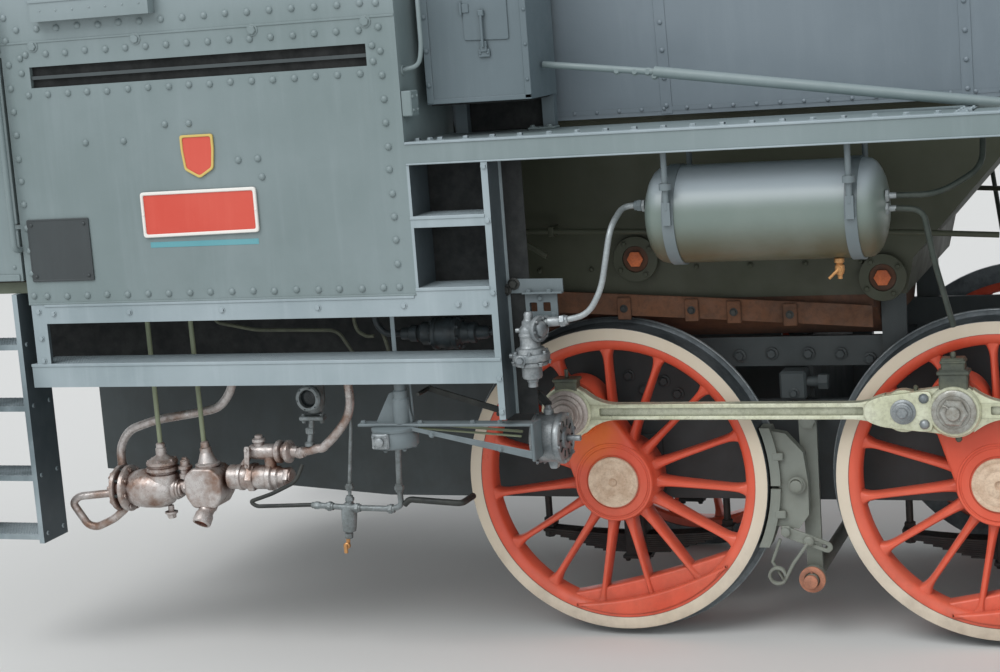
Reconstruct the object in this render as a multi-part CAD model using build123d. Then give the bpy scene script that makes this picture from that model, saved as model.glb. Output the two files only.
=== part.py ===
from build123d import *
from math import cos, hypot, radians, sin, sqrt
import os

# A ten-coupled goods locomotive with one leading axle.
# While it is drawn, x runs forward from the last coupled axle, y to the left and z up
# from the lowest point of the wheel flanges. Every length is in millimetres.
# finish() moves each piece so that the whole engine is centred on the origin.

# wheels
axle_pitch = 1650.0
coupled_axles = 5
pony_reach = 2600.0
tread_radius = 680.0
flange_radius = 711.0
tyre_face = 820.0
tyre_width = 140.0
flange_width = 32.0
rim_inner = 580.0
pony_tread_radius = 425.0
pony_rim_inner = 345.0
hub_radius = 180.0
hub_face = 850.0
spoke_count = 15
spoke_face = 790.0
spoke_depth = 70.0
spoke_root = 78.0
spoke_tip = 46.0
axle_radius = 100.0
journal_gap = 0.3
seat_gap = 0.15

# cranks and rods
crank_radius = 368.0
crank_angle = 115.5
quarter_angle = 90.0
boss_radius = 135.0
boss_face = 865.0
pin_radius = 58.0
pin_cap_radius = 72.0
counterweight_chord = 470.0
driven_weight_chord = 360.0
rod_face = 874.0
rod_eye_width = 86.0
rod_eye_radius = 108.0
rod_web_width = 50.0
rod_web_height = 72.0
pin_cap_width = 22.0
knuckle_reach = 205.0
rod_flute_depth = 14.0
rod_flute_height = 42.0
rod_neck = 240.0
main_rod_length = 3000.0
cylinder_y = 1060.0
main_rod_width = 70.0
main_rod_web = 46.0
big_end_radius = 150.0
small_end_radius = 95.0
head_half = 200.0
head_width = 136.0
piston_rod_radius = 45.0
slide_bar_width = 60.0
slide_bar_low = 165.0
slide_bar_high = 255.0
bracket_gap = 185.0
bracket_top = 1640.0
bracket_reach = 1130.0
bracket_foot = 1250.0
link_ahead = 200.0
link_z = 1360.0
gear_y = 1136.0
gear_plate = 30.0
lever_back = 270.0
lifting_shaft_z = 1560.0
lifting_lever = 162.0
reverser_inset = 325.0
reverser_radius = 22.0

# frame
frame_face = 530.0
plate = 30.0
frame_bottom = 560.0
frame_top = 1290.0
frame_rear_x = -2720.0
cab_support_rear_x = -2600.0
cab_support_front_x = -1150.0
frame_dip_ahead = 1960.0
frame_rise_ahead = 3300.0
frame_front_z = 930.0
frame_nose_z = 860.0
firebox_post_x = 1206.0
hole_half = 330.0
hole_bottom = 1010.0
hole_top = 1160.0
horn_width = 300.0
horn_height = 300.0
beam_ahead = 1805.0
beam_thickness = 40.0
beam_half = 1340.0
buffer_height = 1081.0
buffer_y = 875.0
buffer_length = 620.0
beam_bottom = 830.0
beam_top = 1330.0
hook_half = 30.0
shank_half = 35.0

# boiler
boiler_z = 3081.0
barrel_radius = 925.0
barrel_rear_x = 1950.0
smokebox_ahead = 350.0
smokebox_length = 2010.0
smokebox_radius = 905.0
cladding_radius = 950.0
cladding_foot = 885.0
cladding_bottom = 2300.0
firebox_half_top = 800.0
firebox_half_foot = 740.0
firebox_foot = 1500.0
firebox_shell_rear_x = -450.0
firebox_shell_front_x = 1915.0
throat_x = 1290.0
throat_z = 1650.0
ashpan_rear_x = -380.0
ashpan_front_x = 1150.0
ashpan_band = 55.0
ashpan_half_top = 655.0
ashpan_half_foot = 470.0
backhead_x = -1020.0
chimney_back = 910.0
chimney_radius = 260.0
chimney_top = 4431.0
steam_dome_radius = 330.0
steam_dome_top = 4230.0
sand_dome_radius = 340.0
sand_dome_top = 4160.0
dome_pitch = 1350.0
first_dome_back = 700.0
seat = 0.3

# cylinders
cylinder_ahead = 1450.0
cylinder_length = 1080.0
cylinder_radius = 375.0
cover_radius = 315.0
cover_length = 60.0
valve_z = 1330.0
valve_radius = 215.0
valve_length = 1280.0

# cab
cab_half = 1475.0
cab_wall = 40.0
cab_front_x = -640.0
cab_side_rear_x = -2450.0
cab_rear_x = -2950.0
cab_foot = 1651.0
cab_eaves = 3670.0
cab_ridge = 4240.0
floor_z = 1700.0
floor_thickness = 50.0
window_sill = 2975.0
window_head = 3560.0
roof_rear_x = -3060.0
roof_front_x = -520.0
roof_lip = 40.0
front_window_inner = 1010.0
front_window_margin = 145.0
rear_window_inner = 650.0
rear_window_margin = 275.0
doorway_half = 420.0
slot_rear_x = -2316.0
slot_front_x = -735.0
slot_bottom = 2600.0
slot_height = 90.0
ledge_rear_x = -2250.0
ledge_front_x = -1680.0
door_gap = 15.0
door_thickness = 30.0
hinge_inset = 30.0
hinge_pin = 6.0
hinge_heights = (2000.0, 2750.0, 3400.0)

# walkways and steps
board_top = 2278.0
board_edge = 86.0
board_thickness = 10.0
board_inner = 960.0
narrow_board_inner = 720.0
board_ahead = 2700.0
step_front_x = -278.0
step_rear_x = -2370.0
step_width = 200.0
post_depth = 140.0
post_flange = 85.0
ladder_rear_x = -2930.0
ladder_front_x = -2510.0
ladder_foot = 560.0
locker_inset = 175.0
locker_rear_x = -550.0
locker_front_x = -100.0
locker_bottom = 2420.0
locker_top = 3250.0
tank_inset = 275.0
tank_radius = 197.0
tank_rear_x = 332.0
tank_z = 1916.0
tank_end = 80.0
tank_length = 973.0
band_thickness = 7.0
injector_inset = 225.0
injector_z = 796.0
valve_plate_z = 1630.0
long_step_z = 1362.0
drum_turn = 22.0
deflector_inset = 75.0

# pony truck
pony_pivot_ahead = 1100.0
pony_bar_half = 460.0
pony_bar_bottom = 380.0
pony_bar_top = 640.0
pony_beam = 60.0

wheel_z = flange_radius
rail_z = flange_radius - tread_radius
pony_z = rail_z + pony_tread_radius
board_rear_x = cab_front_x + cab_wall
board_half = cab_half
hinge_x = cab_side_rear_x - hinge_inset
hinge_y = cab_half - door_thickness / 2
pony_flange_radius = pony_z
front_axle_x = (coupled_axles - 1) * axle_pitch
pony_x = front_axle_x + pony_reach
pony_pivot_x = front_axle_x + pony_pivot_ahead
beam_x = pony_x + beam_ahead
frame_dip_x = front_axle_x + frame_dip_ahead
frame_rise_x = front_axle_x + frame_rise_ahead
cylinder_centre_x = front_axle_x + cylinder_ahead
smokebox_rear_x = front_axle_x + smokebox_ahead
smokebox_front_x = smokebox_rear_x + smokebox_length
chimney_x = smokebox_front_x - chimney_back
board_front_x = front_axle_x + board_ahead
buffer_face_x = beam_x + buffer_length
middle_x = (buffer_face_x + roof_rear_x) / 2
axle_xs = [(coupled_axles - n) * axle_pitch for n in range(1, coupled_axles + 1)]
driven_axle = coupled_axles // 2 + 1
driven_x = axle_xs[driven_axle - 1]
bracket_x = driven_x + main_rod_length - crank_radius - head_half - bracket_gap
lifting_shaft_x = bracket_x + plate / 2
reverser_y = board_half - reverser_inset
locker_half = board_half - locker_inset
tank_y = board_half - tank_inset
injector_y = cab_half - injector_inset
deflector_y = board_half - deflector_inset


def block(x0, x1, y0, y1, z0, z1):
    """A box between two corners."""
    centre = Pos((x0 + x1) / 2, (y0 + y1) / 2, (z0 + z1) / 2)
    return centre * Box(abs(x1 - x0), abs(y1 - y0), abs(z1 - z0))


def side_plate(points, y0, y1):
    """A plate whose outline is given in x and z, between two values of y."""
    outline = Polyline(*[(x, y0, z) for x, z in points], close=True)
    return extrude(make_face(outline), amount=y1 - y0, dir=(0, 1, 0))


def cross_plate(points, x0, x1):
    """A plate whose outline is given in y and z, between two values of x."""
    outline = Polyline(*[(x0, y, z) for y, z in points], close=True)
    return extrude(make_face(outline), amount=x1 - x0, dir=(1, 0, 0))


def bar(start, end, radius):
    """A round bar between two points."""
    a, b = Vector(*start), Vector(*end)
    plane = Plane(origin=a, z_dir=b - a)
    return extrude(plane * Circle(radius), amount=(b - a).length)


def link(start, end, y0, y1, height, eye):
    """A flat bar with a round eye at each end, lying in a plane of constant y."""
    (x0, z0), (x1, z1) = start, end
    length = hypot(x1 - x0, z1 - z0)
    nx, nz = -(z1 - z0) / length * height / 2, (x1 - x0) / length * height / 2
    shank = side_plate([(x0 + nx, z0 + nz), (x1 + nx, z1 + nz), (x1 - nx, z1 - nz), (x0 - nx, z0 - nz)],
                       y0, y1)
    return shank + bar((x0, y0, z0), (x0, y1, z0), eye) + bar((x1, y0, z1), (x1, y1, z1), eye)


def turned(profile, x, y, z, axis):
    """A body turned about a line along y or x from points of (radius, distance along the axis)."""
    outline = make_face(Polyline(*[(r, d) for r, d in profile], close=True))
    body = revolve(outline, axis=Axis.Y)
    if axis == "x":
        body = Rot(0, 0, -90) * body
    if axis == "z":
        body = Rot(90, 0, 0) * body
    return Pos(x, y, z) * body


def left_of(shape):
    """The same piece on the left side of the engine."""
    return mirror(shape, about=Plane.XZ)


def pair(shape):
    """A piece of the right side and its mirror on the left."""
    return [shape, left_of(shape)]


def finish(name, *pieces):
    """Centre the pieces along x and write them as one node."""
    solids = [solid for piece in pieces for solid in piece.solids()]
    node = Pos(-middle_x, 0, 0) * Compound(children=solids)
    export_step(node, f"parts/{name}.step")


def crank_pin(x, side):
    """The x and z of a crank pin on one side, for an axle at x."""
    angle = radians(crank_angle + (quarter_angle if side > 0 else 0.0))
    return x + crank_radius * cos(angle), wheel_z + crank_radius * sin(angle)


# A wheel is drawn on the right side about the origin, with its crank along x.

def tyre_profile(tread, flange, inner):
    """Rim and tyre, as (radius, y), with the flange on the inner side."""
    back = tyre_face - tyre_width
    return [(inner, -tyre_face), (tread, -tyre_face), (tread + 3, -(back + flange_width)), (flange, -back),
            (inner, -back)]


def coupled_wheel(chord):
    rim = turned(tyre_profile(tread_radius, flange_radius, rim_inner), 0, 0, 0, "y")
    spoke = side_plate([(hub_radius - 30, -spoke_root / 2), (rim_inner + 15, -spoke_tip / 2),
                        (rim_inner + 15, spoke_tip / 2), (hub_radius - 30, spoke_root / 2)],
                       -spoke_face, -spoke_face + spoke_depth)
    wheel = rim + bar((0, -hub_face, 0), (0, -hub_face + 210, 0), hub_radius)
    wheel += [Rot(0, 360 / spoke_count * n, 0) * spoke for n in range(spoke_count)]
    wheel += link((0, 0), (crank_radius, 0), -boss_face, -spoke_face + spoke_depth, 2 * boss_radius,
                  boss_radius)
    weight = bar((0, -spoke_face - 15, 0), (0, -spoke_face + spoke_depth, 0), rim_inner + 15)
    weight -= block(-chord, rim_inner + 20, -tyre_face, 0, -rim_inner - 20, rim_inner + 20)
    wheel += weight
    return wheel - bar((0, -tyre_face - 60, 0), (0, 0, 0), axle_radius + seat_gap)


def coupled_wheels():
    plain = coupled_wheel(counterweight_chord)
    driven = coupled_wheel(driven_weight_chord)
    for number, x in enumerate(axle_xs, start=1):
        wheel = driven if number == driven_axle else plain
        right = Pos(x, 0, wheel_z) * Rot(0, -crank_angle, 0) * wheel
        left = Pos(x, 0, wheel_z) * Rot(0, -crank_angle - quarter_angle, 0) * left_of(wheel)
        pieces = [right, left, bar((x, -hub_face - 12, wheel_z), (x, hub_face + 12, wheel_z), axle_radius)]
        for side in (-1, 1):
            px, pz = crank_pin(x, side)
            end = rod_face + rod_eye_width + 3
            pin = bar((px, side * (boss_face + seat), pz), (px, side * end, pz), pin_radius)
            pin += bar((px, side * end, pz), (px, side * (end + pin_cap_width), pz), pin_cap_radius)
            pieces.append(pin)
        finish(f"wheelset_{number}", *pieces)


def pony_wheels():
    rim = turned(tyre_profile(pony_tread_radius, pony_flange_radius, pony_rim_inner), 0, 0, 0, "y")
    wheel = rim + bar((0, -hub_face + 20, 0), (0, -hub_face + 210, 0), hub_radius - 40)
    spoke = side_plate([(110, -32), (pony_rim_inner + 15, -24), (pony_rim_inner + 15, 24), (110, 32)],
                       -spoke_face, -spoke_face + spoke_depth)
    wheel += [Rot(0, 360 / 10 * n, 0) * spoke for n in range(10)]
    wheel -= bar((0, -tyre_face - 60, 0), (0, 0, 0), axle_radius - 15 + seat_gap)
    wheel = Pos(pony_x, 0, pony_z) * wheel
    axle = bar((pony_x, -hub_face, pony_z), (pony_x, hub_face, pony_z), axle_radius - 15)
    finish("pony_wheelset", axle, *pair(wheel))


def rod_span(x0, x1, z, near, far):
    """One span of a coupling rod: a fluted bar that flares towards the eyes at its ends."""
    half, neck = rod_web_height / 2, rod_eye_radius * 0.78
    span = side_plate([(x0, z - neck), (x0 + rod_neck * 0.42, z - neck), (x0 + rod_neck, z - half),
                       (x1 - rod_neck, z - half), (x1 - rod_neck * 0.42, z - neck), (x1, z - neck),
                       (x1, z + neck), (x1 - rod_neck * 0.42, z + neck), (x1 - rod_neck, z + half),
                       (x0 + rod_neck, z + half), (x0 + rod_neck * 0.42, z + neck), (x0, z + neck)], near,
                       far)
    way = 1 if far > near else -1
    for face, depth in ((near, way * rod_flute_depth), (far, -way * rod_flute_depth)):
        flute = block(x0 + rod_neck, x1 - rod_neck, face - depth, face + depth,
                      z - rod_flute_height / 2, z + rod_flute_height / 2)
        span -= flute
    return span


def coupling_rods():
    mid = rod_face + rod_eye_width / 2
    for side, label in ((-1, "right"), (1, "left")):
        near, far = side * (mid - rod_web_width / 2), side * (mid + rod_web_width / 2)
        inner, outer = side * rod_face, side * (rod_face + rod_eye_width)
        pins = [crank_pin(x, side) for x in axle_xs]
        z = pins[0][1]
        # the knuckles stand behind the fourth axle's pin and in front of the second one's
        rear_knuckle, front_knuckle = pins[3][0] - knuckle_reach, pins[1][0] + knuckle_reach
        spans = [(pins[4][0], rear_knuckle), (pins[3][0], pins[2][0]), (pins[2][0], pins[1][0]),
                 (front_knuckle, pins[0][0])]
        rod = rod_span(*spans[0], z, near, far)
        for x0, x1 in spans[1:]:
            rod += rod_span(x0, x1, z, near, far)
        for px, pz in pins:
            rod += bar((px, inner, pz), (px, outer, pz), rod_eye_radius)
            rod += block(px - 58, px + 58, inner + side * 6, outer - side * 4, pz + 60,
                         pz + rod_eye_radius + 64)
            rod += block(px - 48, px + 48, inner + side * 10, outer - side * 8,
                         pz + rod_eye_radius, pz + rod_eye_radius + 110)
        for pin_x, knuckle_x in ((pins[3][0], rear_knuckle), (pins[1][0], front_knuckle)):
            way = 1 if knuckle_x > pin_x else -1
            rod += side_plate([(pin_x, z - 86), (knuckle_x, z - 62), (knuckle_x + way * 130, z - 36),
                               (knuckle_x + way * 130, z + 36), (knuckle_x, z + 62), (pin_x, z + 86)],
                              inner + side * 2, outer - side * 2)
            rod += bar((knuckle_x, outer - side * 2, z), (knuckle_x, outer + side * 14, z), 50)
        for px, pz in pins:
            rod -= bar((px, inner - side * 5, pz), (px, outer + side * 5, pz), pin_radius + journal_gap)
        finish(f"coupling_rods_{label}", rod)


def motion():
    """Main rods, crossheads, slide bars and valve gear of both sides."""
    rods, heads, bars, gears, brackets = [], [], [], [], []
    axis_z = wheel_z
    bar_y0, bar_y1 = cylinder_y - slide_bar_width / 2, cylinder_y + slide_bar_width / 2
    bar_z0, bar_z1 = axis_z + slide_bar_low, axis_z + slide_bar_high
    rear_cover_x = cylinder_centre_x - cylinder_length / 2 - cover_length
    link_x = bracket_x + link_ahead
    wheel_clear = wheel_z + flange_radius + 20
    leg_inner = bracket_reach - 130
    for side in (-1, 1):
        px, pz = crank_pin(driven_x, side)
        hx = px + sqrt(main_rod_length ** 2 - (pz - axis_z) ** 2)
        y0, y1 = side * (cylinder_y - main_rod_width / 2), side * (cylinder_y + main_rod_width / 2)
        w0, w1 = side * (cylinder_y - main_rod_web / 2), side * (cylinder_y + main_rod_web / 2)
        rod = link((px, pz), (hx, axis_z), w0, w1, 120, 60)
        rod += bar((px, y0, pz), (px, y1, pz), big_end_radius)
        rod += bar((hx, y0, axis_z), (hx, y1, axis_z), small_end_radius)
        rods.append(rod)
        # crosshead: a shoe round the slide bar and two cheeks beside the rod
        c0, c1 = side * (cylinder_y - head_width / 2), side * (cylinder_y + head_width / 2)
        head = block(hx - head_half, hx + head_half, c0, c1, bar_z0 - 60, bar_z1 + 40)
        head -= block(hx - head_half - 10, hx + head_half + 10, side * bar_y0, side * bar_y1, bar_z0, bar_z1)
        head += block(hx - 130, hx + head_half + 10, c0, c1, axis_z - 120, bar_z0 - 60)
        head -= block(hx - 140, hx + 120, y0 - side * 0.5, y1 + side * 0.5, axis_z - 130, bar_z0 - 60)
        head += bar((hx + head_half, side * cylinder_y, axis_z), (rear_cover_x, side * cylinder_y, axis_z),
                    piston_rod_radius)
        heads.append(head)
        bars.append(block(bracket_x - 90, rear_cover_x, side * bar_y0, side * bar_y1, bar_z0, bar_z1))
        # motion bracket: a plate over the wheel from the frame, with a leg down to the slide bar
        s = side
        bracket = cross_plate([(s * frame_face, bracket_foot), (s * frame_face, bracket_top),
                               (s * bracket_reach, bracket_top), (s * bracket_reach, bar_z1),
                               (s * leg_inner, bar_z1), (s * leg_inner, wheel_clear),
                               (s * (tyre_face - tyre_width - 40), wheel_clear),
                               (s * (tyre_face - tyre_width - 40), bracket_foot)],
                              bracket_x, bracket_x + plate)
        bracket += block(bracket_x - 60, bracket_x + 90, s * leg_inner, s * bracket_reach, bar_z1,
                         bar_z1 + 40)
        bracket += block(bracket_x + plate, link_x + 40, s * (bracket_reach - 70), s * bracket_reach,
                         link_z - 45, link_z + 45)
        bracket += bar((link_x, s * bracket_reach, link_z), (link_x, s * gear_y, link_z), 30)
        brackets.append(bracket)
        # Walschaerts gear outside the main rod, drawn at mid gear
        g0, g1 = s * gear_y, s * (gear_y + gear_plate)
        foot = (link_x - 120, link_z - 420)
        crank_end = (driven_x + (px - driven_x) * 0.45 + 120, wheel_z + (pz - wheel_z) * 0.45)
        gear = link((px, pz), crank_end, g0, g1, 90, 62)
        gear += bar((px, s * (cylinder_y + main_rod_width / 2), pz), (px, g0, pz), 70)
        rod_e0, rod_e1 = g1, s * (gear_y + 2 * gear_plate)
        gear += link(crank_end, foot, rod_e0, rod_e1, 60, 52)
        gear += side_plate([(foot[0] - 50, foot[1]), (foot[0] + 50, foot[1]), (link_x + 50, link_z - 250),
                            (link_x + 70, link_z), (link_x + 30, link_z + 280), (link_x - 50, link_z + 280),
                            (link_x - 20, link_z), (link_x - 50, link_z - 250)], g0, g1)
        lever_top = (rear_cover_x - lever_back, valve_z + 10)
        gear += link((link_x, link_z + 40), lever_top, g0, g1, 60, 45)
        lever_foot = (lever_top[0] - 140, axis_z - 120)
        gear += link((lever_top[0] + 30, lever_top[1] - 90), lever_foot, g1, rod_e1, 60, 45)
        gear += link((lever_top[0] - 10, lever_top[1]), (lever_top[0] + 50, lever_top[1] - 120), g1,
                     rod_e1, 70, 45)
        gear += link(lever_foot, (hx + 120, axis_z - 90), g0, g1, 45, 38)
        gears.append(gear)
    finish("main_rods", *rods)
    finish("crossheads", *heads)
    finish("slide_bars", *bars)
    inner = bracket_reach - plate
    shaft = bar((lifting_shaft_x, -inner, lifting_shaft_z), (lifting_shaft_x, inner, lifting_shaft_z), 40)
    lever_y = -reverser_y - reverser_radius
    shaft += link((lifting_shaft_x, lifting_shaft_z), (lifting_shaft_x, lifting_shaft_z + lifting_lever),
                  lever_y - 20, lever_y, 70, 45)
    shaft += bar((lifting_shaft_x, lever_y, lifting_shaft_z), (lifting_shaft_x, -inner, lifting_shaft_z), 40)
    finish("motion_brackets", shaft + brackets[0] + brackets[1])
    finish("valve_gear", *gears)


def frame_plates():
    nose_x = beam_x - beam_thickness
    support_z = frame_top - 55
    outline = [(frame_rear_x, frame_bottom + 120), (frame_rear_x, support_z - 5),
               (cab_support_rear_x, support_z),
               (cab_support_rear_x, floor_z), (cab_support_front_x, floor_z),
               (cab_support_front_x, frame_top),
               (nose_x - 900, frame_top), (nose_x, frame_top - 20), (nose_x, frame_nose_z),
               (frame_rise_x, frame_front_z), (frame_dip_x, frame_front_z), (frame_dip_x - 200, frame_bottom),
               (cab_support_front_x - 50, frame_bottom)]
    right = side_plate(outline, -frame_face, -frame_face + plate)
    for x in axle_xs:
        right -= block(x - horn_width / 2, x + horn_width / 2, -frame_face - 1, -frame_face + plate + 1,
                       frame_bottom - 1, frame_bottom + horn_height)
    # lightening holes between the axles
    for n in range(coupled_axles - 1):
        x = (n + 0.5) * axle_pitch
        right -= block(x - hole_half, x + hole_half, -frame_face - 1, -frame_face + plate + 1,
                       hole_bottom, hole_top)
    finish("frame_plates", *pair(right))
    boxes = []
    for x in axle_xs:
        box = block(x - horn_width / 2, x + horn_width / 2, -frame_face - 30, -frame_face + plate + 40,
                    frame_bottom, frame_bottom + horn_height)
        boxes.append(box - bar((x, -frame_face - 40, wheel_z), (x, 0, wheel_z), axle_radius + journal_gap))
    finish("axle_boxes", *[one for box in boxes for one in pair(box)])


def frame_stays():
    """Cross members between the frame plates."""
    half = frame_face - plate
    low = frame_bottom + 40
    # x, lower edge, upper edge
    table = [((n + 0.5) * axle_pitch, low, frame_top - 1) for n in range(coupled_axles - 1)]
    table += [(pony_pivot_x - 270, low, frame_top - 1), (pony_x + 200, frame_front_z + 10, beam_top),
              (pony_x + 1000, frame_front_z + 10, beam_top)]
    stays = [block(x - 12, x + 12, -half, half, z0, z1) for x, z0, z1 in table]
    pivot = block(pony_pivot_x - 180, pony_pivot_x + 180, -half, half, frame_bottom, frame_bottom + 40)
    pivot += bar((pony_pivot_x, 0, frame_bottom), (pony_pivot_x, 0, 400), 60)
    pivot += bar((pony_pivot_x, 0, 400), (pony_pivot_x, 0, 380), 85)
    post = block(firebox_post_x - 52, firebox_post_x + 52, -frame_face - plate, -frame_face - seat,
                 1110, firebox_foot - seat)
    finish("frame_stays", pivot, *stays, *pair(post))
    box = block(frame_rear_x, frame_rear_x + 520, -half, half, frame_bottom + 121, frame_top - 61)
    box -= block(frame_rear_x - 1, frame_rear_x + 400, -260, 260, 880, 1060)
    box -= bar((frame_rear_x + 230, 0, 500), (frame_rear_x + 230, 0, 1400), 50)
    finish("drag_box", box)


def front_end():
    beam = block(beam_x - beam_thickness, beam_x, -beam_half, beam_half, beam_bottom, beam_top)
    beam -= block(beam_x - 60, beam_x + 10, -hook_half - seat, hook_half + seat,
                  buffer_height - shank_half - seat, buffer_height + shank_half + seat)
    finish("buffer_beam", beam)
    shape = [(0, 0), (150, 0), (150, 30), (105, 60), (105, 330), (85, 330), (85, 590), (225, 592), (225, 610),
             (120, buffer_length), (0, buffer_length)]
    buffer = turned(shape, 0, 0, 0, "x")
    finish("buffers", *pair(Pos(beam_x, -buffer_y, buffer_height) * buffer))
    z = buffer_height
    hook = side_plate([(beam_x - 300, z - shank_half), (beam_x + 170, z - shank_half), (beam_x + 250, z - 60),
                       (beam_x + 300, z), (beam_x + 290, z + 80), (beam_x + 240, z + 90),
                       (beam_x + 235, z + 20),
                       (beam_x + 170, z + shank_half), (beam_x - 300, z + shank_half)], -hook_half, hook_half)
    hook -= bar((beam_x + 110, -40, buffer_height), (beam_x + 110, 40, buffer_height), 22)
    finish("draw_hook", hook)


def pony_truck():
    rear, front = pony_x - pony_bar_half, pony_x + pony_bar_half
    side_bar = block(rear, front, -610, -560, pony_bar_bottom, pony_bar_top)
    side_bar -= bar((pony_x, -700, pony_z), (pony_x, -500, pony_z), axle_radius - 15 + journal_gap)
    truck = side_bar + left_of(side_bar)
    truck += block(rear, rear + pony_beam, -560, 560, pony_bar_bottom + 20, pony_bar_bottom + 140)
    truck += block(front - pony_beam, front, -560, 560, pony_bar_bottom + 20, pony_bar_bottom + 140)
    arm_z = pony_bar_bottom + 60
    arm = extrude(make_face(Polyline((pony_pivot_x, -110, arm_z), (rear + 5, -540, arm_z),
                                     (rear + 5, -420, arm_z),
                                     (pony_pivot_x + 140, -20, arm_z), (pony_pivot_x, 0, arm_z), close=True)),
                  amount=60)
    truck += arm + left_of(arm)
    truck += bar((pony_pivot_x, 0, 410), (pony_pivot_x, 0, 540), 130)
    truck -= bar((pony_pivot_x, 0, 300), (pony_pivot_x, 0, 600), 61)
    finish("pony_frame", truck)


def firebox_outline(grow):
    """Cross section of the firebox cladding, grown by a clearance."""
    r = cladding_radius + grow
    foot = cladding_foot + grow
    low = cladding_bottom - grow
    arc = ThreePointArc((0, -r, boiler_z), (0, 0, boiler_z + r), (0, r, boiler_z))
    side = Polyline((0, r, boiler_z), (0, foot, low), (0, -foot, low), (0, -r, boiler_z))
    return make_face([arc, side])


def smokebox_seat():
    """The space that the smokebox takes from what sits on it."""
    return bar((smokebox_rear_x, 0, boiler_z), (smokebox_front_x + 40, 0, boiler_z), smokebox_radius + seat)


def boiler():
    rear_x = cab_front_x + cab_wall + seat
    firebox = Pos(rear_x, 0, 0) * extrude(firebox_outline(0), amount=barrel_rear_x - rear_x, dir=(1, 0, 0))
    finish("firebox_cladding", firebox)
    lower = cross_plate([(-firebox_half_top, cladding_bottom), (-firebox_half_foot, firebox_foot),
                         (firebox_half_foot, firebox_foot), (firebox_half_top, cladding_bottom)],
                        firebox_shell_rear_x, firebox_shell_front_x)
    # its front slopes forward above the throat
    lower -= side_plate([(throat_x, firebox_foot - 1), (throat_x + 35, throat_z),
                         (firebox_shell_front_x, cladding_bottom),
                         (firebox_shell_front_x + 1, cladding_bottom + 1),
                         (firebox_shell_front_x + 1, firebox_foot - 1)], -cladding_radius, cladding_radius)
    finish("firebox_shell", lower)
    back_length = cab_front_x - backhead_x + cab_wall
    back = Pos(backhead_x, 0, 0) * extrude(firebox_outline(-60), amount=back_length, dir=(1, 0, 0))
    back = back - block(backhead_x - 1, 0, -2000, 2000, 0, floor_z + floor_thickness)
    finish("backhead", back)
    barrel = bar((barrel_rear_x, 0, boiler_z), (smokebox_rear_x, 0, boiler_z), barrel_radius)
    finish("boiler_barrel", barrel)
    smokebox = bar((smokebox_rear_x, 0, boiler_z), (smokebox_front_x, 0, boiler_z), smokebox_radius)
    lug_y = 790.0
    pin_x = smokebox_front_x + 60
    for z in (boiler_z - 300, boiler_z + 300):
        for dz in (-70, 70):
            smokebox += block(smokebox_front_x, pin_x + 22, lug_y - 20, lug_y + 20, z + dz - 14, z + dz + 14)
        smokebox += bar((pin_x, lug_y, z - 70), (pin_x, lug_y, z + 70), 12)
    finish("smokebox", smokebox)
    door = turned([(0, 5), (740, 5), (740, 35), (640, 75), (420, 120), (200, 140), (0, 145)], 0, 0, 0, "x")
    door = Pos(smokebox_front_x + 0.5, 0, boiler_z) * door
    for z in (boiler_z - 300, boiler_z + 300):
        strap = block(pin_x - 14, pin_x + 14, lug_y, 560, z - 35, z + 35)
        strap += block(smokebox_front_x + 8, pin_x + 14, 560, 640, z - 35, z + 35)
        strap += bar((pin_x, lug_y, z - 50), (pin_x, lug_y, z + 50), 26)
        strap -= bar((pin_x, lug_y, z - 60), (pin_x, lug_y, z + 60), 12.4)
        door += strap
    finish("smokebox_door", door)
    saddle_half = frame_face - 60
    saddle = block(cylinder_centre_x - 460, cylinder_centre_x + 460, -saddle_half, saddle_half,
                   frame_top - 300, boiler_z - smokebox_radius + 120)
    saddle -= smokebox_seat()
    finish("smokebox_saddle", saddle)
    high = chimney_top - boiler_z
    chimney = turned([(0, 0), (chimney_radius + 70, 0), (chimney_radius, 260),
                      (chimney_radius - 20, high - 60),
                      (chimney_radius + 15, high - 30), (chimney_radius + 15, high),
                      (chimney_radius - 60, high),
                      (chimney_radius - 60, high - 350), (0, high - 350)], chimney_x, 0, boiler_z, "z")
    chimney -= smokebox_seat()
    finish("chimney", chimney)
    barrel_seat = bar((0, 0, boiler_z), (smokebox_rear_x, 0, boiler_z), barrel_radius + seat)
    # radius and top of the front sand dome, the steam dome and the rear sand dome
    table = ((sand_dome_radius, sand_dome_top), (steam_dome_radius, steam_dome_top),
             (sand_dome_radius, sand_dome_top))
    domes = []
    for n, (radius, top) in enumerate(table):
        x = smokebox_rear_x - first_dome_back - n * dome_pitch
        high = top - boiler_z
        dome = turned([(0, 0), (radius, 0), (radius, high - 120), (radius - 40, high - 45),
                       (radius - 130, high - 6),
                       (0, high)], x, 0, boiler_z, "z")
        domes.append(dome - barrel_seat)
    finish("domes", *domes)


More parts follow.
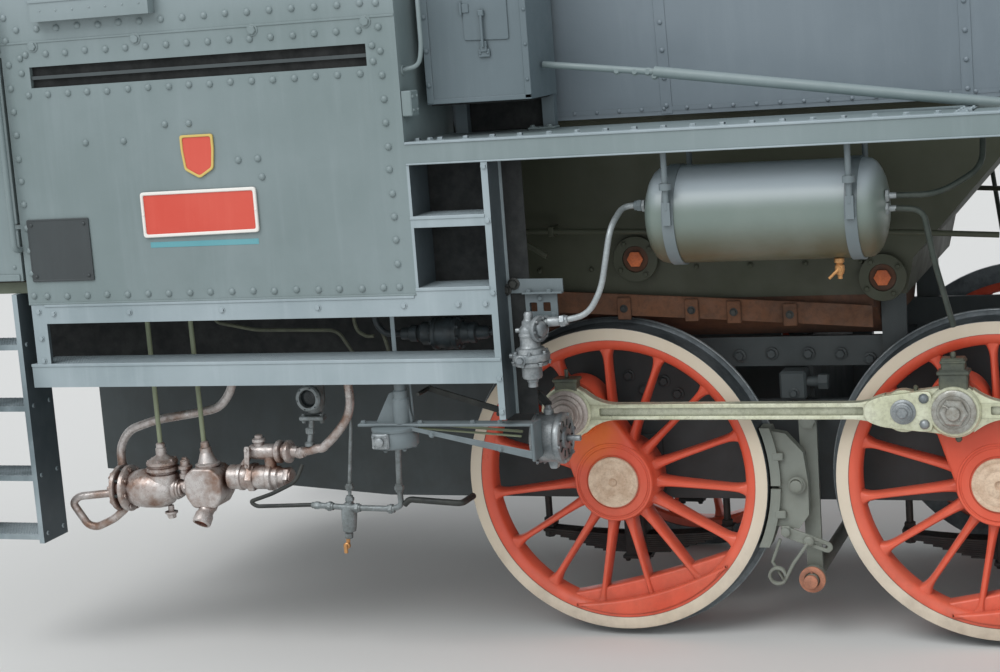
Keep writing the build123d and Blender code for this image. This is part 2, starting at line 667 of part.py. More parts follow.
def cylinders():
    z = wheel_z
    x0, x1 = cylinder_centre_x - cylinder_length / 2, cylinder_centre_x + cylinder_length / 2
    v0, v1 = cylinder_centre_x - valve_length / 2, cylinder_centre_x + valve_length / 2
    y = -cylinder_y
    casting = bar((x0, y, z), (x1, y, z), cylinder_radius)
    casting += bar((x0 - cover_length, y, z), (x1, y, z), cover_radius)
    c = cover_radius
    d = cover_length
    front_cover = [(0, 0), (c, 0), (c, 28), (c - 45, d), (c - 95, d), (c - 120, d + 22), (110, d + 30),
                   (90, d + 110),
                   (62, d + 118), (62, d + 210), (0, d + 216)]
    casting += turned(front_cover, x1, y, z, "x")
    casting += bar((v0, y, valve_z), (v1, y, valve_z), valve_radius - 25)
    casting += bar((x0 + 30, y, valve_z), (x1 - 30, y, valve_z), valve_radius)
    for end, way in ((v0, 1), (v1, -1)):
        casting += bar((end, y, valve_z), (end + way * 36, y, valve_z), valve_radius)
    casting += block(x0 + 60, x1 - 60, -frame_face, y, z - 120, valve_z)
    finish("cylinders", *pair(casting))
    pipe_y = -900.0
    pipe = bar((cylinder_centre_x, pipe_y, valve_z), (cylinder_centre_x, pipe_y, boiler_z - 200), 105)
    pipe -= casting
    pipe -= smokebox_seat()
    pipe = pipe.solids().sort_by(SortBy.VOLUME)[-1]
    finish("steam_pipes", *pair(pipe))


def roof_outline(half, eaves, ridge, x):
    """An arch over the cab, closed below at the eaves."""
    arc = ThreePointArc((x, -half, eaves), (x, 0, ridge), (x, half, eaves))
    return make_face([arc, Line((x, half, eaves), (x, -half, eaves))])


def cab():
    inner = cab_half - cab_wall
    floor = block(cab_rear_x + cab_wall, cab_front_x, -inner, inner, floor_z, floor_z + floor_thickness)
    finish("cab_floor", floor)
    side = block(cab_side_rear_x, cab_front_x + cab_wall, -cab_half, -inner, cab_foot, cab_eaves)
    # rear edge and front edge of each window
    for x0, x1 in ((-2260, -1700), (-1560, -880)):
        side -= block(x0, x1, -cab_half - 1, -inner + 1, window_sill, window_head)
    # the slot under the windows is blind
    slot_middle = slot_bottom + slot_height * 0.4
    side -= block(slot_rear_x, slot_front_x, -cab_half - 1, -cab_half + 25, slot_bottom,
                  slot_bottom + slot_height)
    side += block(slot_rear_x, slot_front_x, -cab_half + 8, -cab_half + 25, slot_middle, slot_middle + 14)
    side += block(ledge_rear_x, ledge_front_x, -cab_half - 55, -cab_half, window_sill - 95, window_sill - 5)
    for z in hinge_heights:
        side += block(hinge_x - 8, cab_side_rear_x, -hinge_y - 8, -hinge_y + 8, z - 10, z + 10)
        side += bar((hinge_x, -hinge_y, z - 45), (hinge_x, -hinge_y, z + 45), hinge_pin)
    finish("cab_side_right", side)
    finish("cab_side_left", left_of(side))
    under_ridge = cab_ridge - cab_wall
    arch = extrude(roof_outline(inner, cab_eaves, under_ridge, cab_front_x), amount=cab_wall, dir=(1, 0, 0))
    front = arch + block(cab_front_x, cab_front_x + cab_wall, -inner, inner, floor_z, cab_eaves)
    front -= Pos(cab_front_x - 10, 0, 0) * extrude(firebox_outline(-60 + seat), amount=cab_wall + 20,
                                                   dir=(1, 0, 0))
    front -= block(cab_front_x - 1, cab_front_x + cab_wall + 1, -900, 900, floor_z - 1, 2340)
    for s in (-1, 1):
        front -= block(cab_front_x - 1, cab_front_x + cab_wall + 1, s * front_window_inner,
                       s * (cab_half - front_window_margin), window_sill + 25, window_head)
    finish("cab_front", front)
    rear_arch = extrude(roof_outline(inner, cab_eaves, under_ridge, cab_rear_x), amount=cab_wall,
                        dir=(1, 0, 0))
    rear = rear_arch + block(cab_rear_x, cab_rear_x + cab_wall, -cab_half, cab_half, floor_z, cab_eaves)
    rear -= block(cab_rear_x - 1, cab_rear_x + cab_wall + 1, -doorway_half, doorway_half,
                  floor_z + floor_thickness,
                  cab_eaves + 30)
    for s in (-1, 1):
        rear -= block(cab_rear_x - 1, cab_rear_x + cab_wall + 1, s * rear_window_inner,
                      s * (cab_half - rear_window_margin), window_sill + 25, window_head)
    finish("cab_rear", rear)
    length = roof_front_x - roof_rear_x
    outer_half = cab_half + roof_lip
    outer = extrude(roof_outline(outer_half, cab_eaves, cab_ridge, roof_rear_x), amount=length, dir=(1, 0, 0))
    under = extrude(roof_outline(inner, cab_eaves, under_ridge, roof_rear_x), amount=length, dir=(1, 0, 0))
    under = under + block(roof_rear_x, roof_front_x, -inner, inner, cab_eaves - 10, cab_eaves)
    roof = outer - under
    hatch = block(-2300, -1300, -330, 330, cab_ridge - 30, cab_ridge + 60)
    finish("cab_roof", roof + (hatch - under))
    door_rear, door_front = cab_rear_x + cab_wall + door_gap, cab_side_rear_x - door_gap
    door = block(door_rear, door_front, -cab_half, -cab_half + door_thickness,
                 floor_z + floor_thickness + 10, cab_eaves - 10)
    door -= block(cab_rear_x + 110, cab_side_rear_x - 75, -cab_half - 1, -inner + 1, window_sill, window_head)
    for z in hinge_heights:
        door -= block(hinge_x - 20, hinge_x + 40, -cab_half - 1, -cab_half + door_thickness + 1,
                      z - 15, z + 15)
        door -= bar((hinge_x, -hinge_y, z - 50), (hinge_x, -hinge_y, z + 50), hinge_pin + seat)
    finish("cab_door_right", door)
    finish("cab_door_left", left_of(door))


def walkways():
    board = block(board_rear_x, board_front_x, -board_half, -board_inner, board_top - board_thickness,
                  board_top)
    board += block(barrel_rear_x + 100, board_front_x, -board_inner - 10, -narrow_board_inner,
                   board_top - board_thickness, board_top)
    board += block(board_rear_x, board_front_x, -board_half, -board_half + 10, board_top - board_edge,
                   board_top)
    board -= bar((cylinder_centre_x, -900, 2000), (cylinder_centre_x, -900, 2400), 115)
    # the reversing rod passes through a slot on the right side
    slotted = board - block(1580, 2120, -reverser_y - 40, -reverser_y + 40, board_top - 20, board_top + 10)
    apron = block(board_front_x, beam_x, -beam_half, beam_half, beam_top, beam_top + board_thickness)
    finish("running_boards", slotted, left_of(board), apron)
    brackets = []
    shell = bar((0, 0, boiler_z), (smokebox_front_x, 0, boiler_z), barrel_radius + seat)
    for x in (2800, 3700, 5000, smokebox_rear_x - 550, smokebox_front_x - 360):
        under = board_top - board_thickness
        arm = cross_plate([(-board_half + 10, under), (-narrow_board_inner, under), (-600, 2460),
                           (-430, 2460),
                           (-430, 2230), (-620, 2130), (-board_half + 10, board_top - board_edge)], x - 6,
                           x + 6)
        arm -= shell if x < smokebox_rear_x else smokebox_seat()
        brackets += [one for one in pair(arm.solids().sort_by(SortBy.VOLUME)[-1])]
    return brackets


def steps():
    y0, y1 = -cab_half, -cab_half + 20
    inner = -cab_half + step_width
    rear, front = step_rear_x, step_front_x
    under_board = board_top - board_edge
    unit = block(rear, front, y0, y1, cab_foot - 85, cab_foot)
    unit += block(rear, front, y0, inner, cab_foot - 10, cab_foot)
    # the post is an angle: its edge faces outwards and its flange stands at its inner end
    unit += block(front, front + 28, y0, y0 + post_depth, 1127, under_board)
    unit += block(front + 28, front + 28 + post_flange, y0 + post_depth - 10, y0 + post_depth, 1127,
                  under_board)
    step_top = long_step_z + 22
    unit += block(rear - 100, front + 28, y0, inner, long_step_z, step_top)
    unit += block(rear - 100, front, y0, y1, step_top - 104, step_top)
    unit += block(rear - 70, rear, y0, y1, long_step_z, cab_foot)
    for z in (1636, 1931):
        unit += block(board_rear_x, front, y0, inner, z + 30, z + 45)
        unit += block(board_rear_x, front, y0, y1, z, z + 45)
    unit += block(board_rear_x, board_rear_x + 12, y0, inner, 1645, under_board)
    ladder = block(ladder_front_x - 25, ladder_front_x, y0, inner, ladder_foot, floor_z)
    ladder += block(ladder_rear_x, ladder_rear_x + 25, y0, inner, ladder_foot, floor_z)
    for z in (ladder_foot + 17, 850, 1170, 1450):
        ladder += block(ladder_rear_x + 25, ladder_front_x - 25, y0, inner, z, z + 24)
    finish("side_steps", *pair(unit), *pair(ladder))


def pipe(points, radius, bend):
    """A round pipe along straight runs that arcs of one radius join."""
    path = FilletPolyline(*points, radius=bend)
    start = Vector(*points[0])
    return sweep(Plane(origin=start, z_dir=Vector(*points[1]) - start) * Circle(radius), path=path)


def feed_valve():
    """The stacked valve beside the front step post, with its bracket and its pipe to the air tank."""
    post_x, y = step_front_x + 28, -cab_half + 45
    back, face = -cab_half + post_depth - 10 - seat, -cab_half + post_depth - 18 - seat
    plate_z = valve_plate_z
    bracket = block(post_x, post_x + 292, face, back, plate_z + 2, plate_z + 60)
    bracket += block(post_x + 128, post_x + 270, face, back, plate_z - 117, plate_z + 2)
    bracket += block(post_x + 128, post_x + 270, face - 26, face, plate_z + 2, plate_z + 8)
    for x in (post_x + 154, post_x + 206):
        bracket -= block(x, x + 32, face - 1, back + 1, plate_z - 76, plate_z - 38)
    x = post_x + 96
    stack = [(0, 0), (20, 0), (22, 28), (40, 38), (42, 88), (66, 92), (66, 110), (78, 114), (78, 142),
             (60, 150),
             (58, 165), (42, 178), (42, 245), (30, 262), (28, 276), (19, 290), (19, 308), (10, 315), (0, 315)]
    valve = turned(stack, x, y, valve_plate_z - 387, "z")
    valve += bar((x + 60, y, valve_plate_z - 110), (x + 60, back, valve_plate_z - 110), 26)
    valve += turned([(0, 0), (34, 0), (34, 50), (52, 54), (52, 72), (34, 76), (34, 92), (20, 96),
                     (20, 150), (0, 150)],
                    x, y, valve_plate_z - 115, "x")
    end = (tank_rear_x + 3, -tank_y - 50, tank_z + 48)
    route = [(x + 140, y, valve_plate_z - 115), (x + 255, y, valve_plate_z - 92),
             (x + 312, y + 20, valve_plate_z + 10),
             (x + 352, y + 60, valve_plate_z + 250), (x + 378, end[1], end[2]), end]
    valve += pipe(route, 13, 34)
    return bracket + valve


def speed_drive():
    """The drive beside the last crank pin, its round box and the bracket under the long step."""
    y = -cab_half + 75
    post_x, flange_z = -742.0, 1101.0
    unit = bar((post_x, y, flange_z), (post_x, y, long_step_z), 24)
    unit += block(-935, -217, y - 35, y + 35, flange_z - 12, flange_z)
    unit += side_plate([(-862, flange_z - 2), (-790, flange_z + 130), (-720, flange_z + 138),
                        (-690, flange_z - 2)],
                       y - 6, y + 6)
    unit += side_plate([(-765, flange_z - 12), (-690, flange_z - 12), (-217, flange_z - 106),
                        (-217, flange_z - 142)],
                       y - 35, y - 25)
    unit += bar((-780, y, flange_z - 120), (-780, y, flange_z - 6), 100)
    unit += block(-842, -766, y - 112, y, flange_z - 92, flange_z - 28)
    # the drum is turned a little outwards from the engine's length
    drum = [(0, 0), (104, 0), (108, 6), (108, 112), (104, 118), (104, 134), (92, 140), (40, 140),
            (36, 132), (0, 132)]
    unit += Pos(-217, -cab_half + 245, flange_z - 136) * Rot(0, 0, -drum_turn) * turned(drum, 0, 0, 0, "x")
    unit += block(-232, -214, y - 35, -cab_half + 330, flange_z - 240, flange_z)
    return unit


def details(brackets):
    rear, front = locker_rear_x, locker_front_x
    locker = block(rear, front, -locker_half, -board_inner, locker_bottom, locker_top)
    for x in (rear + 30, front - 30):
        locker += block(x - 26, x + 26, -board_inner - 42, -board_inner, board_top, locker_bottom)
    finish("locker", locker)
    tank = turned([(0, 0), (120, 8), (tank_radius - 17, tank_end / 2), (tank_radius, tank_end),
                   (tank_radius, tank_length - tank_end), (tank_radius - 17, tank_length - tank_end / 2),
                   (120, tank_length - 8), (0, tank_length)], tank_rear_x, -tank_y, tank_z, "x")
    finish("air_tanks", *pair(tank))
    hangers = []
    under = board_top - board_thickness
    for x in (tank_rear_x + 130, tank_rear_x + tank_length - 120):
        band = bar((x - 24, -tank_y, tank_z), (x + 24, -tank_y, tank_z), tank_radius + band_thickness)
        band -= bar((x - 30, -tank_y, tank_z), (x + 30, -tank_y, tank_z), tank_radius + seat)
        # an eye bolt on each side carries the band, with a nut half way up
        for way in (-1, 1):
            y = -tank_y + way * (tank_radius + band_thickness + 4)
            band += block(x - 16, x + 16, y - 10, y + 10, tank_z - 20, tank_z + 70)
            band += bar((x, y, tank_z + 40), (x, y, under), 12)
            band += bar((x, y, tank_z + 120), (x, y, tank_z + 146), 24)
        hangers += pair(band)
    finish("board_brackets", *hangers, *brackets)
    lever = bar((locker_front_x + 10, -reverser_y, 2550), (390, -reverser_y, 2490), 14)
    lever += bar((380, -reverser_y, 2492), (lifting_shaft_x, -reverser_y, lifting_shaft_z + lifting_lever),
                 reverser_radius)
    finish("reversing_rod", lever)
    foot = frame_top + 5
    band_half, band_z = firebox_half_foot - 5, firebox_foot - ashpan_band
    ashpan = cross_plate([(-band_half, firebox_foot), (-band_half, band_z), (-ashpan_half_top, band_z - 12),
                          (-ashpan_half_foot, foot), (ashpan_half_foot, foot), (ashpan_half_top, band_z - 12),
                          (band_half, band_z), (band_half, firebox_foot)], ashpan_rear_x, ashpan_front_x)
    finish("ashpan", ashpan)
    y, z = -injector_y, injector_z
    # the water valve: a flanged drum with a stepped nose, its neck and its spindle
    drum = [(0, 0), (96, 0), (96, 20), (78, 26), (78, 42), (100, 48), (100, 68), (84, 76), (88, 200),
            (70, 262),
            (44, 272), (44, 292), (34, 300), (0, 300)]
    body = turned(drum, -2225, y, z - 30, "x")
    neck = [(0, 0), (74, 0), (74, 90), (56, 112), (40, 120), (26, 150), (26, 200), (0, 200)]
    body += turned(neck, -1990, y, z, "z")
    # the steam nozzle box: eight sided, with a tapered neck above and an open spout below
    centre = -1764.0
    corners = [(-92, -50), (-55, -96), (55, -96), (92, -50), (92, 44), (50, 86), (-50, 86), (-92, 44)]
    body += side_plate([(centre + dx, z + dz) for dx, dz in corners], y - 78, y + 78)
    body += turned([(0, 0), (58, 0), (30, 62), (24, 70), (24, 130), (0, 130)], centre, y, z + 70, "z")
    spout = bar((centre + 2, y, z - 80), (centre - 26, y, z - 196), 36)
    body += spout - bar((centre - 8, y, z - 130), (centre - 28, y, z - 204), 25)
    body += bar((-1940, y, z), (centre, y, z), 40)
    # the delivery barrel with its cap, and the check valve on top of it
    barrel = [(0, 0), (54, 0), (54, 300), (60, 306), (60, 330), (44, 338), (44, 384), (0, 390)]
    body += turned(barrel, centre, y, z + 24, "x")
    check = [(0, 0), (34, 0), (34, 130), (52, 134), (52, 150), (40, 152), (40, 172), (52, 174), (52, 190),
             (30, 196),
             (30, 232), (0, 236)]
    body += turned(check, -1550, y, z + 140, "x")
    body += bar((-1500, y, z + 24), (-1500, y, z + 205), 26)
    for x, foot in ((-1990, z + 190), (centre, z + 190)):
        body += bar((x, y, foot), (x, y, floor_z), 12)
    finish("injectors", *pair(body))
    finish("feed_valve", feed_valve())
    finish("speed_drive", speed_drive())
    springs = []
    for x in axle_xs:
        spring = side_plate([(x - 440, 420), (x - 440, 396), (x - 160, 310), (x + 160, 310), (x + 440, 396),
                             (x + 440, 420), (x + 160, 395), (x - 160, 395)], -560, -470)
        spring += block(x - 50, x + 50, -565, -465, 290, frame_bottom)
        for end in (-420, 420):
            spring += bar((x + end, -515, 400), (x + end, -515, frame_bottom), 16)
        springs += pair(spring)
    finish("leaf_springs", *springs)
    brakes = []
    shoe_inner = tread_radius + 3 + 7
    for x in axle_xs:
        shoe = bar((x, -810, wheel_z), (x, -718, wheel_z), shoe_inner + 42)
        shoe -= bar((x, -820, wheel_z), (x, -700, wheel_z), shoe_inner)
        shoe = shoe & block(x + 560, x + 800, -810, -718, wheel_z - 295, wheel_z + 231)
        shoe -= block(x + 600, x + 800, -811, -717, wheel_z - 36, wheel_z - 22)
        # the holder grips both blocks and hangs from a flat bar
        holder = side_plate([(x + 690, 927), (x + 758, 915), (x + 831, 833), (x + 847, 700), (x + 844, 559),
                             (x + 798, 495), (x + 690, 509), (x + 712, 600), (x + 722, 711), (x + 712, 822)],
                            -790, -742)
        gear = shoe + holder
        gear += side_plate([(x + 806, 1005), (x + 884, 1005), (x + 880, 262), (x + 815, 262)], -730, -708)
        gear += bar((x + 801, -806, 692), (x + 801, -708, 692), 30)
        gear += bar((x + 847, -738, 960), (x + 847, -frame_face, 960), 28)
        gear = gear + left_of(gear) + bar((x + 847, -830, 275), (x + 847, 830, 275), 30)
        for side in (-1, 1):
            gear += bar((x + 847, side * 762, 275), (x + 847, side * 790, 275), 56)
        brakes.append(gear)
    finish("brake_gear", *brakes)
    rails = []
    rail_y, rail_z0 = -985.0, 3400.0
    rail = bar((-560, rail_y, rail_z0), (smokebox_front_x - 110, rail_y, rail_z0), 17)
    for x in (-300, 1300, 2900, 4500, 6100, chimney_x - 350, smokebox_front_x - 160):
        post = bar((x, rail_y, rail_z0), (x, -700, rail_z0), 13)
        rail += post
    rail -= smokebox_seat()
    rail -= bar((barrel_rear_x, 0, boiler_z), (smokebox_rear_x, 0, boiler_z), barrel_radius + seat)
    rail -= bar((-700, 0, boiler_z), (barrel_rear_x, 0, boiler_z), cladding_radius + seat)
    finish("boiler_handrails", *pair(rail.solids().sort_by(SortBy.VOLUME)[-1]))
    rear, front = smokebox_front_x - 1240, smokebox_front_x + 40
    deflector = side_plate([(rear + 30, 2950), (front - 50, 2950), (front, 3080), (front, 3780),
                            (front - 100, 3860),
                            (rear + 80, 3860), (rear, 3780), (rear, 3040)], -deflector_y, -deflector_y + 8)
    for x, z in ((rear + 130, 3150), (front - 200, 3150), (rear + 130, 3600), (front - 200, 3600)):
        deflector += bar((x, -deflector_y + 8, z), (x, -500, z), 16)
    deflector -= smokebox_seat()
    finish("smoke_deflectors", *pair(deflector.solids().sort_by(SortBy.VOLUME)[-1]))
    lamps = []
    for y, z in ((-930, 1330), (930, 1330)):
        case = [(0, 0), (95, 0), (110, 30), (110, 150), (125, 160), (125, 175), (0, 175)]
        foot = block(beam_x - 150, beam_x - 60, y - 30, y + 30, beam_top + board_thickness, z + 70)
        lamps.append(turned(case, beam_x - 200, y, z + 160, "x") + foot)
    finish("head_lamps", *lamps)
    x, y = smokebox_front_x - 730, board_half - 295
    pump = bar((x, y, 2300), (x, y, 3020), 150) + bar((x, y, 2500), (x, y, 2650), 175)
    pump += block(x - 70, x + 70, 860, y, 2850, 2950)
    pump -= smokebox_seat()
    finish("air_pump", pump)
    valve = bar((1180, -250, boiler_z), (1180, -250, 4110), 60) + bar((1180, -250, 4000),
                                                                      (1180, -250, 4160), 40)
    valves = pair(valve - bar((0, 0, boiler_z), (3000, 0, boiler_z), cladding_radius + seat))
    finish("safety_valves", *valves)


coupled_wheels()
pony_wheels()
coupling_rods()
motion()
frame_plates()
frame_stays()
front_end()
pony_truck()
boiler()
cylinders()
cab()
board_arms = walkways()
steps()
details(board_arms)
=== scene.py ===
import math
import bpy
import numpy as np
from mathutils import Matrix, Vector
from mathutils.geometry import tessellate_polygon


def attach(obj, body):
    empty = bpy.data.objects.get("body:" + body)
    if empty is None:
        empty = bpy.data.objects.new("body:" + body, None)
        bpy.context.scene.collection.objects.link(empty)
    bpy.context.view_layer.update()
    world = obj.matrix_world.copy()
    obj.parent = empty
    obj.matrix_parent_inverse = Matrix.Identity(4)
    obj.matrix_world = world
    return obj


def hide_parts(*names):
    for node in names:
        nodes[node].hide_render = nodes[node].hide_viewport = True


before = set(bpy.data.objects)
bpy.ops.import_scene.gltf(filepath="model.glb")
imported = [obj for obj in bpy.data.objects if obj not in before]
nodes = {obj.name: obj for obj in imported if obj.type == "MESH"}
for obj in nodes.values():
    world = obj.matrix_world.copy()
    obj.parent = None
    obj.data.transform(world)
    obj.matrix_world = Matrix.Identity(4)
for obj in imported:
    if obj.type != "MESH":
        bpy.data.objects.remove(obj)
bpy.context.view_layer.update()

scene = bpy.context.scene
rng = np.random.default_rng(7)
print("frame loaded,", len(nodes), "nodes")

# Shapes are drawn in metres, x forward from the last coupled axle; midX moves them to the frame's origin.
engine = dict(midX=4.2825, pitch=1.65, wheelZ=0.711, treadR=0.68, flangeR=0.711, crankR=0.368,
    crankAngle=115.5, tyreFace=0.82, tyreBack=0.68, ponyX=9.2, ponyZ=0.456, boilerZ=3.081, barrelR=0.925,
    claddingR=0.95, smokeboxR=0.905, cabHalf=1.475, boardTop=2.278)
axleX = {n: (5 - n) * engine["pitch"] for n in range(1, 6)}
# Directions; aside points to the right of the engine, across to its left.
zero, ahead, aft, above, below = (0, 0, 0), (1, 0, 0), (-1, 0, 0), (0, 0, 1), (0, 0, -1)
aside, across = (0, -1, 0), (0, 1, 0)


def mm2(*values):
    # places with two coordinates, or radius and distance of a profile, written in a row in millimetres
    return np.reshape(values, (-1, 2)) / 1000


def mm3(*values):
    # the same, with three coordinates
    return np.reshape(values, (-1, 3)) / 1000


# Arrays for meshes. A shape holds its points, quads, triangles, material number and whether it is smooth.
def shape(v, q=None, t=None, mat=0, smooth=True):
    quads = np.zeros((0, 4), int) if q is None else np.asarray(q, int)
    tris = np.zeros((0, 3), int) if t is None else np.asarray(t, int)
    return dict(v=np.asarray(v, float).reshape(-1, 3), q=quads, t=tris, mat=mat, smooth=smooth)


def gridQuads(rows, cols, closed):
    # quads between neighbours of a rows x cols grid of points, whose columns may close into a ring
    r = np.arange(rows - 1)[:, None]
    c = np.arange(cols if closed else cols - 1)[None, :]
    d = (c + 1) % cols
    return np.stack([r * cols + c, r * cols + d, (r + 1) * cols + d, (r + 1) * cols + c], -1).reshape(-1, 4)


def capTris(start, count, pole, flip):
    # a fan from a pole point to a ring of count points that begins at start
    a = start + np.arange(count)
    b = start + (np.arange(count) + 1) % count
    p = np.full(count, pole)
    return np.stack([p, b, a] if flip else [p, a, b], -1)


def frameOf(axis):
    # two unit vectors at right angles to each axis, for arrays of axes
    axis = np.atleast_2d(np.asarray(axis, float))
    axis = axis / np.linalg.norm(axis, axis=1, keepdims=True)
    helper = np.where(np.abs(axis[:, 2:3]) > 0.9, [[1.0, 0, 0]], [[0, 0, 1.0]])
    side = np.cross(helper, axis)
    side /= np.linalg.norm(side, axis=1, keepdims=True)
    return side, np.cross(axis, side), axis


def outward(s):
    # turns every face round if the volume that they enclose comes out negative
    v = s["v"]
    tris = np.concatenate([s["t"], s["q"][:, [0, 1, 2]], s["q"][:, [0, 2, 3]]])
    volume = np.einsum("ij,ij->i", v[tris[:, 0]], np.cross(v[tris[:, 1]], v[tris[:, 2]])).sum()
    return s if volume >= 0 else dict(s, q=s["q"][:, ::-1], t=s["t"][:, ::-1])


def lathe(profile, origin, axis, segments=32, mat=0, smooth=True):
    # point = origin + r cos(a) side + r sin(a) up + d axis, for profile points (r, d) and angles a
    r, d = np.asarray(profile, float).T
    side, up, ax = (w[0] for w in frameOf(axis))
    a = np.arange(segments) * 2 * np.pi / segments
    ring = np.cos(a)[:, None] * side + np.sin(a)[:, None] * up
    v = np.asarray(origin, float) + r[:, None, None] * ring[None] + d[:, None, None] * ax
    poles = np.asarray(origin, float) + d[[0, -1], None] * ax
    n = len(r) * segments
    tris = np.concatenate([capTris(0, segments, n, True), capTris(n - segments, segments, n + 1, False)])
    v = np.concatenate([v.reshape(-1, 3), poles])
    return outward(shape(v, gridQuads(len(r), segments, True), tris, mat, smooth))


def hexLathe(profile, origin, axis, mat=0):
    return lathe(profile, origin, axis, 6, mat, False)


def ringLathe(profile, origin, axis, segments=64, mat=0):
    # the same, for a closed profile that doesn't touch the axis
    profile = np.asarray(profile, float)
    body = lathe(np.concatenate([profile, profile[:1]]), origin, axis, segments)
    n = len(profile) * segments
    return outward(shape(body["v"][:n], gridQuads(len(profile) + 1, segments, True) % n, None, mat))


def sweep(path, radius, segments=12, mat=0):
    # a round section carried along the path in frames that turn as little as they can
    a = np.arange(segments) * 2 * np.pi / segments
    section = np.stack([np.cos(a), np.sin(a)], -1) * radius
    p = np.asarray(path, float)
    tangent = np.gradient(p, axis=0)
    tangent /= np.linalg.norm(tangent, axis=1, keepdims=True)
    side = np.zeros_like(p)
    side[0] = frameOf(tangent[0])[0][0]
    for i in range(1, len(p)):
        s = side[i - 1] - tangent[i] * np.dot(side[i - 1], tangent[i])
        side[i] = s / np.linalg.norm(s)
    up = np.cross(tangent, side)
    v = p[:, None] + section[:, :1] * side[:, None] + section[:, 1:] * up[:, None]
    rows, cols = v.shape[:2]
    n = rows * cols
    tris = np.concatenate([capTris(0, cols, n, True), capTris(n - cols, cols, n + 1, False)])
    return shape(np.concatenate([v.reshape(-1, 3), p[[0, -1]]]), gridQuads(rows, cols, True), tris, mat)


def bendPath(points, radius, steps=6):
    # straight runs joined by quadratic curves that begin and end at about the given radius from a corner
    p = [np.asarray(q, float) for q in points]
    out = [p[0]]
    for a, b, c in zip(p[:-2], p[1:-1], p[2:]):
        ab, bc = b - a, c - b
        reach = min(radius, 0.45 * np.linalg.norm(ab), 0.45 * np.linalg.norm(bc))
        s = b - ab / np.linalg.norm(ab) * reach
        e = b + bc / np.linalg.norm(bc) * reach
        for t in np.linspace(0, 1, steps):
            out.append((1 - t) ** 2 * s + 2 * t * (1 - t) * b + t ** 2 * e)
    out.append(p[-1])
    return np.array(out)


def pipe(points, radius, bend=0.06, segments=12, mat=0):
    return sweep(bendPath(points, bend), radius, segments, mat)


def rod(a, b, radius, segments=16, mat=0):
    # a round bar from a to b with small chamfers at its ends
    a, b = np.asarray(a, float), np.asarray(b, float)
    length = np.linalg.norm(b - a)
    c = min(radius * 0.12, 0.003)
    return lathe([(radius - c, 0), (radius, c), (radius, length - c), (radius - c, length)], a, b - a,
        segments, mat)


def box(x0, x1, y0, y1, z0, z1, chamfer=0.002, mat=0):
    # 24 points: each corner moved in by the chamfer along two of the three directions
    lo = np.array([min(x0, x1), min(y0, y1), min(z0, z1)])
    hi = np.array([max(x0, x1), max(y0, y1), max(z0, z1)])
    c = min(chamfer, 0.3 * (hi - lo).min())
    signs = np.array([[i & 1, i >> 1 & 1, i >> 2 & 1] for i in range(8)])
    corner = lo + signs * (hi - lo)
    inward = np.where(signs == 1, -c, c)
    v = corner[:, None, :] + inward[:, None, :] * (1 - np.eye(3))[None]
    v = v.reshape(-1, 3)
    quads, tris = [], []
    for k in range(3):
        i, j = (k + 1) % 3, (k + 2) % 3
        for s in (0, 1):
            ring = [sum(((a << i), (b << j), (s << k))) for a, b in ((0, 0), (1, 0), (1, 1), (0, 1))]
            ids = [3 * n + k for n in ring]
            quads.append(ids if s else ids[::-1])
        for a, b in ((0, 0), (1, 0), (1, 1), (0, 1)):
            n0 = (a << i) | (b << j)
            n1 = n0 | (1 << k)
            ids = [3 * n0 + i, 3 * n1 + i, 3 * n1 + j, 3 * n0 + j]
            quads.append(ids if a != b else ids[::-1])
    for n in range(8):
        ids = [3 * n, 3 * n + 1, 3 * n + 2]
        tris.append(ids if bin(n).count("1") % 2 else ids[::-1])
    return shape(v, quads, tris, mat, False)


def signedArea(p):
    return 0.5 * np.sum(p[:, 0] * np.roll(p[:, 1], -1) - np.roll(p[:, 0], -1) * p[:, 1])


def insetLoop(p, amount):
    # a loop moved towards its material by the amount, its corners kept sharp
    edge = np.roll(p, -1, 0) - p
    edge /= np.maximum(np.linalg.norm(edge, axis=1, keepdims=True), 1e-9)
    normal = np.stack([edge[:, 1], -edge[:, 0]], -1)
    miter = normal + np.roll(normal, 1, 0)
    miter /= np.maximum((miter ** 2).sum(1, keepdims=True) / 2, 0.3)
    return p - miter * amount


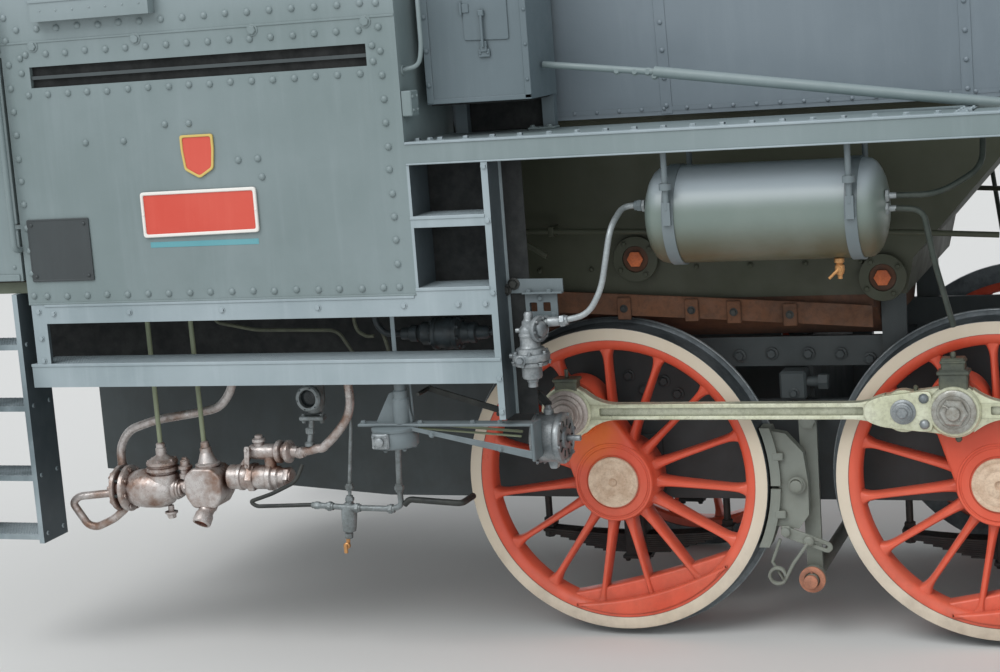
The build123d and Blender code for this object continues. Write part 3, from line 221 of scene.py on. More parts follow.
def prism(outline, plane, low, high, mat=0, edge=0.0, holes=(), steps=2, smooth=False):
    # outline and holes extruded between two heights, edges rounded; plane names their directions, as "xz"
    low, high = sorted((low, high))
    i, j = "xyz".index(plane[0]), "xyz".index(plane[1])
    k = 3 - i - j
    loops = [np.asarray(outline, float)] + [np.asarray(h, float) for h in holes]
    loops = [p if (signedArea(p) > 0) == (n == 0) else p[::-1] for n, p in enumerate(loops)]
    turn = np.linspace(0, np.pi / 2, steps) if edge else np.array([np.pi / 2])
    rows = [(edge * (1 - math.sin(t)), low + edge * (1 - math.cos(t))) for t in turn]
    rows += [(inset, low + high - height) for inset, height in rows[::-1]]
    flat = np.concatenate(loops)
    fill = np.array(tessellate_polygon([[Vector((a, b, 0)) for a, b in p] for p in loops]))
    tri = flat[fill]
    spin = np.cross(tri[:, 1] - tri[:, 0], tri[:, 2] - tri[:, 0])
    fill = np.where(spin[:, None] > 0, fill, fill[:, ::-1])
    total = len(flat)
    v = np.zeros((len(rows), total, 3))
    for row, (inset, height) in enumerate(rows):
        moved2 = np.concatenate([insetLoop(p, inset) for p in loops]) if inset else flat
        v[row, :, i], v[row, :, j], v[row, :, k] = moved2[:, 0], moved2[:, 1], height
    quads = []
    start = 0
    for p in loops:
        q = gridQuads(len(rows), len(p), True)
        quads.append(q // len(p) * total + q % len(p) + start)
        start += len(p)
    quads = np.concatenate(quads)
    right = (j - i) % 3 == 1
    last = (len(rows) - 1) * total
    tris = np.concatenate([fill[:, ::-1] if right else fill, (fill if right else fill[:, ::-1]) + last])
    return shape(v.reshape(-1, 3), quads if right else quads[:, ::-1], tris, mat, smooth)


def roundCorners(points, radius, steps=5):
    # a closed outline whose corners become quadratic curves; radius is one number or one for each point
    p = np.asarray(points, float)
    radius = np.broadcast_to(np.asarray(radius, float), (len(p),))
    out = []
    for a, b, c, r in zip(np.roll(p, 1, 0), p, np.roll(p, -1, 0), radius):
        if r <= 0:
            out.append(b)
            continue
        ab, bc = b - a, c - b
        la, lb = np.linalg.norm(ab), np.linalg.norm(bc)
        s, e = b - ab * min(r, 0.48 * la) / la, b + bc * min(r, 0.48 * lb) / lb
        out += [(1 - t) ** 2 * s + 2 * t * (1 - t) * b + t ** 2 * e for t in np.linspace(0, 1, steps)]
    return np.array(out)


def circleLoop(x, z, radius, segments=24, start=0.0, end=360.0):
    full = abs(end - start) >= 360
    a = np.radians(np.linspace(start, end, segments, endpoint=not full))
    return np.stack([x + radius * np.cos(a), z + radius * np.sin(a)], -1)


def hullOutline(a, ra, b, rb, segments=20):
    # the belt round two circles: each keeps the arc on its far side
    (ax, az), (bx, bz) = a, b
    reach = math.hypot(bx - ax, bz - az)
    turn = math.degrees(math.atan2(bz - az, bx - ax))
    open_ = math.degrees(math.acos(max(-1.0, min(1.0, (ra - rb) / reach))))
    return np.concatenate([circleLoop(ax, az, ra, segments, turn + open_, turn + 360 - open_),
            circleLoop(bx, bz, rb, segments, turn - open_, turn + open_)])


def scatter(template, points, axes, spin=0.0):
    # copies of a template, drawn about the origin with its axis along z, at each point and along each axis
    points = np.atleast_2d(np.asarray(points, float))
    axes = np.broadcast_to(np.asarray(axes, float), points.shape)
    side, up, ax = frameOf(axes)
    spin = np.broadcast_to(np.asarray(spin, float), (len(points),))[:, None]
    s2 = side * np.cos(spin) + up * np.sin(spin)
    u2 = np.cross(ax, s2)
    tv = template["v"][None]
    v = points[:, None] + tv[..., :1] * s2[:, None] + tv[..., 1:2] * u2[:, None] + tv[..., 2:] * ax[:, None]
    m = len(template["v"])
    step = (np.arange(len(points)) * m)[:, None, None]
    return shape(v.reshape(-1, 3), (template["q"][None] + step).reshape(-1, 4),
        (template["t"][None] + step).reshape(-1, 3), template["mat"], template["smooth"])


def moved(s, x=0.0, y=0.0, z=0.0):
    return dict(s, v=s["v"] + np.array([x, y, z]))


def mirrored(s):
    # the same shape on the other side of the engine, with its faces turned to point outwards
    return dict(s, v=s["v"] * np.array([1, -1, 1]), q=s["q"][:, ::-1], t=s["t"][:, ::-1])


def turnedXZ(s, degrees, x=0.0, z=0.0):
    # turned by an angle from x towards z, then moved
    a = math.radians(degrees)
    v = s["v"]
    w = np.stack([v[:, 0] * math.cos(a) - v[:, 2] * math.sin(a) + x, v[:, 1],
            v[:, 0] * math.sin(a) + v[:, 2] * math.cos(a) + z], -1)
    return dict(s, v=w)


def makePiece(name, shapes, materials, body="root", replaces=(), both=False):
    # joins the shapes into one mesh; both adds the mirror of each
    shapes = list(shapes)
    if both:
        shapes += [mirrored(s) for s in shapes]
    count = np.cumsum([0] + [len(s["v"]) for s in shapes])
    verts = np.concatenate([s["v"] for s in shapes]) - np.array([engine["midX"], 0, 0])
    quads = np.concatenate([s["q"] + c for s, c in zip(shapes, count)])
    tris = np.concatenate([s["t"] + c for s, c in zip(shapes, count)])
    matQ = np.concatenate([np.full(len(s["q"]), s["mat"]) for s in shapes])
    matT = np.concatenate([np.full(len(s["t"]), s["mat"]) for s in shapes])
    smoothQ = np.concatenate([np.full(len(s["q"]), s["smooth"]) for s in shapes])
    smoothT = np.concatenate([np.full(len(s["t"]), s["smooth"]) for s in shapes])
    mesh = bpy.data.meshes.new(name)
    mesh.vertices.add(len(verts))
    mesh.vertices.foreach_set("co", verts.ravel())
    loops = np.concatenate([quads.ravel(), tris.ravel()])
    mesh.loops.add(len(loops))
    mesh.loops.foreach_set("vertex_index", loops)
    sizes = np.concatenate([np.full(len(quads), 4), np.full(len(tris), 3)])
    mesh.polygons.add(len(sizes))
    mesh.polygons.foreach_set("loop_start", np.concatenate([[0], np.cumsum(sizes)[:-1]]))
    mesh.polygons.foreach_set("material_index", np.concatenate([matQ, matT]))
    mesh.polygons.foreach_set("use_smooth", np.concatenate([smoothQ, smoothT]).astype(bool))
    for m in materials if isinstance(materials, (list, tuple)) else [materials]:
        mesh.materials.append(m)
    mesh.update(calc_edges=True)
    mesh.validate()
    mesh.set_sharp_from_angle(angle=math.radians(35))
    piece = bpy.data.objects.new(name, mesh)
    scene.collection.objects.link(piece)
    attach(piece, body)
    if replaces:
        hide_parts(*replaces)
    return piece


# Materials. Colours are written as they look, 0 to 255; Nodes.give turns them into linear values.
def tone(colour):
    c = np.array(colour) / 255
    c = np.where(c <= 0.04045, c / 12.92, ((c + 0.055) / 1.055) ** 2.4)
    return (float(c[0]), float(c[1]), float(c[2]), 1.0)


class Nodes:
    # a small helper that adds nodes to one material and links them
    def __init__(self, name):
        self.mat = bpy.data.materials.new(name)
        self.mat.use_nodes = True
        self.tree = self.mat.node_tree
        self.shader = self.tree.nodes["Principled BSDF"]
        self.coords = self.tree.nodes.new("ShaderNodeTexCoord").outputs["Object"]

    def add(self, kind, **values):
        node = self.tree.nodes.new(kind)
        for key, value in values.items():
            setattr(node, key, value)
        return node

    def link(self, a, b):
        self.tree.links.new(a, b)

    def give(self, socket, value):
        # a number, a colour or another node's output
        if isinstance(value, (int, float, tuple)):
            socket.default_value = tone(value) if isinstance(value, tuple) else value
        else:
            self.link(value, socket)

    def stretch(self, scale):
        node = self.add("ShaderNodeMapping")
        node.inputs["Scale"].default_value = scale
        self.link(self.coords, node.inputs["Vector"])
        return node.outputs["Vector"]

    def noise(self, scale, detail=4.0, rough=0.55, vector=None):
        node = self.add("ShaderNodeTexNoise")
        node.inputs["Scale"].default_value = scale
        node.inputs["Detail"].default_value = detail
        node.inputs["Roughness"].default_value = rough
        self.link(vector or self.coords, node.inputs["Vector"])
        return node.outputs["Fac"]

    def ramp(self, value, low, high, out0=0.0, out1=1.0):
        node = self.add("ShaderNodeMapRange")
        node.interpolation_type = "SMOOTHSTEP"
        for key, number in (("From Min", low), ("From Max", high), ("To Min", out0), ("To Max", out1)):
            node.inputs[key].default_value = number
        self.link(value, node.inputs["Value"])
        return node.outputs["Result"]

    def height(self, low, high, out0=0.0, out1=1.0):
        split = self.add("ShaderNodeSeparateXYZ")
        self.link(self.coords, split.inputs["Vector"])
        return self.ramp(split.outputs["Z"], low, high, out0, out1)

    def math(self, operation, a, b):
        node = self.add("ShaderNodeMath", operation=operation)
        for socket, value in zip(node.inputs, (a, b)):
            self.give(socket, value)
        return node.outputs["Value"]

    def mix(self, amount, a, b):
        node = self.add("ShaderNodeMix", data_type="RGBA")
        for key, value in ((0, amount), (6, a), (7, b)):
            self.give(node.inputs[key], value)
        return node.outputs[2]

    def up(self, low=0.3, high=0.9):
        # 1 on faces that look up, 0 on walls
        geometry = self.add("ShaderNodeNewGeometry")
        split = self.add("ShaderNodeSeparateXYZ")
        self.link(geometry.outputs["Normal"], split.inputs["Vector"])
        return self.ramp(split.outputs["Z"], low, high)

    def crevice(self, distance=0.06):
        # 1 in corners and behind things, from ambient occlusion; colour darkened by it there is painted
        # shade together with dirt
        node = self.add("ShaderNodeAmbientOcclusion", samples=4)
        node.inputs["Distance"].default_value = distance
        return self.ramp(node.outputs["AO"], 0.35, 0.95, 1.0, 0.0)

    def bump(self, height, distance, strength=1.0, after=None):
        node = self.add("ShaderNodeBump")
        node.inputs["Strength"].default_value = strength
        node.inputs["Distance"].default_value = distance
        self.link(height, node.inputs["Height"])
        if after is not None:
            self.link(after, node.inputs["Normal"])
        return node.outputs["Normal"]

    def finish(self, colour, roughness, metallic=0.0, normal=None):
        for key, value in (("Base Color", colour), ("Roughness", roughness), ("Metallic", metallic)):
            self.give(self.shader.inputs[key], value)
        if normal is not None:
            self.link(normal, self.shader.inputs["Normal"])
        return self.mat


def paintedPlate(name, base, light, dirtAndShade, roughness=0.42, dents=0.0012, dirtTop=0.5, dirtBottom=2.2,
        specks=0.6, stain=None, forwardShade=None):
    # paint over plate: soft tone changes, rain streaks, chips, dirt low down; darkening in corners and
    # behind things, painted shade together with dirt; faces that look up and parts high up turn lighter,
    # painted sky light; a stain is a place, its inner and outer radius and its tone; the last tone, if
    # given, is painted shade on faces that look forwards
    n = Nodes(name)
    broad = n.ramp(n.noise(1.3, 5), 0.3, 0.7)
    streak = n.ramp(n.noise(3.0, 6, 0.6, n.stretch((6, 6, 0.5))), 0.45, 0.75)
    colour = n.mix(n.math("MULTIPLY", broad, 0.35), base, light)
    colour = n.mix(n.math("MULTIPLY", streak, 0.16), colour, light)
    low = n.math("MULTIPLY", n.height(dirtTop, dirtBottom, 1.0, 0.0),
        n.ramp(n.noise(5.0, 6, 0.65), 0.35, 0.75))
    # darkening in corners and behind things: painted shade, with dirt
    corner = n.math("MULTIPLY", n.crevice(), n.ramp(n.noise(14.0, 5), 0.2, 0.7, 0.35, 1.0))
    colour = n.mix(n.math("MULTIPLY", low, 0.45), colour, dirtAndShade)
    colour = n.mix(n.math("MULTIPLY", corner, 0.5), colour, dirtAndShade)
    # faces that look up turn lighter: painted sky light
    colour = n.mix(n.math("MULTIPLY", n.up(), 0.22), colour, light)
    # paint higher than 2.78 m turns lighter: painted sky reflection
    colour = n.mix(n.height(2.78, 3.0, 0.0, 0.6), colour, light)
    if stain:
        away = n.add("ShaderNodeVectorMath", operation="DISTANCE")
        n.link(n.coords, away.inputs[0])
        away.inputs[1].default_value = stain[0]
        near = n.ramp(away.outputs["Value"], stain[1], stain[2], 1.0, 0.0)
        colour = n.mix(n.math("MULTIPLY", near, n.ramp(n.noise(9.0, 6), 0.3, 0.6, 0.55, 1.0)), colour,
            stain[3])
    # faces that look forwards darken to the given tone: painted shade
    if forwardShade:
        facing = n.add("ShaderNodeSeparateXYZ")
        n.link(n.add("ShaderNodeNewGeometry").outputs["Normal"], facing.inputs["Vector"])
        colour = n.mix(n.ramp(facing.outputs["X"], 0.6, 0.95, 0.0, 0.85), colour, forwardShade)
    chip = n.ramp(n.noise(95.0, 3, 0.7), 0.735, 0.775)
    chip = n.math("MULTIPLY", chip, n.math("MULTIPLY", n.ramp(n.noise(2.2, 3), 0.45, 0.65), specks))
    colour = n.mix(chip, colour, (196, 204, 202))
    rough = n.ramp(n.noise(9.0, 6), 0.2, 0.8, roughness - 0.08, roughness + 0.14)
    waves = n.bump(n.noise(2.6, 2, 0.4), dents * 6, 0.5)
    grain = n.bump(n.noise(130.0, 4, 0.6), 0.0012, 0.35, waves)
    return n.finish(colour, rough, 0.0, grain)


def oldMetal(name, base, other, dirtAndShade, metallic, roughness, scale=6.0, grain=0.0015, cornerShadeAndDirt=0.6):
    # bare metal with patches of a second tone, fine dirt, and darkening in its corners that is painted
    # shade together with dirt
    n = Nodes(name)
    patch = n.ramp(n.noise(scale, 7, 0.62), 0.38, 0.66)
    fine = n.ramp(n.noise(scale * 9, 5, 0.7), 0.4, 0.72)
    colour = n.mix(patch, base, other)
    colour = n.mix(n.math("MULTIPLY", fine, 0.35), colour, dirtAndShade)
    # corners and places behind things darken: painted shade, with dirt
    colour = n.mix(n.math("MULTIPLY", n.crevice(0.05), cornerShadeAndDirt), colour, dirtAndShade)
    rough = n.ramp(n.noise(scale * 3, 6), 0.25, 0.75, roughness - 0.1, roughness + 0.18)
    shine = n.math("MULTIPLY", n.ramp(fine, 0.0, 1.0, 1.0, 0.55), metallic)
    return n.finish(colour, rough, shine, n.bump(n.noise(scale * 14, 5, 0.65), grain, 0.5))


greyPaint = paintedPlate("Grey plate paint", (118, 133, 134), (150, 163, 167), (70, 76, 72))
boilerPaint = paintedPlate("Boiler sheet paint", (112, 124, 132), (140, 152, 160), (64, 70, 68), 0.46)
# its last tone is painted shade on faces that look forwards; the stain makes the paint darker round the
# rear ladder
stepPaint = paintedPlate("Step paint", (136, 151, 156), (190, 202, 208), (84, 90, 90), 0.44, 0.0006, 0.4,
    1.2, 0.6, ((-7.3, -1.4, 1.1), 0.45, 0.7, (90, 104, 109)), (44, 53, 58))
fittingPaint = paintedPlate("Bracket paint", (102, 114, 118), (138, 149, 153), (60, 66, 66), 0.45, 0.0006)
# a darker copy of the grey paint for the locker: painted shade
lockerShadedPaint = paintedPlate("Locker paint in shade", (94, 108, 114), (122, 136, 142), (58, 64, 64), 0.46)
brakePaint = paintedPlate("Brake paint", (120, 126, 120), (150, 154, 142), (78, 72, 58), 0.55, 0.0008, 0.1,
    1.3, 0.2)
smokePaint = paintedPlate("Smokebox paint", (62, 68, 70), (88, 95, 98), (40, 42, 41), 0.52)
framePaint = paintedPlate("Frame paint", (62, 70, 72), (86, 94, 96), (44, 42, 36), 0.5, 0.0008, 0.2, 1.8,
    0.2)
oliveSheet = paintedPlate("Firebox side", (56, 60, 45), (70, 75, 60), (42, 38, 28), 0.6, 0.0015, 1.2, 2.3,
    0.1)
darkInside = paintedPlate("Cab inside paint", (92, 100, 84), (112, 120, 104), (50, 50, 42), 0.55)
rustyPan = oldMetal("Rusty ashpan", (96, 62, 42), (72, 50, 38), (40, 32, 28), 0.0, 0.8, 3.0)
redTones = ((218, 82, 56), (238, 132, 106), (122, 66, 48))
wheelRed = paintedPlate("Wheel red", *redTones, 0.38, 0.0006, 0.0, 1.1, 0.35)
greasedRed = paintedPlate("Wheel red with grease", *redTones, 0.34, 0.0006, 0.0, 1.1, 0.35,
    ((-4.385, -0.86, 0.93), 0.07, 0.19, (226, 108, 40)))
tyreSteel = oldMetal("Tyre tread", (120, 128, 132), (84, 92, 96), (46, 48, 48), 0.5, 0.42, 5.0)
tyreCream = paintedPlate("Tyre side paint", (214, 200, 178), (228, 220, 206), (120, 104, 88), 0.5, 0.0004,
    0.0, 0.8, 0.1)
brightSteel = oldMetal("Greased rod steel", (228, 231, 208), (206, 209, 180), (112, 108, 84), 0.35, 0.34,
    5.0, 0.0006, 0.5)
fluteSteel = oldMetal("Rod flute", (208, 211, 190), (180, 184, 162), (86, 86, 70), 0.35, 0.45, 7.0)
pinSteel = oldMetal("Crank pin steel", (186, 188, 182), (150, 146, 136), (84, 76, 66), 0.5, 0.36, 16.0)
silverPaint = oldMetal("Silvered fitting", (168, 174, 176), (128, 136, 140), (60, 62, 62), 0.6, 0.4, 12.0)
castBronze = oldMetal("Worn bronze", (166, 138, 118), (132, 118, 108), (66, 54, 46), 0.5, 0.46, 11.0)
brassTap = oldMetal("Brass tap", (214, 160, 104), (186, 140, 92), (96, 70, 46), 0.7, 0.4, 15.0, 0.0008, 0.3)
darkGrease = oldMetal("Greasy black iron", (46, 50, 50), (66, 68, 64), (24, 24, 22), 0.3, 0.5, 10.0)
tank = Nodes("Tank paint")
# darker and browner towards the bottom
tankTone = tank.mix(tank.height(1.76, 1.92), (86, 81, 58), (112, 126, 120))
tankTone = tank.mix(tank.math("MULTIPLY", tank.ramp(tank.noise(3.0, 6), 0.35, 0.7), 0.25), tankTone,
    (140, 150, 144))
# faces that look up turn much lighter: painted sky reflection
tankTone = tank.mix(tank.math("MULTIPLY", tank.up(0.1, 0.75), 0.85), tankTone, (184, 196, 204))
tankPaint = tank.finish(tankTone, 0.34, 0.0, tank.bump(tank.noise(40.0, 4), 0.0008, 0.4))
# near-black sheets put into gaps and behind parts: painted shade
deepShade = oldMetal("Painted shade sheet", (30, 33, 34), (40, 43, 43), (18, 18, 17), 0.0, 0.8, 7.0)
lampGlass = Nodes("Lamp glass").finish((226, 228, 220), 0.08)
print("materials made")

# CAD nodes that keep their own shape, each with its finish and a slot name.
nodeFinish = (
    (greyPaint, "grey_paint", "cab_side_right cab_side_left cab_front cab_rear cab_roof cab_door_left"),
    (greyPaint, "grey_paint", "cab_door_right running_boards smoke_deflectors reversing_rod domes"),
    (greyPaint, "grey_paint", "safety_valves boiler_handrails"),
    (boilerPaint, "grey_paint", "boiler_barrel firebox_cladding"),
    (tankPaint, "grey_paint", "air_tanks"),
    (stepPaint, "grey_paint", "side_steps"),
    (lockerShadedPaint, "grey_paint", "locker"),
    (fittingPaint, "grey_paint", "board_brackets"),
    (brakePaint, "frame_paint", "brake_gear"),
    (smokePaint, "black_paint", "smokebox smokebox_door chimney smokebox_saddle steam_pipes cylinders"),
    (smokePaint, "black_paint", "air_pump head_lamps"),
    (framePaint, "frame_paint", "frame_plates frame_stays drag_box buffer_beam buffers draw_hook"),
    (framePaint, "frame_paint", "pony_frame axle_boxes leaf_springs motion_brackets"),
    (oliveSheet, "grey_paint", "firebox_shell"),
    (rustyPan, "rusty_iron", "ashpan"),
    (darkInside, "grey_paint", "cab_floor"),
    (darkGrease, "black_paint", "backhead"),
    (silverPaint, "black_paint", "feed_valve speed_drive"),
    (wheelRed, "wheel_red", "pony_wheelset wheelset_1 wheelset_2 wheelset_3 wheelset_4 wheelset_5"),
    (brightSteel, "bright_steel", "coupling_rods_left coupling_rods_right main_rods crossheads"),
    (brightSteel, "bright_steel", "slide_bars valve_gear"),
    (castBronze, "worn_bronze", "injectors"),
)
for finish, slotName, names in nodeFinish:
    for name in names.split():
        nodes[name].data.materials.clear()
        nodes[name].data.materials.append(finish)


# Small things that repeat.
small = dict(rivetR=0.0155, boltR=0.016, wobble=0.0015)


def rivetHead(radius, high):
    # a low dome: profile radius r cos(t), height h sin(t)
    t = np.radians([0, 28, 58])
    profile = np.stack([radius * np.cos(t), high * np.sin(t)], -1)
    profile = np.concatenate([[[radius, -0.002]], profile, [[0.12 * radius, high]]])
    s = lathe(profile, zero, above, 9)
    return s


def hexHead(radius, high):
    # a hexagon nut or bolt head with a chamfered top, on a washer
    head = lathe([(radius, 0.0), (radius, high * 0.8), (radius * 0.84, high)], zero, above, 6, smooth=False)
    washer = radius * 1.35
    disc = lathe([(washer, -0.001), (washer, high * 0.22), (washer * 0.9, high * 0.3)], zero, above, 14)
    return joined([head, disc])


def joined(parts):
    # several shapes as one, with the first one's material and shading
    count = np.cumsum([0] + [len(s["v"]) for s in parts])
    return shape(np.concatenate([s["v"] for s in parts]),
        np.concatenate([s["q"] + c for s, c in zip(parts, count)]),
        np.concatenate([s["t"] + c for s, c in zip(parts, count)]), parts[0]["mat"], parts[0]["smooth"])


def rivets(points, normal, radius=None, high=None, mat=0):
    r = radius or small["rivetR"]
    s = scatter(rivetHead(r, high or r * 0.68), points, normal,
        rng.uniform(0, 6, len(np.atleast_2d(points))))
    return dict(s, mat=mat)


def bolts(points, normal, radius=None, high=None, mat=0):
    r = radius or small["boltR"]
    s = scatter(hexHead(r, high or r * 0.9), points, normal, rng.uniform(0, 6, len(np.atleast_2d(points))))
    return dict(s, mat=mat, smooth=False)


def flatRow(start, end, count):
    # evenly spaced points on a line, a little out of true, kept in a plane at right angles to y
    t = np.linspace(0, 1, count)[:, None]
    even = np.asarray(start, float) * (1 - t) + np.asarray(end, float) * t
    p = even + rng.normal(0, small["wobble"], even.shape)
    p[:, 1] = even[:, 1]
    return p


def unionNut(centre, axis, radius, length=0.04, mat=0):
    # a pipe nut: a hexagon between two collars
    c, ax = np.asarray(centre, float), np.asarray(axis, float) / np.linalg.norm(axis)
    nut = hexLathe([(radius * 1.15, -length * 0.3), (radius * 1.35, -length * 0.2),
            (radius * 1.35, length * 0.2), (radius * 1.15, length * 0.3)], c, ax, mat)
    collar = lathe([(radius * 0.95, -length * 0.55), (radius * 1.05, -length * 0.5),
            (radius * 1.05, length * 0.5), (radius * 0.95, length * 0.55)], c, ax, 16, mat)
    return [nut, collar]


# Coupled wheels: rim, tyre, blade-like spokes, hub, crank boss and balance weight, drawn round the axle
# with the crank along x. Distances from the engine's centre line are d, so a right wheel has y = -d.
wheel = dict(spokes=15, rimInner=0.578, rimOuter=0.626, spokeFront=0.8, hubR=0.178, hubFace=0.85,
    axleEnd=0.861, axleR=0.113, bossR=0.122, bossFace=0.865, weightChord=0.472, drivenChord=0.372,
    weightR=0.612, weightFace=0.828, pinR=0.058)


def blades(count, inner, outer, front, hubDepth, rimDepth, hubHalf, rimHalf):
    # each spoke is a rounded blade: half width w(r) flares at both ends, depth shrinks from hub to rim
    rows, cols = 22, 14
    u = np.linspace(0, 1, rows)
    r = inner + (outer - inner) * u
    half = hubHalf + (rimHalf - hubHalf) * u
    half = half + 0.03 * np.exp(-(outer - r) / 0.022) + 0.018 * np.exp(-(r - inner) / 0.035)
    deep = (hubDepth + (rimDepth - hubDepth) * u) / 2
    a = np.arange(cols) * 2 * np.pi / cols
    c, s = np.cos(a), np.sin(a)
    across = np.sign(c) * np.abs(c) ** 0.62
    along = np.sign(s) * np.abs(s) ** 0.62
    x = np.broadcast_to(r[:, None], (rows, cols))
    z = half[:, None] * across
    y = -(front - deep[:, None] + deep[:, None] * along)
    t = np.arange(count) * 2 * np.pi / count
    ct, st = np.cos(t)[:, None, None], np.sin(t)[:, None, None]
    v = np.stack([x * ct - z * st, np.broadcast_to(y, (count, rows, cols)), x * st + z * ct], -1)
    quads = gridQuads(rows, cols, True)[None] + (np.arange(count) * rows * cols)[:, None, None]
    return shape(v, quads.reshape(-1, 4))


def tyreRings(tread, flange, inner):
    # cream face ring, dark tread and flange with a bright tip, as closed rings round the axle
    face, back = engine["tyreFace"], engine["tyreBack"]
    axis, at = (0, -1, 0), zero
    body = [(inner, face), (tread - 0.008, face), (tread - 0.002, face - 0.003), (tread, face - 0.01),
        (tread + 0.003, back + 0.04), (tread + 0.008, back + 0.03), (flange - 0.01, back + 0.024),
        (flange - 0.002, back + 0.016), (flange, back + 0.01), (flange - 0.003, back + 0.002),
        (flange - 0.012, back), (inner, back)]
    cream = [(inner + 0.001, face - 0.004), (inner + 0.001, face + 0.0012), (tread - 0.007, face + 0.0012),
        (tread - 0.003, face - 0.0012), (tread - 0.004, face - 0.004)]
    tip = [(flange - 0.012, back + 0.0225), (flange - 0.0018, back + 0.0175),
        (flange + 0.0006, back + 0.01), (flange - 0.002, back + 0.002), (flange - 0.01, back + 0.006)]
    return [ringLathe(body, at, axis, 112, 2), ringLathe(cream, at, axis, 112, 1),
        ringLathe(tip, at, axis, 112, 4)]


def balanceWeight(chord, radius, front, back, corner, sag):
    # the part of a disc beyond a chord, away from the crank; the edge sags: x = -(chord + sag (1 - u^2))
    half = math.degrees(math.acos(chord / radius))
    arc = circleLoop(0, 0, radius, 40, 180 - half, 180 + half)
    u = np.linspace(-1, 1, 18)[1:-1]
    inner = np.stack([-(chord + sag * (1 - u ** 2)), u * radius * math.sin(math.radians(half))], -1)
    sizes = np.zeros(len(arc) + len(inner))
    sizes[[0, len(arc) - 1]] = corner
    loop = roundCorners(np.concatenate([arc, inner]), sizes, 7)
    return prism(loop, "xz", -front, -back, 0, 0.01, steps=4, smooth=True)


def wheelShapes(chord, lean):
    # the weight leans a little out of the crank's line
    w = wheel
    axis, at = (0, -1, 0), zero
    rim = [(w["rimOuter"], 0.69), (w["rimOuter"], 0.8175), (0.615, 0.8185), (0.6, 0.812), (0.586, 0.803),
        (w["rimInner"], 0.79), (w["rimInner"], 0.712), (0.59, 0.695)]
    hub = [(0.1, 0.64), (0.176, 0.64), (0.19, 0.66), (0.19, 0.78), (0.182, 0.8), (w["hubR"], 0.82),
        (w["hubR"], 0.842), (0.173, w["hubFace"]), (0.166, w["hubFace"]), (0.162, 0.845), (0.157, 0.845),
        (0.153, w["hubFace"]), (0.122, w["hubFace"]), (0.118, 0.846), (0.1, 0.846)]
    rings = [(w["axleR"], 0.7), (w["axleR"], 0.857), (0.11, w["axleEnd"]), (0.098, w["axleEnd"]),
        (0.095, 0.859), (0.09, 0.859), (0.087, w["axleEnd"]), (0.064, w["axleEnd"]), (0.061, 0.859),
        (0.055, 0.859), (0.052, w["axleEnd"]), (0.02, w["axleEnd"]), (0.012, 0.852), (0.002, 0.851)]
    boss = hullOutline((0, 0), w["hubR"] - 0.006, (engine["crankR"], 0), w["bossR"], 26)
    shapes = [ringLathe(rim, at, axis, 112, 0), lathe(hub, at, axis, 72, 0), lathe(rings, at, axis, 64, 3),
        prism(boss, "xz", -w["bossFace"] + 0.018, -0.7, 0, 0.022, steps=5, smooth=True),
        lathe([(0.128, 0.7), (0.128, 0.85), (0.122, w["bossFace"]), (0.075, w["bossFace"] + 0.002)],
            (engine["crankR"], 0, 0), axis, 40, 0),
        blades(w["spokes"], 0.165, 0.588, w["spokeFront"], 0.112, 0.082, 0.0175, 0.0125),
        turnedXZ(balanceWeight(chord + 0.016, w["weightR"], w["weightFace"], 0.76, 0.036, 0.045), lean, 0,
            0),
        turnedXZ(balanceWeight(chord - 0.03, 0.62, 0.79, 0.7, 0.012, 0.02), lean, 0, 0)]
    return shapes + tyreRings(engine["treadR"], engine["flangeR"], w["rimOuter"] - 0.001)


def pinShapes(number):
    # the crank pin with its collar, nut and split pin; the last axle's pin ends in a stack of worn rings
    w = wheel
    at, axis = (engine["crankR"], 0, 0), aside
    pin = [lathe([(w["pinR"], 0.86), (w["pinR"], 0.964)], at, axis, 32, 5)]
    if number == 5:
        stack = mm2(30, 955, 98, 960, 100, 968, 94, 972, 82, 974, 82, 984, 78, 988, 68, 990, 68, 1000, 64,
            1004, 50, 1006, 50, 1016, 46, 1020, 10, 1020)
        return pin + [lathe(stack, at, axis, 48, 6)]
    if number == 3:
        return pin + [lathe(mm2(40, 960, 76, 962, 76, 980, 70, 985, 10, 985), at, axis, 40, 5)]
    nut = hexLathe(mm2(59, 972, 59, 992, 51, 999), at, axis, 5)
    collar = lathe(mm2(40, 958, 90, 962, 90, 968, 84, 972, 70, 973, 66, 978, 10, 978), at, axis, 48, 5)
    end = lathe(mm2(29, 990, 29, 1010, 25, 1014, 5, 1014), at, axis, 24, 5)
    split = pipe([(at[0] - 0.036, -1.004, -0.01), (at[0] + 0.036, -1.006, 0.008),
            (at[0] + 0.048, -1.003, 0.02)], 0.0035, 0.01, 8, 5)
    return pin + [collar, nut, end, split]


def crankTurn(side):
    # side is -1 on the right, +1 on the left, whose crank leads by a quarter turn
    return engine["crankAngle"] + (90 if side > 0 else 0)


def placedWheel(shapes, x, z, side):
    return [turnedXZ(mirrored(s) if side > 0 else s, crankTurn(side), x, z) for s in shapes]


hubSteel = oldMetal("Turned axle end", (226, 203, 178), (204, 176, 150), (150, 112, 88), 0.08, 0.5, 14.0)
wornRings = oldMetal("Worn bearing rings", (170, 160, 154), (196, 188, 182), (98, 72, 58), 0.45, 0.38, 16.0)
wheelFinish = [wheelRed, tyreCream, tyreSteel, hubSteel, silverPaint, pinSteel, wornRings]
for number, x in axleX.items():
    chord = wheel["drivenChord"] if number == 3 else wheel["weightChord"]
    both = [s for side in (-1, 1) for s in placedWheel(wheelShapes(chord, 10 * side) + pinShapes(number), x,
            engine["wheelZ"], side)]
    both.append(lathe(mm2(96, -700, 88, -600, 88, 600, 96, 700), (x, 0, engine["wheelZ"]), across, 32, 2))
    finish = [greasedRed if number == 5 else wheelRed] + wheelFinish[1:]
    makePiece("coupledWheels%d" % number, both, finish, "axle_%d" % number, ["wheelset_%d" % number])
print("coupled wheels made")


pony = dict(spokes=10, treadR=0.425, flangeR=0.456, rimInner=0.338, rimOuter=0.372, hubR=0.128)


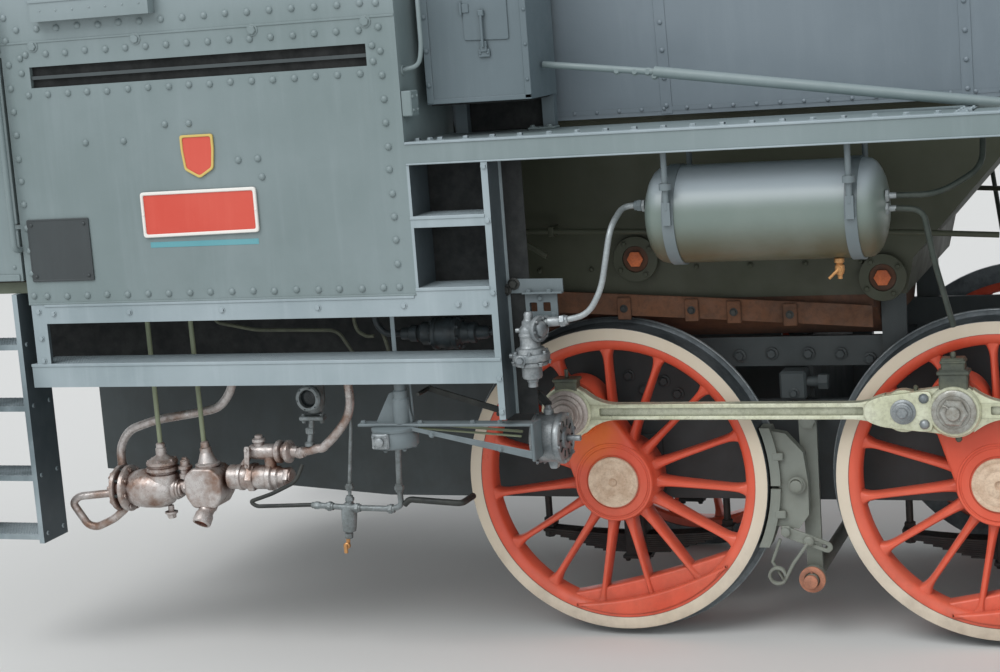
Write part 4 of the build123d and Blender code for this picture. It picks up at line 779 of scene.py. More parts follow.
def ponyWheel():
    p = pony
    axis, at = (0, -1, 0), zero
    rim = [(p["rimOuter"], 0.69), (p["rimOuter"], 0.8175), (0.364, 0.8185), (0.352, 0.81),
        (p["rimInner"], 0.796), (p["rimInner"], 0.712), (0.348, 0.695)]
    hub = [(0.085, 0.64), (0.12, 0.64), (0.132, 0.655), (0.132, 0.79), (p["hubR"], 0.815), (0.122, 0.83),
        (0.092, 0.832), (0.085, 0.828)]
    end = mm2(84, 700, 84, 846, 80, 850, 16, 850, 10, 843, 2, 843)
    return [ringLathe(rim, at, axis, 80, 0), lathe(hub, at, axis, 48, 0), lathe(end, at, axis, 40, 3),
        blades(p["spokes"], 0.118, 0.346, 0.798, 0.1, 0.08, 0.0185, 0.0145)] + tyreRings(p["treadR"],
        p["flangeR"], p["rimOuter"] - 0.001)


ponyShapes = [moved(s, engine["ponyX"], 0, engine["ponyZ"]) for s in ponyWheel()]
ponyShapes += [mirrored(s) for s in ponyShapes]
ponyShapes.append(lathe(mm2(85, -700, 78, -500, 78, 500, 85, 700), (engine["ponyX"], 0, engine["ponyZ"]),
        across, 32, 2))
makePiece("ponyWheels", ponyShapes, wheelFinish, "pony_axle", ["pony_wheelset"])


# Coupling rods: fluted bars between eyes, with oil boxes, and knuckles before axle 2 and behind axle 4.
rodForm = dict(webFront=0.93, webBack=0.904, flangeFront=0.944, flangeBack=0.892, eyeFront=0.96,
    eyeBack=0.874, half=0.0345, flute=0.017, knuckle=0.205)


def rodEdge(s, half, eye):
    # upper edge at distance s from a pin: falls from the eye's height to the bar's in a smooth curve
    u = np.clip((s - 0.075) / 0.15, 0, 1)
    return half + (eye * 0.8 - half) * (1 - u) ** 2.2


def rodOutline(x0, x1, half, eye0, eye1):
    # eye arcs at both ends, smooth edges between
    xs = np.concatenate([x0 + np.linspace(0.075, 0.225, 10), x1 - np.linspace(0.225, 0.075, 10)])
    high = np.maximum(rodEdge(xs - x0, half, eye0), rodEdge(x1 - xs, half, eye1))
    top = np.stack([xs, high], -1)
    a0 = math.degrees(math.acos(0.075 / eye0))
    a1 = math.degrees(math.acos(0.075 / eye1))
    return np.concatenate([top[::-1], circleLoop(x0, 0, eye0, 24, a0, 360 - a0), top * [1, -1],
            circleLoop(x1, 0, eye1, 24, a1 - 180, 180 - a1)])


def couplingRod(side):
    f = rodForm
    turn = math.radians(crankTurn(side))
    pinDx, pinZ = engine["crankR"] * math.cos(turn), engine["wheelZ"] + engine["crankR"] * math.sin(turn)
    pins = {n: x + pinDx for n, x in axleX.items()}
    stops = [(pins[5], pins[4] - f["knuckle"], 0.118, 0.088), (pins[4], pins[3], 0.112, 0.118),
        (pins[3], pins[2], 0.118, 0.112), (pins[2] + f["knuckle"], pins[1], 0.088, 0.118)]
    shapes = []
    for x0, x1, e0, e1 in stops:
        outline = rodOutline(x0, x1, f["half"], e0, e1)
        flute = roundCorners([(x0 + 0.145, -f["flute"]), (x1 - 0.165, -f["flute"]),
                (x1 - 0.165, f["flute"]), (x0 + 0.145, f["flute"])], 0.006, 4)
        shapes.append(prism(outline, "xz", -f["webFront"], -f["webBack"], 3))
        shapes.append(prism(outline, "xz", -f["flangeFront"], -f["webFront"], 0, 0.003, [flute], steps=3))
        shapes.append(prism(outline, "xz", -f["webBack"], -f["flangeBack"], 0, 0.002, [flute]))
    axis = (0, -1, 0)
    for number, x in pins.items():
        shapes.append(lathe([(0.062, f["eyeBack"]), (0.104, f["eyeBack"]), (0.108, f["eyeBack"] + 0.004),
                    (0.108, f["eyeFront"] - 0.01), (0.1, f["eyeFront"]), (0.062, f["eyeFront"])], (x, 0, 0),
                axis, 48, 0))
        # oil box: body, cap and filler; the last axle's is low
        if number == 5:
            shapes += [box(x - 0.05, x + 0.05, -0.952, -0.884, 0.085, 0.14, 0.006, 1),
                box(x - 0.056, x + 0.056, -0.958, -0.878, 0.134, 0.15, 0.004, 1),
                rod((x, -0.918, 0.15), (x, -0.918, 0.186), 0.009, 12, 1)]
            continue
        shapes += [box(x - 0.058, x + 0.058, -0.956, -0.88, 0.085, 0.172, 0.006, 1),
            box(x - 0.066, x + 0.066, -0.962, -0.874, 0.15, 0.166, 0.004, 1),
            box(x - 0.048, x + 0.048, -0.952, -0.884, 0.166, 0.218, 0.005, 1),
            box(x - 0.052, x + 0.052, -0.955, -0.881, 0.196, 0.208, 0.003, 1),
            lathe(mm2(12, 210, 12, 232, 9, 240, 3, 240), (x, -0.918, 0), above, 12, 1),
            lathe(mm2(14, 0, 14, 18, 7, 26), (x + 0.01, -0.918, -0.108), below, 12, 1)]
    for knuckleX, way in ((pins[4] - f["knuckle"], 1), (pins[2] + f["knuckle"], -1)):
        cheek = roundCorners([(knuckleX - way * 0.095, -0.064), (knuckleX + way * 0.085, -0.086),
                (knuckleX + way * 0.118, -0.08), (knuckleX + way * 0.118, 0.08),
                (knuckleX + way * 0.085, 0.086), (knuckleX - way * 0.095, 0.064),
                (knuckleX - way * 0.16, 0.036), (knuckleX - way * 0.16, -0.036)], 0.03, 6)
        shapes.append(prism(cheek, "xz", -0.958, -0.876, 0, 0.005, steps=3, smooth=True))
        shapes.append(lathe(mm2(20, 950, 52, 956, 52, 962, 46, 966, 40, 967, 40, 976, 34, 980, 5, 980),
                (knuckleX, 0, 0), axis, 36, 2))
        shapes.append(bolts([(knuckleX, -0.98, 0)], axis, 0.024, 0.016, 2))
        ends = [(knuckleX + way * 0.085, -0.957, 0.055), (knuckleX + way * 0.085, -0.957, -0.052)]
        shapes.append(rivets(ends, axis, 0.022, 0.016, 2))
        shapes.append(lathe(mm2(10, 80, 10, 98, 4, 104), (knuckleX + way * 0.05, -0.918, 0), above, 10, 1))
        # the rod of the middle section ends behind the cheek
        neck = roundCorners([(knuckleX, -0.075), (knuckleX + way * 0.205, -0.105),
                (knuckleX + way * 0.205, 0.105), (knuckleX, 0.075)], 0.02, 4)
        shapes.append(prism(neck, "xz", -0.944, -0.892, 0, 0.004))
    if side > 0:
        shapes = [mirrored(s) for s in shapes]
    return [moved(s, 0, 0, pinZ) for s in shapes]


oilyIron = oldMetal("Oily cast iron", (104, 108, 92), (84, 90, 82), (44, 44, 36), 0.3, 0.42, 9.0)
rodFinish = [brightSteel, oilyIron, silverPaint, fluteSteel]
for side, label in ((-1, "right"), (1, "left")):
    makePiece("couplingRod" + label.capitalize(), couplingRod(side), rodFinish, "rod_set_" + label,
        ["coupling_rods_" + label])
print("coupling rods made")


# Cab sides: rivet rows, seam bead, blank plates, hand rails and window frames.
cabForm = dict(face=-engine["cabHalf"], rear=-2.418, front=-0.672, foot=1.688, seam=2.797, pitch=0.098,
    screwR=0.0055)


def spaced(x0, x1, pitch, z, y):
    # a row of places along x with about the given pitch
    return flatRow((x0, y, z), (x1, y, z), int(round(abs(x1 - x0) / pitch)) + 1)


def column(x, z0, z1, pitch, y):
    return flatRow((x, y, z0), (x, y, z1), int(round(abs(z1 - z0) / pitch)) + 1)


def rectLoop(x0, x1, z0, z1, grow, radius, steps):
    # a rounded rectangle, grown outwards on all sides
    x0, x1, z0, z1 = x0 - grow, x1 + grow, z0 - grow, z1 + grow
    return roundCorners([(x0, z0), (x1, z0), (x1, z1), (x0, z1)], radius, steps)


def windowFrame(x0, x1, z0, z1, y):
    # a rounded strip round a window, and the thin sash inside it
    outer, inner, sash = (rectLoop(x0, x1, z0, z1, *form)
        for form in ((0.035, 0.05, 5), (-0.004, 0.03, 5), (-0.045, 0.02, 4)))
    return [prism(outer, "xz", y - 0.007, y + 0.002, 0, 0.002, [inner]),
        prism(inner, "xz", y + 0.012, y + 0.028, 0, 0.002, [sash])]


def cabSideShapes():
    c = cabForm
    y, out = c["face"], aside
    rows = [spaced(-2.36, -0.745, c["pitch"], 2.853, y), spaced(-2.325, -0.76, c["pitch"], 2.745, y),
        spaced(-2.333, -0.77, c["pitch"], 2.57, y), spaced(-2.35, -0.74, c["pitch"], c["foot"], y),
        spaced(-2.36, -0.72, c["pitch"], 3.622, y), column(c["rear"], 1.69, 3.62, 0.102, y),
        column(c["front"], 1.69, 3.62, 0.098, y)]
    pairs = [(-2.356, 2.731), (-2.356, 2.667), (-0.706, 2.68), (-0.706, 2.616), (-2.077, 2.353),
        (-1.891, 2.351), (-1.685, 2.412), (-1.571, 2.41), (-1.355, 2.245), (-1.264, 2.247), (-1.252, 2.17)]
    rows.append(np.array([(x, y, z) for x, z in pairs]))
    hexes = [(x, y, 2.778) for x in (-2.288, -1.786, -1.236, -0.728)]
    shapes = [rivets(np.concatenate(rows), out), bolts(hexes, out, 0.019, 0.012),
        box(-2.449, -0.602, y - 0.0035, y + 0.001, c["seam"] - 0.005, c["seam"] + 0.004, 0.0015),
        box(-2.449, -0.602, y - 0.004, y + 0.001, 1.652, 1.66, 0.0015)]
    shapes += windowFrame(-2.26, -1.7, 2.975, 3.56, y) + windowFrame(-1.56, -0.88, 2.975, 3.56, y)
    shapes.append(rivets(spaced(-2.2, -1.72, 0.08, 2.925, y - 0.055), out, c["screwR"], 0.003))
    # light strip over the arm rest
    shapes.append(box(-2.254, -1.676, y - 0.06, y - 0.004, 2.958, 2.972, 0.003))
    return shapes


def platesShapes():
    # number board, its red field bare inside a raised pale border; a dark data board; a small plate above
    y = cabForm["face"]
    board = roundCorners(mm2(-1834, 1932, -1284, 1940, -1284, 2131, -1834, 2128), 0.016, 5)
    field = roundCorners(mm2(-1820, 1946, -1298, 1954, -1298, 2117, -1820, 2114), 0.01, 5)
    shapes = [prism(board, "xz", y - 0.014, y, 0, 0.003, [field]), prism(field, "xz", y - 0.009, y, 1)]
    small = roundCorners(mm2(-1540, 2177, -1472, 2215, -1462, 2300, -1462, 2362, -1618, 2362, -1618, 2300,
            -1608, 2215), 0.012, 4)
    middle = -1.54 + (small[:, :1] + 1.54) * 0.86
    inner = np.concatenate([middle, 2.275 + (small[:, 1:] - 2.275) * 0.88], 1)
    shapes += [prism(small, "xz", y - 0.01, y, 3, 0.002, [inner]), prism(inner, "xz", y - 0.006, y, 1)]
    data = roundCorners(mm2(-2413, 1755, -2103, 1755, -2103, 2030, -2413, 2030), 0.006, 3)
    dataField = roundCorners(mm2(-2405, 1763, -2111, 1763, -2111, 2022, -2405, 2022), 0.005, 3)
    shapes += [prism(data, "xz", y - 0.008, y, 4, 0.0015, [dataField]),
        prism(dataField, "xz", y - 0.0065, y, 4)]
    shapes.append(rivets([(x, y - 0.008, z) for z in (1.778, 2.006) for x in (-2.39, -2.126)], aside, 0.008,
            0.005, 4))
    shapes.append(box(-1.811, -1.295, y - 0.0012, y + 0.001, 1.888, 1.912, 0.0004, 2))
    screws = [(-1.826, y - 0.013, 2.03), (-1.291, y - 0.013, 2.035)]
    shapes.append(rivets(screws, aside, 0.006, 0.003))
    return shapes


boardWhite = paintedPlate("Board border", (232, 230, 224), (244, 243, 238), (150, 132, 118), 0.42, 0.0004,
    0.0, 1.2, 0.0)
boardRed = paintedPlate("Board red", (208, 74, 58), (226, 112, 96), (132, 60, 50), 0.38, 0.0004, 0.0, 1.2,
    0.5)
boardTeal = paintedPlate("Teal stripe", (92, 158, 168), (128, 178, 184), (96, 120, 120), 0.5, 0.0004)
boardYellow = paintedPlate("Ochre border", (206, 180, 96), (222, 200, 130), (120, 96, 60), 0.45, 0.0004)
boardBlack = paintedPlate("Data board", (58, 64, 66), (78, 86, 88), (44, 46, 44), 0.45, 0.0004, 0.5, 2.2,
    0.2)
makePiece("cabSideTrim", cabSideShapes(), greyPaint, both=True)
# dark sheets on the back of the slot under the windows and a dark cover on its middle bar: painted shade
makePiece("slotShade", [box(-2.3155, -0.7355, -1.4525, -1.449, 2.6005, 2.6895, 0.0005),
        box(-2.3155, -0.7355, -1.4685, -1.466, 2.6355, 2.6505, 0.0005, 1)], [deepShade, framePaint],
    both=True)
makePiece("cabBoards", platesShapes(), [boardWhite, boardRed, boardTeal, boardYellow, boardBlack],
    both=True)


def doorShapes():
    y = cabForm["face"]
    shapes = [box(-2.885, -2.478, y - 0.007, y + 0.001, z, z + 0.028, 0.002) for z in (1.762, 2.672, 3.585)]
    shapes += windowFrame(-2.84, -2.525, 2.975, 3.56, y)
    shapes.append(rivets(np.concatenate([column(-2.5, 1.82, 2.9, 0.11, y),
                column(-2.872, 1.82, 2.9, 0.11, y)]), aside, 0.01))
    grip = [(-2.8, y, 2.44), (-2.8, y - 0.05, 2.44), (-2.8, y - 0.05, 2.28), (-2.8, y, 2.28)]
    handle = pipe(grip, 0.009, 0.03, 10)
    plate = box(-2.825, -2.775, y - 0.004, y, 2.25, 2.47, 0.002)
    return shapes + [handle, plate]


doorShape = doorShapes()
makePiece("doorTrimRight", doorShape, greyPaint, "side_door_right")
makePiece("doorTrimLeft", [mirrored(s) for s in doorShape], greyPaint, "side_door_left")


def cabFittings():
    # hand rails beside the doorway and at the front corner, gutters, roof ribs and ventilator
    shapes = [pipe(mm3(-600, -1430, 3460, -512, -1430, 3460, -510, -1430, 2660, -525, -1430, 2585, -602,
                -1430, 2572), 0.0095, 0.05, 12)]
    shapes += [rod((-0.603, -1.43, z), (-0.594, -1.43, z), 0.022) for z in (3.46, 2.572)]
    shapes += [box(-0.601, -0.556, -1.472, -1.392, 2.386, 2.489, 0.004),
        rivets(mm3(-555, -1455, 2410, -555, -1455, 2465, -555, -1410, 2410, -555, -1410, 2465), ahead,
            0.008)]
    rail = mm3(-2462, -1452, 2950, -2462, -1520, 2950, -2462, -1520, 1900, -2462, -1452, 1900)
    shapes.append(pipe(rail, 0.013, 0.04, 12))
    half, eaves, rise = 1.515, 3.67, 0.57
    radius = (half ** 2 + rise ** 2) / (2 * rise)
    middle = eaves + rise - radius
    span = math.degrees(math.asin(half / radius))
    for x in (-3.052, -2.45, -1.15, -0.528):
        # rib: a strip that follows the roof's arc
        outer = circleLoop(0, middle, radius + 0.014, 40, 90 - span, 90 + span)
        inner = circleLoop(0, middle, radius - 0.002, 40, 90 + span, 90 - span)
        shapes.append(prism(np.concatenate([outer, inner]), "yz", x - 0.016, x + 0.016, 0, 0.003))
    hatchTop = 4.3
    shapes += [box(-2.34, -1.26, -0.37, 0.37, hatchTop, hatchTop + 0.022, 0.004),
        box(-2.2, -1.4, -0.25, 0.25, hatchTop + 0.022, hatchTop + 0.04, 0.004)]
    for side in (-1, 1):
        shapes.append(pipe([(-3.03, side * 1.522, 3.7), (-0.55, side * 1.522, 3.7)], 0.01, 0.05, 10))
        shapes += [box(-0.601, -0.59, side * 0.985, side * 1.355, z, z + 0.028, 0.003)
            for z in (2.972, 3.56)]
        shapes += [box(-0.601, -0.59, side * y, side * (y + 0.028), 2.972, 3.588, 0.003)
            for y in (0.982, 1.327)]
    return shapes


makePiece("cabFittings", cabFittings(), greyPaint)


def rimLoop(x, y, z, radius, thick, segments, mat):
    # the round rim of a hand wheel, in the plane across the engine
    ring = circleLoop(y, z, radius, segments)
    ring = np.append(ring, ring[:1], 0)
    return sweep(np.insert(ring, 0, x, 1), thick, 8, mat)


def floorInside():
    # seen through windows and doors: planked floor, seats, regulator, wheel valves, gauges, fire door
    shapes = [box(-2.9, -1.05, -1.43 + n * 0.143, -1.293 + n * 0.143, 1.748, 1.754, 0.001, 0)
        for n in range(20)]
    back = -1.02
    fireDoor = mm2(240, 0, 240, 20, 220, 30, 100, 34, 10, 50)
    shapes += [lathe(fireDoor, (back, 0, 2.15), aft, 32, 1),
        box(back - 0.06, back, -0.3, -0.26, 2.02, 2.28, 0.006, 1),
        pipe([(back, 0.1, 3.35), (back - 0.12, 0.1, 3.35), (back - 0.14, -0.55, 3.3)], 0.018, 0.05, 10, 1),
        box(-1.62, -1.3, -1.36, -1.02, 2.28, 2.33, 0.012, 0),
        box(-1.5, -1.42, -1.24, -1.16, 1.75, 2.28, 0.006, 1),
        box(-1.62, -1.3, 1.02, 1.36, 2.28, 2.33, 0.012, 0),
        box(-1.5, -1.42, 1.16, 1.24, 1.75, 2.28, 0.006, 1)]
    for y, z, r in ((-0.62, 3.15, 0.09), (0.6, 3.15, 0.09), (-0.3, 3.42, 0.075), (0.3, 3.42, 0.075),
            (0.0, 3.62, 0.07)):
        shapes.append(lathe([(r, 0.0), (r, 0.05), (r * 0.86, 0.055), (r * 0.86, 0.045), (0.01, 0.045)],
                (back, y, z), aft, 28, 2))
        shapes.append(pipe([(back - 0.02, y, z - r), (back - 0.02, y, z - r - 0.1),
                    (back, y * 0.9, z - r - 0.22)], 0.008, 0.04, 8, 2))
    for y, z in ((-0.52, 2.72), (0.5, 2.76), (-0.26, 2.98), (0.26, 2.98), (-0.7, 2.42), (0.7, 2.42)):
        shapes += [rimLoop(back - 0.11, y, z, 0.055, 0.007, 24, 3),
            rod((back, y, z), (back - 0.115, y, z), 0.011, 12, 2),
            box(back - 0.112, back - 0.104, y - 0.052, y + 0.052, z - 0.005, z + 0.005, 0.002, 3),
            box(back - 0.112, back - 0.104, y - 0.005, y + 0.005, z - 0.052, z + 0.052, 0.002, 3)]
    for y in (-0.16, 0.16):
        shapes.append(rod((back - 0.05, y, 2.7), (back - 0.05, y, 3.02), 0.012, 16, 2))
        shapes += [rod((back, y, z), (back - 0.06, y, z), 0.02, 12, 2) for z in (2.72, 3.0)]
    # reverser column with its hand wheel on the right side
    shapes += [rimLoop(-1.2, -1.12, 2.72, 0.2, 0.013, 40, 3),
        rod((-1.2, -1.12, 2.72), (-0.66, -1.12, 2.66), 0.03, 16, 1),
        box(-1.16, -1.06, -1.17, -1.07, 1.75, 2.74, 0.01, 1)]
    shapes += [sweep([(-1.2, -1.12 - 0.2 * math.cos(a), 2.72 - 0.2 * math.sin(a)),
                (-1.2, -1.12 + 0.2 * math.cos(a), 2.72 + 0.2 * math.sin(a))], 0.009, 8, 3)
        for a in (0.3, 0.3 + math.pi / 3, 0.3 + 2 * math.pi / 3)]
    return shapes


plankWood = oldMetal("Floor planks", (112, 96, 78), (90, 78, 64), (52, 44, 36), 0.0, 0.75, 4.0, 0.002)
handWheel = paintedPlate("Hand wheel red", (176, 50, 40), (196, 80, 64), (80, 40, 34), 0.4)
makePiece("cabInside", floorInside(), [plankWood, darkGrease, brassTap, handWheel])
print("cab made")


# Steps, running boards and locker.
treadForm = dict(pitch=0.0125, dotR=0.0042, dotHigh=0.0022)


def treadDots(x0, x1, y0, y1, z):
    # small four-sided studs in staggered rows on a tread
    f = treadForm
    xs = np.arange(x0 + 0.012, x1 - 0.01, f["pitch"])
    ys = np.arange(y0 + 0.012, y1 - 0.01, f["pitch"])
    gx, gy = np.meshgrid(xs, ys, indexing="ij")
    gy = gy + (np.arange(len(xs)) % 2)[:, None] * f["pitch"] / 2
    stud = lathe([(f["dotR"], -0.0005), (f["dotR"] * 0.5, f["dotHigh"])], zero, above, 4, 0, False)
    points = np.stack([gx.ravel(), np.minimum(gy.ravel(), y1 - 0.008), np.full(gx.size, z)], -1)
    return scatter(stud, points, above, 0.4)


def stepShapes():
    y0, y1 = -engine["cabHalf"], -1.275
    shapes = [treadDots(-2.47, -0.25, y0, y1, 1.384), treadDots(-0.6, -0.278, y0, y1, 1.681),
        treadDots(-0.6, -0.278, y0, y1, 1.976)]
    shapes += [treadDots(-2.905, -2.535, y0, y1, z + 0.024) for z in (0.577, 0.85, 1.17, 1.45)]
    for z0, z1, x0, x1 in ((1.372, 1.386, -2.472, -0.252), (1.669, 1.683, -0.602, -0.276),
            (1.964, 1.978, -0.602, -0.276), (1.64, 1.652, -2.372, -0.61)):
        shapes.append(box(x0, x1, y0 - 0.004, y0 + 0.01, z0, z1, 0.002))
    # one strap, bolt heads on posts and ladders, and dark sheets behind the steps and over the post's inner
    # flange that are painted shade
    shapes += [box(-0.812, -0.792, y1 - 0.006, y1 - 0.001, 1.385, 1.66, 0.002),
        box(-0.596, -0.28, y1 + 0.004, y1 + 0.009, 1.64, 2.19, 0.002, 1),
        box(-2.7, -0.28, -1.06, -1.052, 1.28, 1.69, 0.002, 1),
        box(-0.6, -0.452, -0.8, -0.79, 1.502, 2.29, 0.002, 1),
        box(-0.236, -0.149, y1 - 0.073, y1 - 0.069, 1.125, 2.19, 0.001, 1)]
    heads = [(-0.264, y0, z) for z in (1.16, 1.3, 1.655, 1.95, 2.17)] + [(-2.405, y0, z)
        for z in (1.4, 1.5, 1.62)]
    heads += [(x, y0, 1.61) for x in (-2.33, -1.95, -1.5, -1.05, -0.66, -0.42, -0.3)]
    shapes.append(bolts(heads, aside, 0.011, 0.008))
    sides = [(-2.51, y, z) for z in (0.6, 0.87, 1.19, 1.47) for y in (-1.44, -1.31)]
    shapes.append(rivets(sides, ahead, 0.011))
    return shapes


makePiece("stepTreads", stepShapes(), [stepPaint, deepShade], both=True)


def boardShapes():
    # lip, bolts and stiffeners of the running boards
    y0, top = -engine["cabHalf"], engine["boardTop"]
    shapes = [box(-0.6, 9.298, y0 - 0.005, y0 + 0.05, top - 0.006, top + 0.004, 0.002),
        box(-0.6, 9.298, y0 - 0.004, y0 + 0.012, top - 0.09, top - 0.083, 0.002)]
    near = [(x, -1.4, top) for x in (-0.569, -0.515, -0.47, -0.359, -0.244, -0.126, -0.002)]
    far = [(x, -1.4, top) for x in np.arange(0.115, 9.2, 0.118)]
    shapes.append(bolts(np.array(near + far), above, 0.013, 0.014))
    joints = np.arange(1.62, 9.0, 1.25)
    shapes += [box(x - 0.03, x + 0.03, -1.46, -0.98, top, top + 0.006, 0.002) for x in joints]
    shapes.append(rivets(np.array([(x + dx, y, top + 0.006) for x in joints for dx in (-0.018, 0.018)
                for y in np.arange(-1.42, -1.0, 0.08)]), above, 0.008))
    return shapes


makePiece("boardTrim", boardShapes(), stepPaint, both=True)


def lockerShapes():
    y = -1.3
    door = roundCorners(mm2(-369, 2671, -177, 2665, -177, 3120, -369, 3120), 0.008, 3)
    shapes = [prism(door, "xz", y - 0.006, y + 0.001, 0, 0.002),
        box(-0.552, -0.522, y - 0.006, y + 0.002, 2.424, 3.246, 0.002),
        box(-0.125, -0.098, y - 0.004, y + 0.002, 2.424, 3.246, 0.002),
        box(-0.552, -0.098, y - 0.004, y + 0.002, 2.42, 2.44, 0.002),
        box(-0.556, -0.094, y - 0.006, -0.955, 3.244, 3.256, 0.004),
        rivets(column(-0.538, 2.5, 3.2, 0.14, y - 0.006), aside, 0.012),
        rivets(column(-0.111, 2.5, 3.2, 0.14, y - 0.004), aside, 0.008)]
    # latch: plate, staple and hanging padlock-like hasp
    shapes += [box(-0.3, -0.272, y - 0.016, y - 0.004, 2.62, 2.665, 0.003),
        box(-0.31, -0.262, y - 0.01, y, 2.6, 2.632, 0.002),
        rod((-0.286, y - 0.02, 2.64), (-0.286, y - 0.02, 2.772), 0.006),
        box(-0.298, -0.274, y - 0.024, y - 0.004, 2.765, 2.79, 0.003),
        rivets([(-0.302, y - 0.01, 2.616), (-0.27, y - 0.01, 2.616)], aside, 0.006)]
    for z in (2.8, 3.02):
        shapes += [box(-0.374, -0.34, y - 0.011, y - 0.004, z - 0.018, z + 0.018, 0.002),
            rod((-0.374, y - 0.012, z - 0.025), (-0.374, y - 0.012, z + 0.025), 0.006)]
    return shapes


makePiece("lockerTrim", lockerShapes(), lockerShadedPaint)
makePiece("lockerShade", [box(-0.548, -0.11, -0.962, -0.952, 2.279, 2.419, 0.003),
        box(-0.548, -0.12, -1.27, -0.97, 2.412, 2.4195, 0.002)], deepShade)
makePiece("lockerPost", [box(-0.214, -0.095, -1.045, -0.965, 2.278, 2.288, 0.003),
        bolts(mm3(-195, -1030, 2288, -120, -1030, 2288), above, 0.01)], greyPaint)
print("steps, boards and locker made")


# Injector group under the cab: water valve, nozzle box, delivery barrel, check valve and their pipes.
injector = dict(y=-1.25, z=0.766, boxX=-1.764, boxZ=0.796, rodTop=1.652)


def ringPoints(centre, axis, radius, count, phase=0.2):
    # places on a circle round an axis, and the axis
    side, up, ax = (w[0] for w in frameOf(axis))
    a = np.arange(count) * 2 * np.pi / count + phase
    return np.asarray(centre, float) + radius * (np.cos(a)[:, None] * side + np.sin(a)[:, None] * up), ax


def ringBolts(centre, axis, radius, count, size, high, mat=0, phase=0.2):
    return bolts(*ringPoints(centre, axis, radius, count, phase), size, high, mat)


def ringStuds(centre, axis, radius, count, size, length, mat=0):
    # short round studs on a circle, as between two flanges
    stud = lathe([(size, 0.0), (size, length)], zero, above, 8)
    return dict(scatter(stud, *ringPoints(centre, axis, radius, count)), mat=mat)


def pipeRun(points, radius, bend, nuts, mat=0, nutMat=0):
    # a pipe with a union nut at each listed end: (which end, distance from it)
    p = [np.asarray(q, float) for q in points]
    shapes = [pipe(p, radius, bend, 14, mat)]
    for end, back in nuts:
        a, b = (p[0], p[1]) if end == 0 else (p[-1], p[-2])
        way = (b - a) / np.linalg.norm(b - a)
        shapes += unionNut(a + way * back, way, radius, 0.046, nutMat)
    return shapes


def waterValve():
    y, z = injector["y"], injector["z"]
    drum = mm2(45, 0, 60, 2, 98, 6, 104, 10, 104, 26, 98, 30, 80, 32, 78, 46, 98, 50, 105, 54, 105, 72, 98,
        78, 78, 84, 85, 110, 89, 150, 89, 215, 83, 250, 70, 275, 57, 288, 50, 292, 50, 310, 45, 313, 45,
        322, 38, 325, 38, 334, 31, 338, 10, 340)
    x0 = -2.235
    shapes = [lathe(drum, (x0, y, z), ahead, 40),
        ringBolts((x0 + 0.007, y, z), aft, 0.086, 8, 0.011, 0.012),
        ringStuds((x0 + 0.03, y, z), ahead, 0.088, 8, 0.009, 0.022, 1),
        ringBolts((x0 + 0.078, y, z), ahead, 0.088, 8, 0.011, 0.01),
        lathe(mm2(40, 0, 38, 6, 18, 10, 16, 20), (x0 + 0.002, y, z), aft, 20)]
    # neck with its rings and the spindle that goes up to the cab
    neck = mm2(72, 0, 73, 70, 63, 74, 63, 82, 75, 86, 75, 100, 65, 104, 65, 110, 72, 114, 72, 126, 60, 136,
        44, 144, 34, 150, 24, 156, 24, 186, 20, 190, 20, 206, 13, 212)
    shapes += [lathe(neck, (-1.995, y, z), above, 36),
        ringBolts((-1.995, y, z + 0.127), above, 0.059, 6, 0.009, 0.012),
        rod((-1.995, y, z + 0.205), (-1.997, y, injector["rodTop"]), 0.011, 14, 2),
        hexLathe(mm2(19, 0, 22, 4, 22, 20, 19, 24), (-1.996, y, 1.3), above, 2)]
    # drain below, and a small cock at the upper left
    shapes += [rod((-1.973, y, z - 0.078), (-1.973, y, z - 0.11), 0.014, 12),
        bolts([(-1.973, y, z - 0.108)], below, 0.022, 0.03),
        rod((-2.245, y, z + 0.03), (-2.275, y, z + 0.052), 0.012, 12),
        bolts([(-2.245, y - 0.02, z + 0.034)], aside, 0.017, 0.022),
        lathe(mm2(30, 0, 30, 20, 25, 24, 25, 40, 32, 43, 32, 55, 22, 60, 22, 78, 12, 86),
            (-1.88, y, z + 0.05), above, 24),
        bolts([(-1.88, y, z + 0.132)], above, 0.013, 0.012)]
    return shapes


def nozzleBox():
    y, x, z = injector["y"], injector["boxX"], injector["boxZ"]
    corners = [(-0.09, -0.05), (-0.054, -0.104), (0.054, -0.104), (0.09, -0.05), (0.09, 0.042),
        (0.048, 0.078), (-0.048, 0.078), (-0.09, 0.042)]
    outline = roundCorners([(x + dx, z + dz) for dx, dz in corners], 0.016, 4)
    shapes = [prism(outline, "xz", y - 0.076, y + 0.076, 0, 0.012, steps=4, smooth=True),
        rod((-1.905, y, z - 0.02), (-1.845, y, z - 0.02), 0.03, 20)]
    shapes += unionNut((-1.872, y, z - 0.02), ahead, 0.031, 0.04)
    cone = mm2(50, 0, 56, 4, 56, 16, 44, 22, 36, 40, 29, 62, 26, 66, 26, 86, 20, 90, 18, 112, 12, 118)
    shapes += [lathe(cone, (x, y, z + 0.072), (-0.06, 0, 1), 28),
        rod((x - 0.01, y, z + 0.18), (-1.782, y, injector["rodTop"]), 0.011, 14, 2),
        hexLathe(mm2(18, 0, 21, 4, 21, 20, 18, 24), (-1.78, y, 1.28), above, 2)]
    # open spout, rusty inside
    at, way = (-1.76, y - 0.012, 0.722), (-0.16, -0.62, -0.77)
    shapes += [ringLathe(mm2(26, 0, 42, 0, 42, 40, 36, 52, 35, 70, 41, 80, 43, 118, 39, 124, 31, 124), at,
            way, 28),
        lathe(mm2(30.5, 108, 30.5, 110, 4, 113), at, way, 20, 3)]
    return shapes


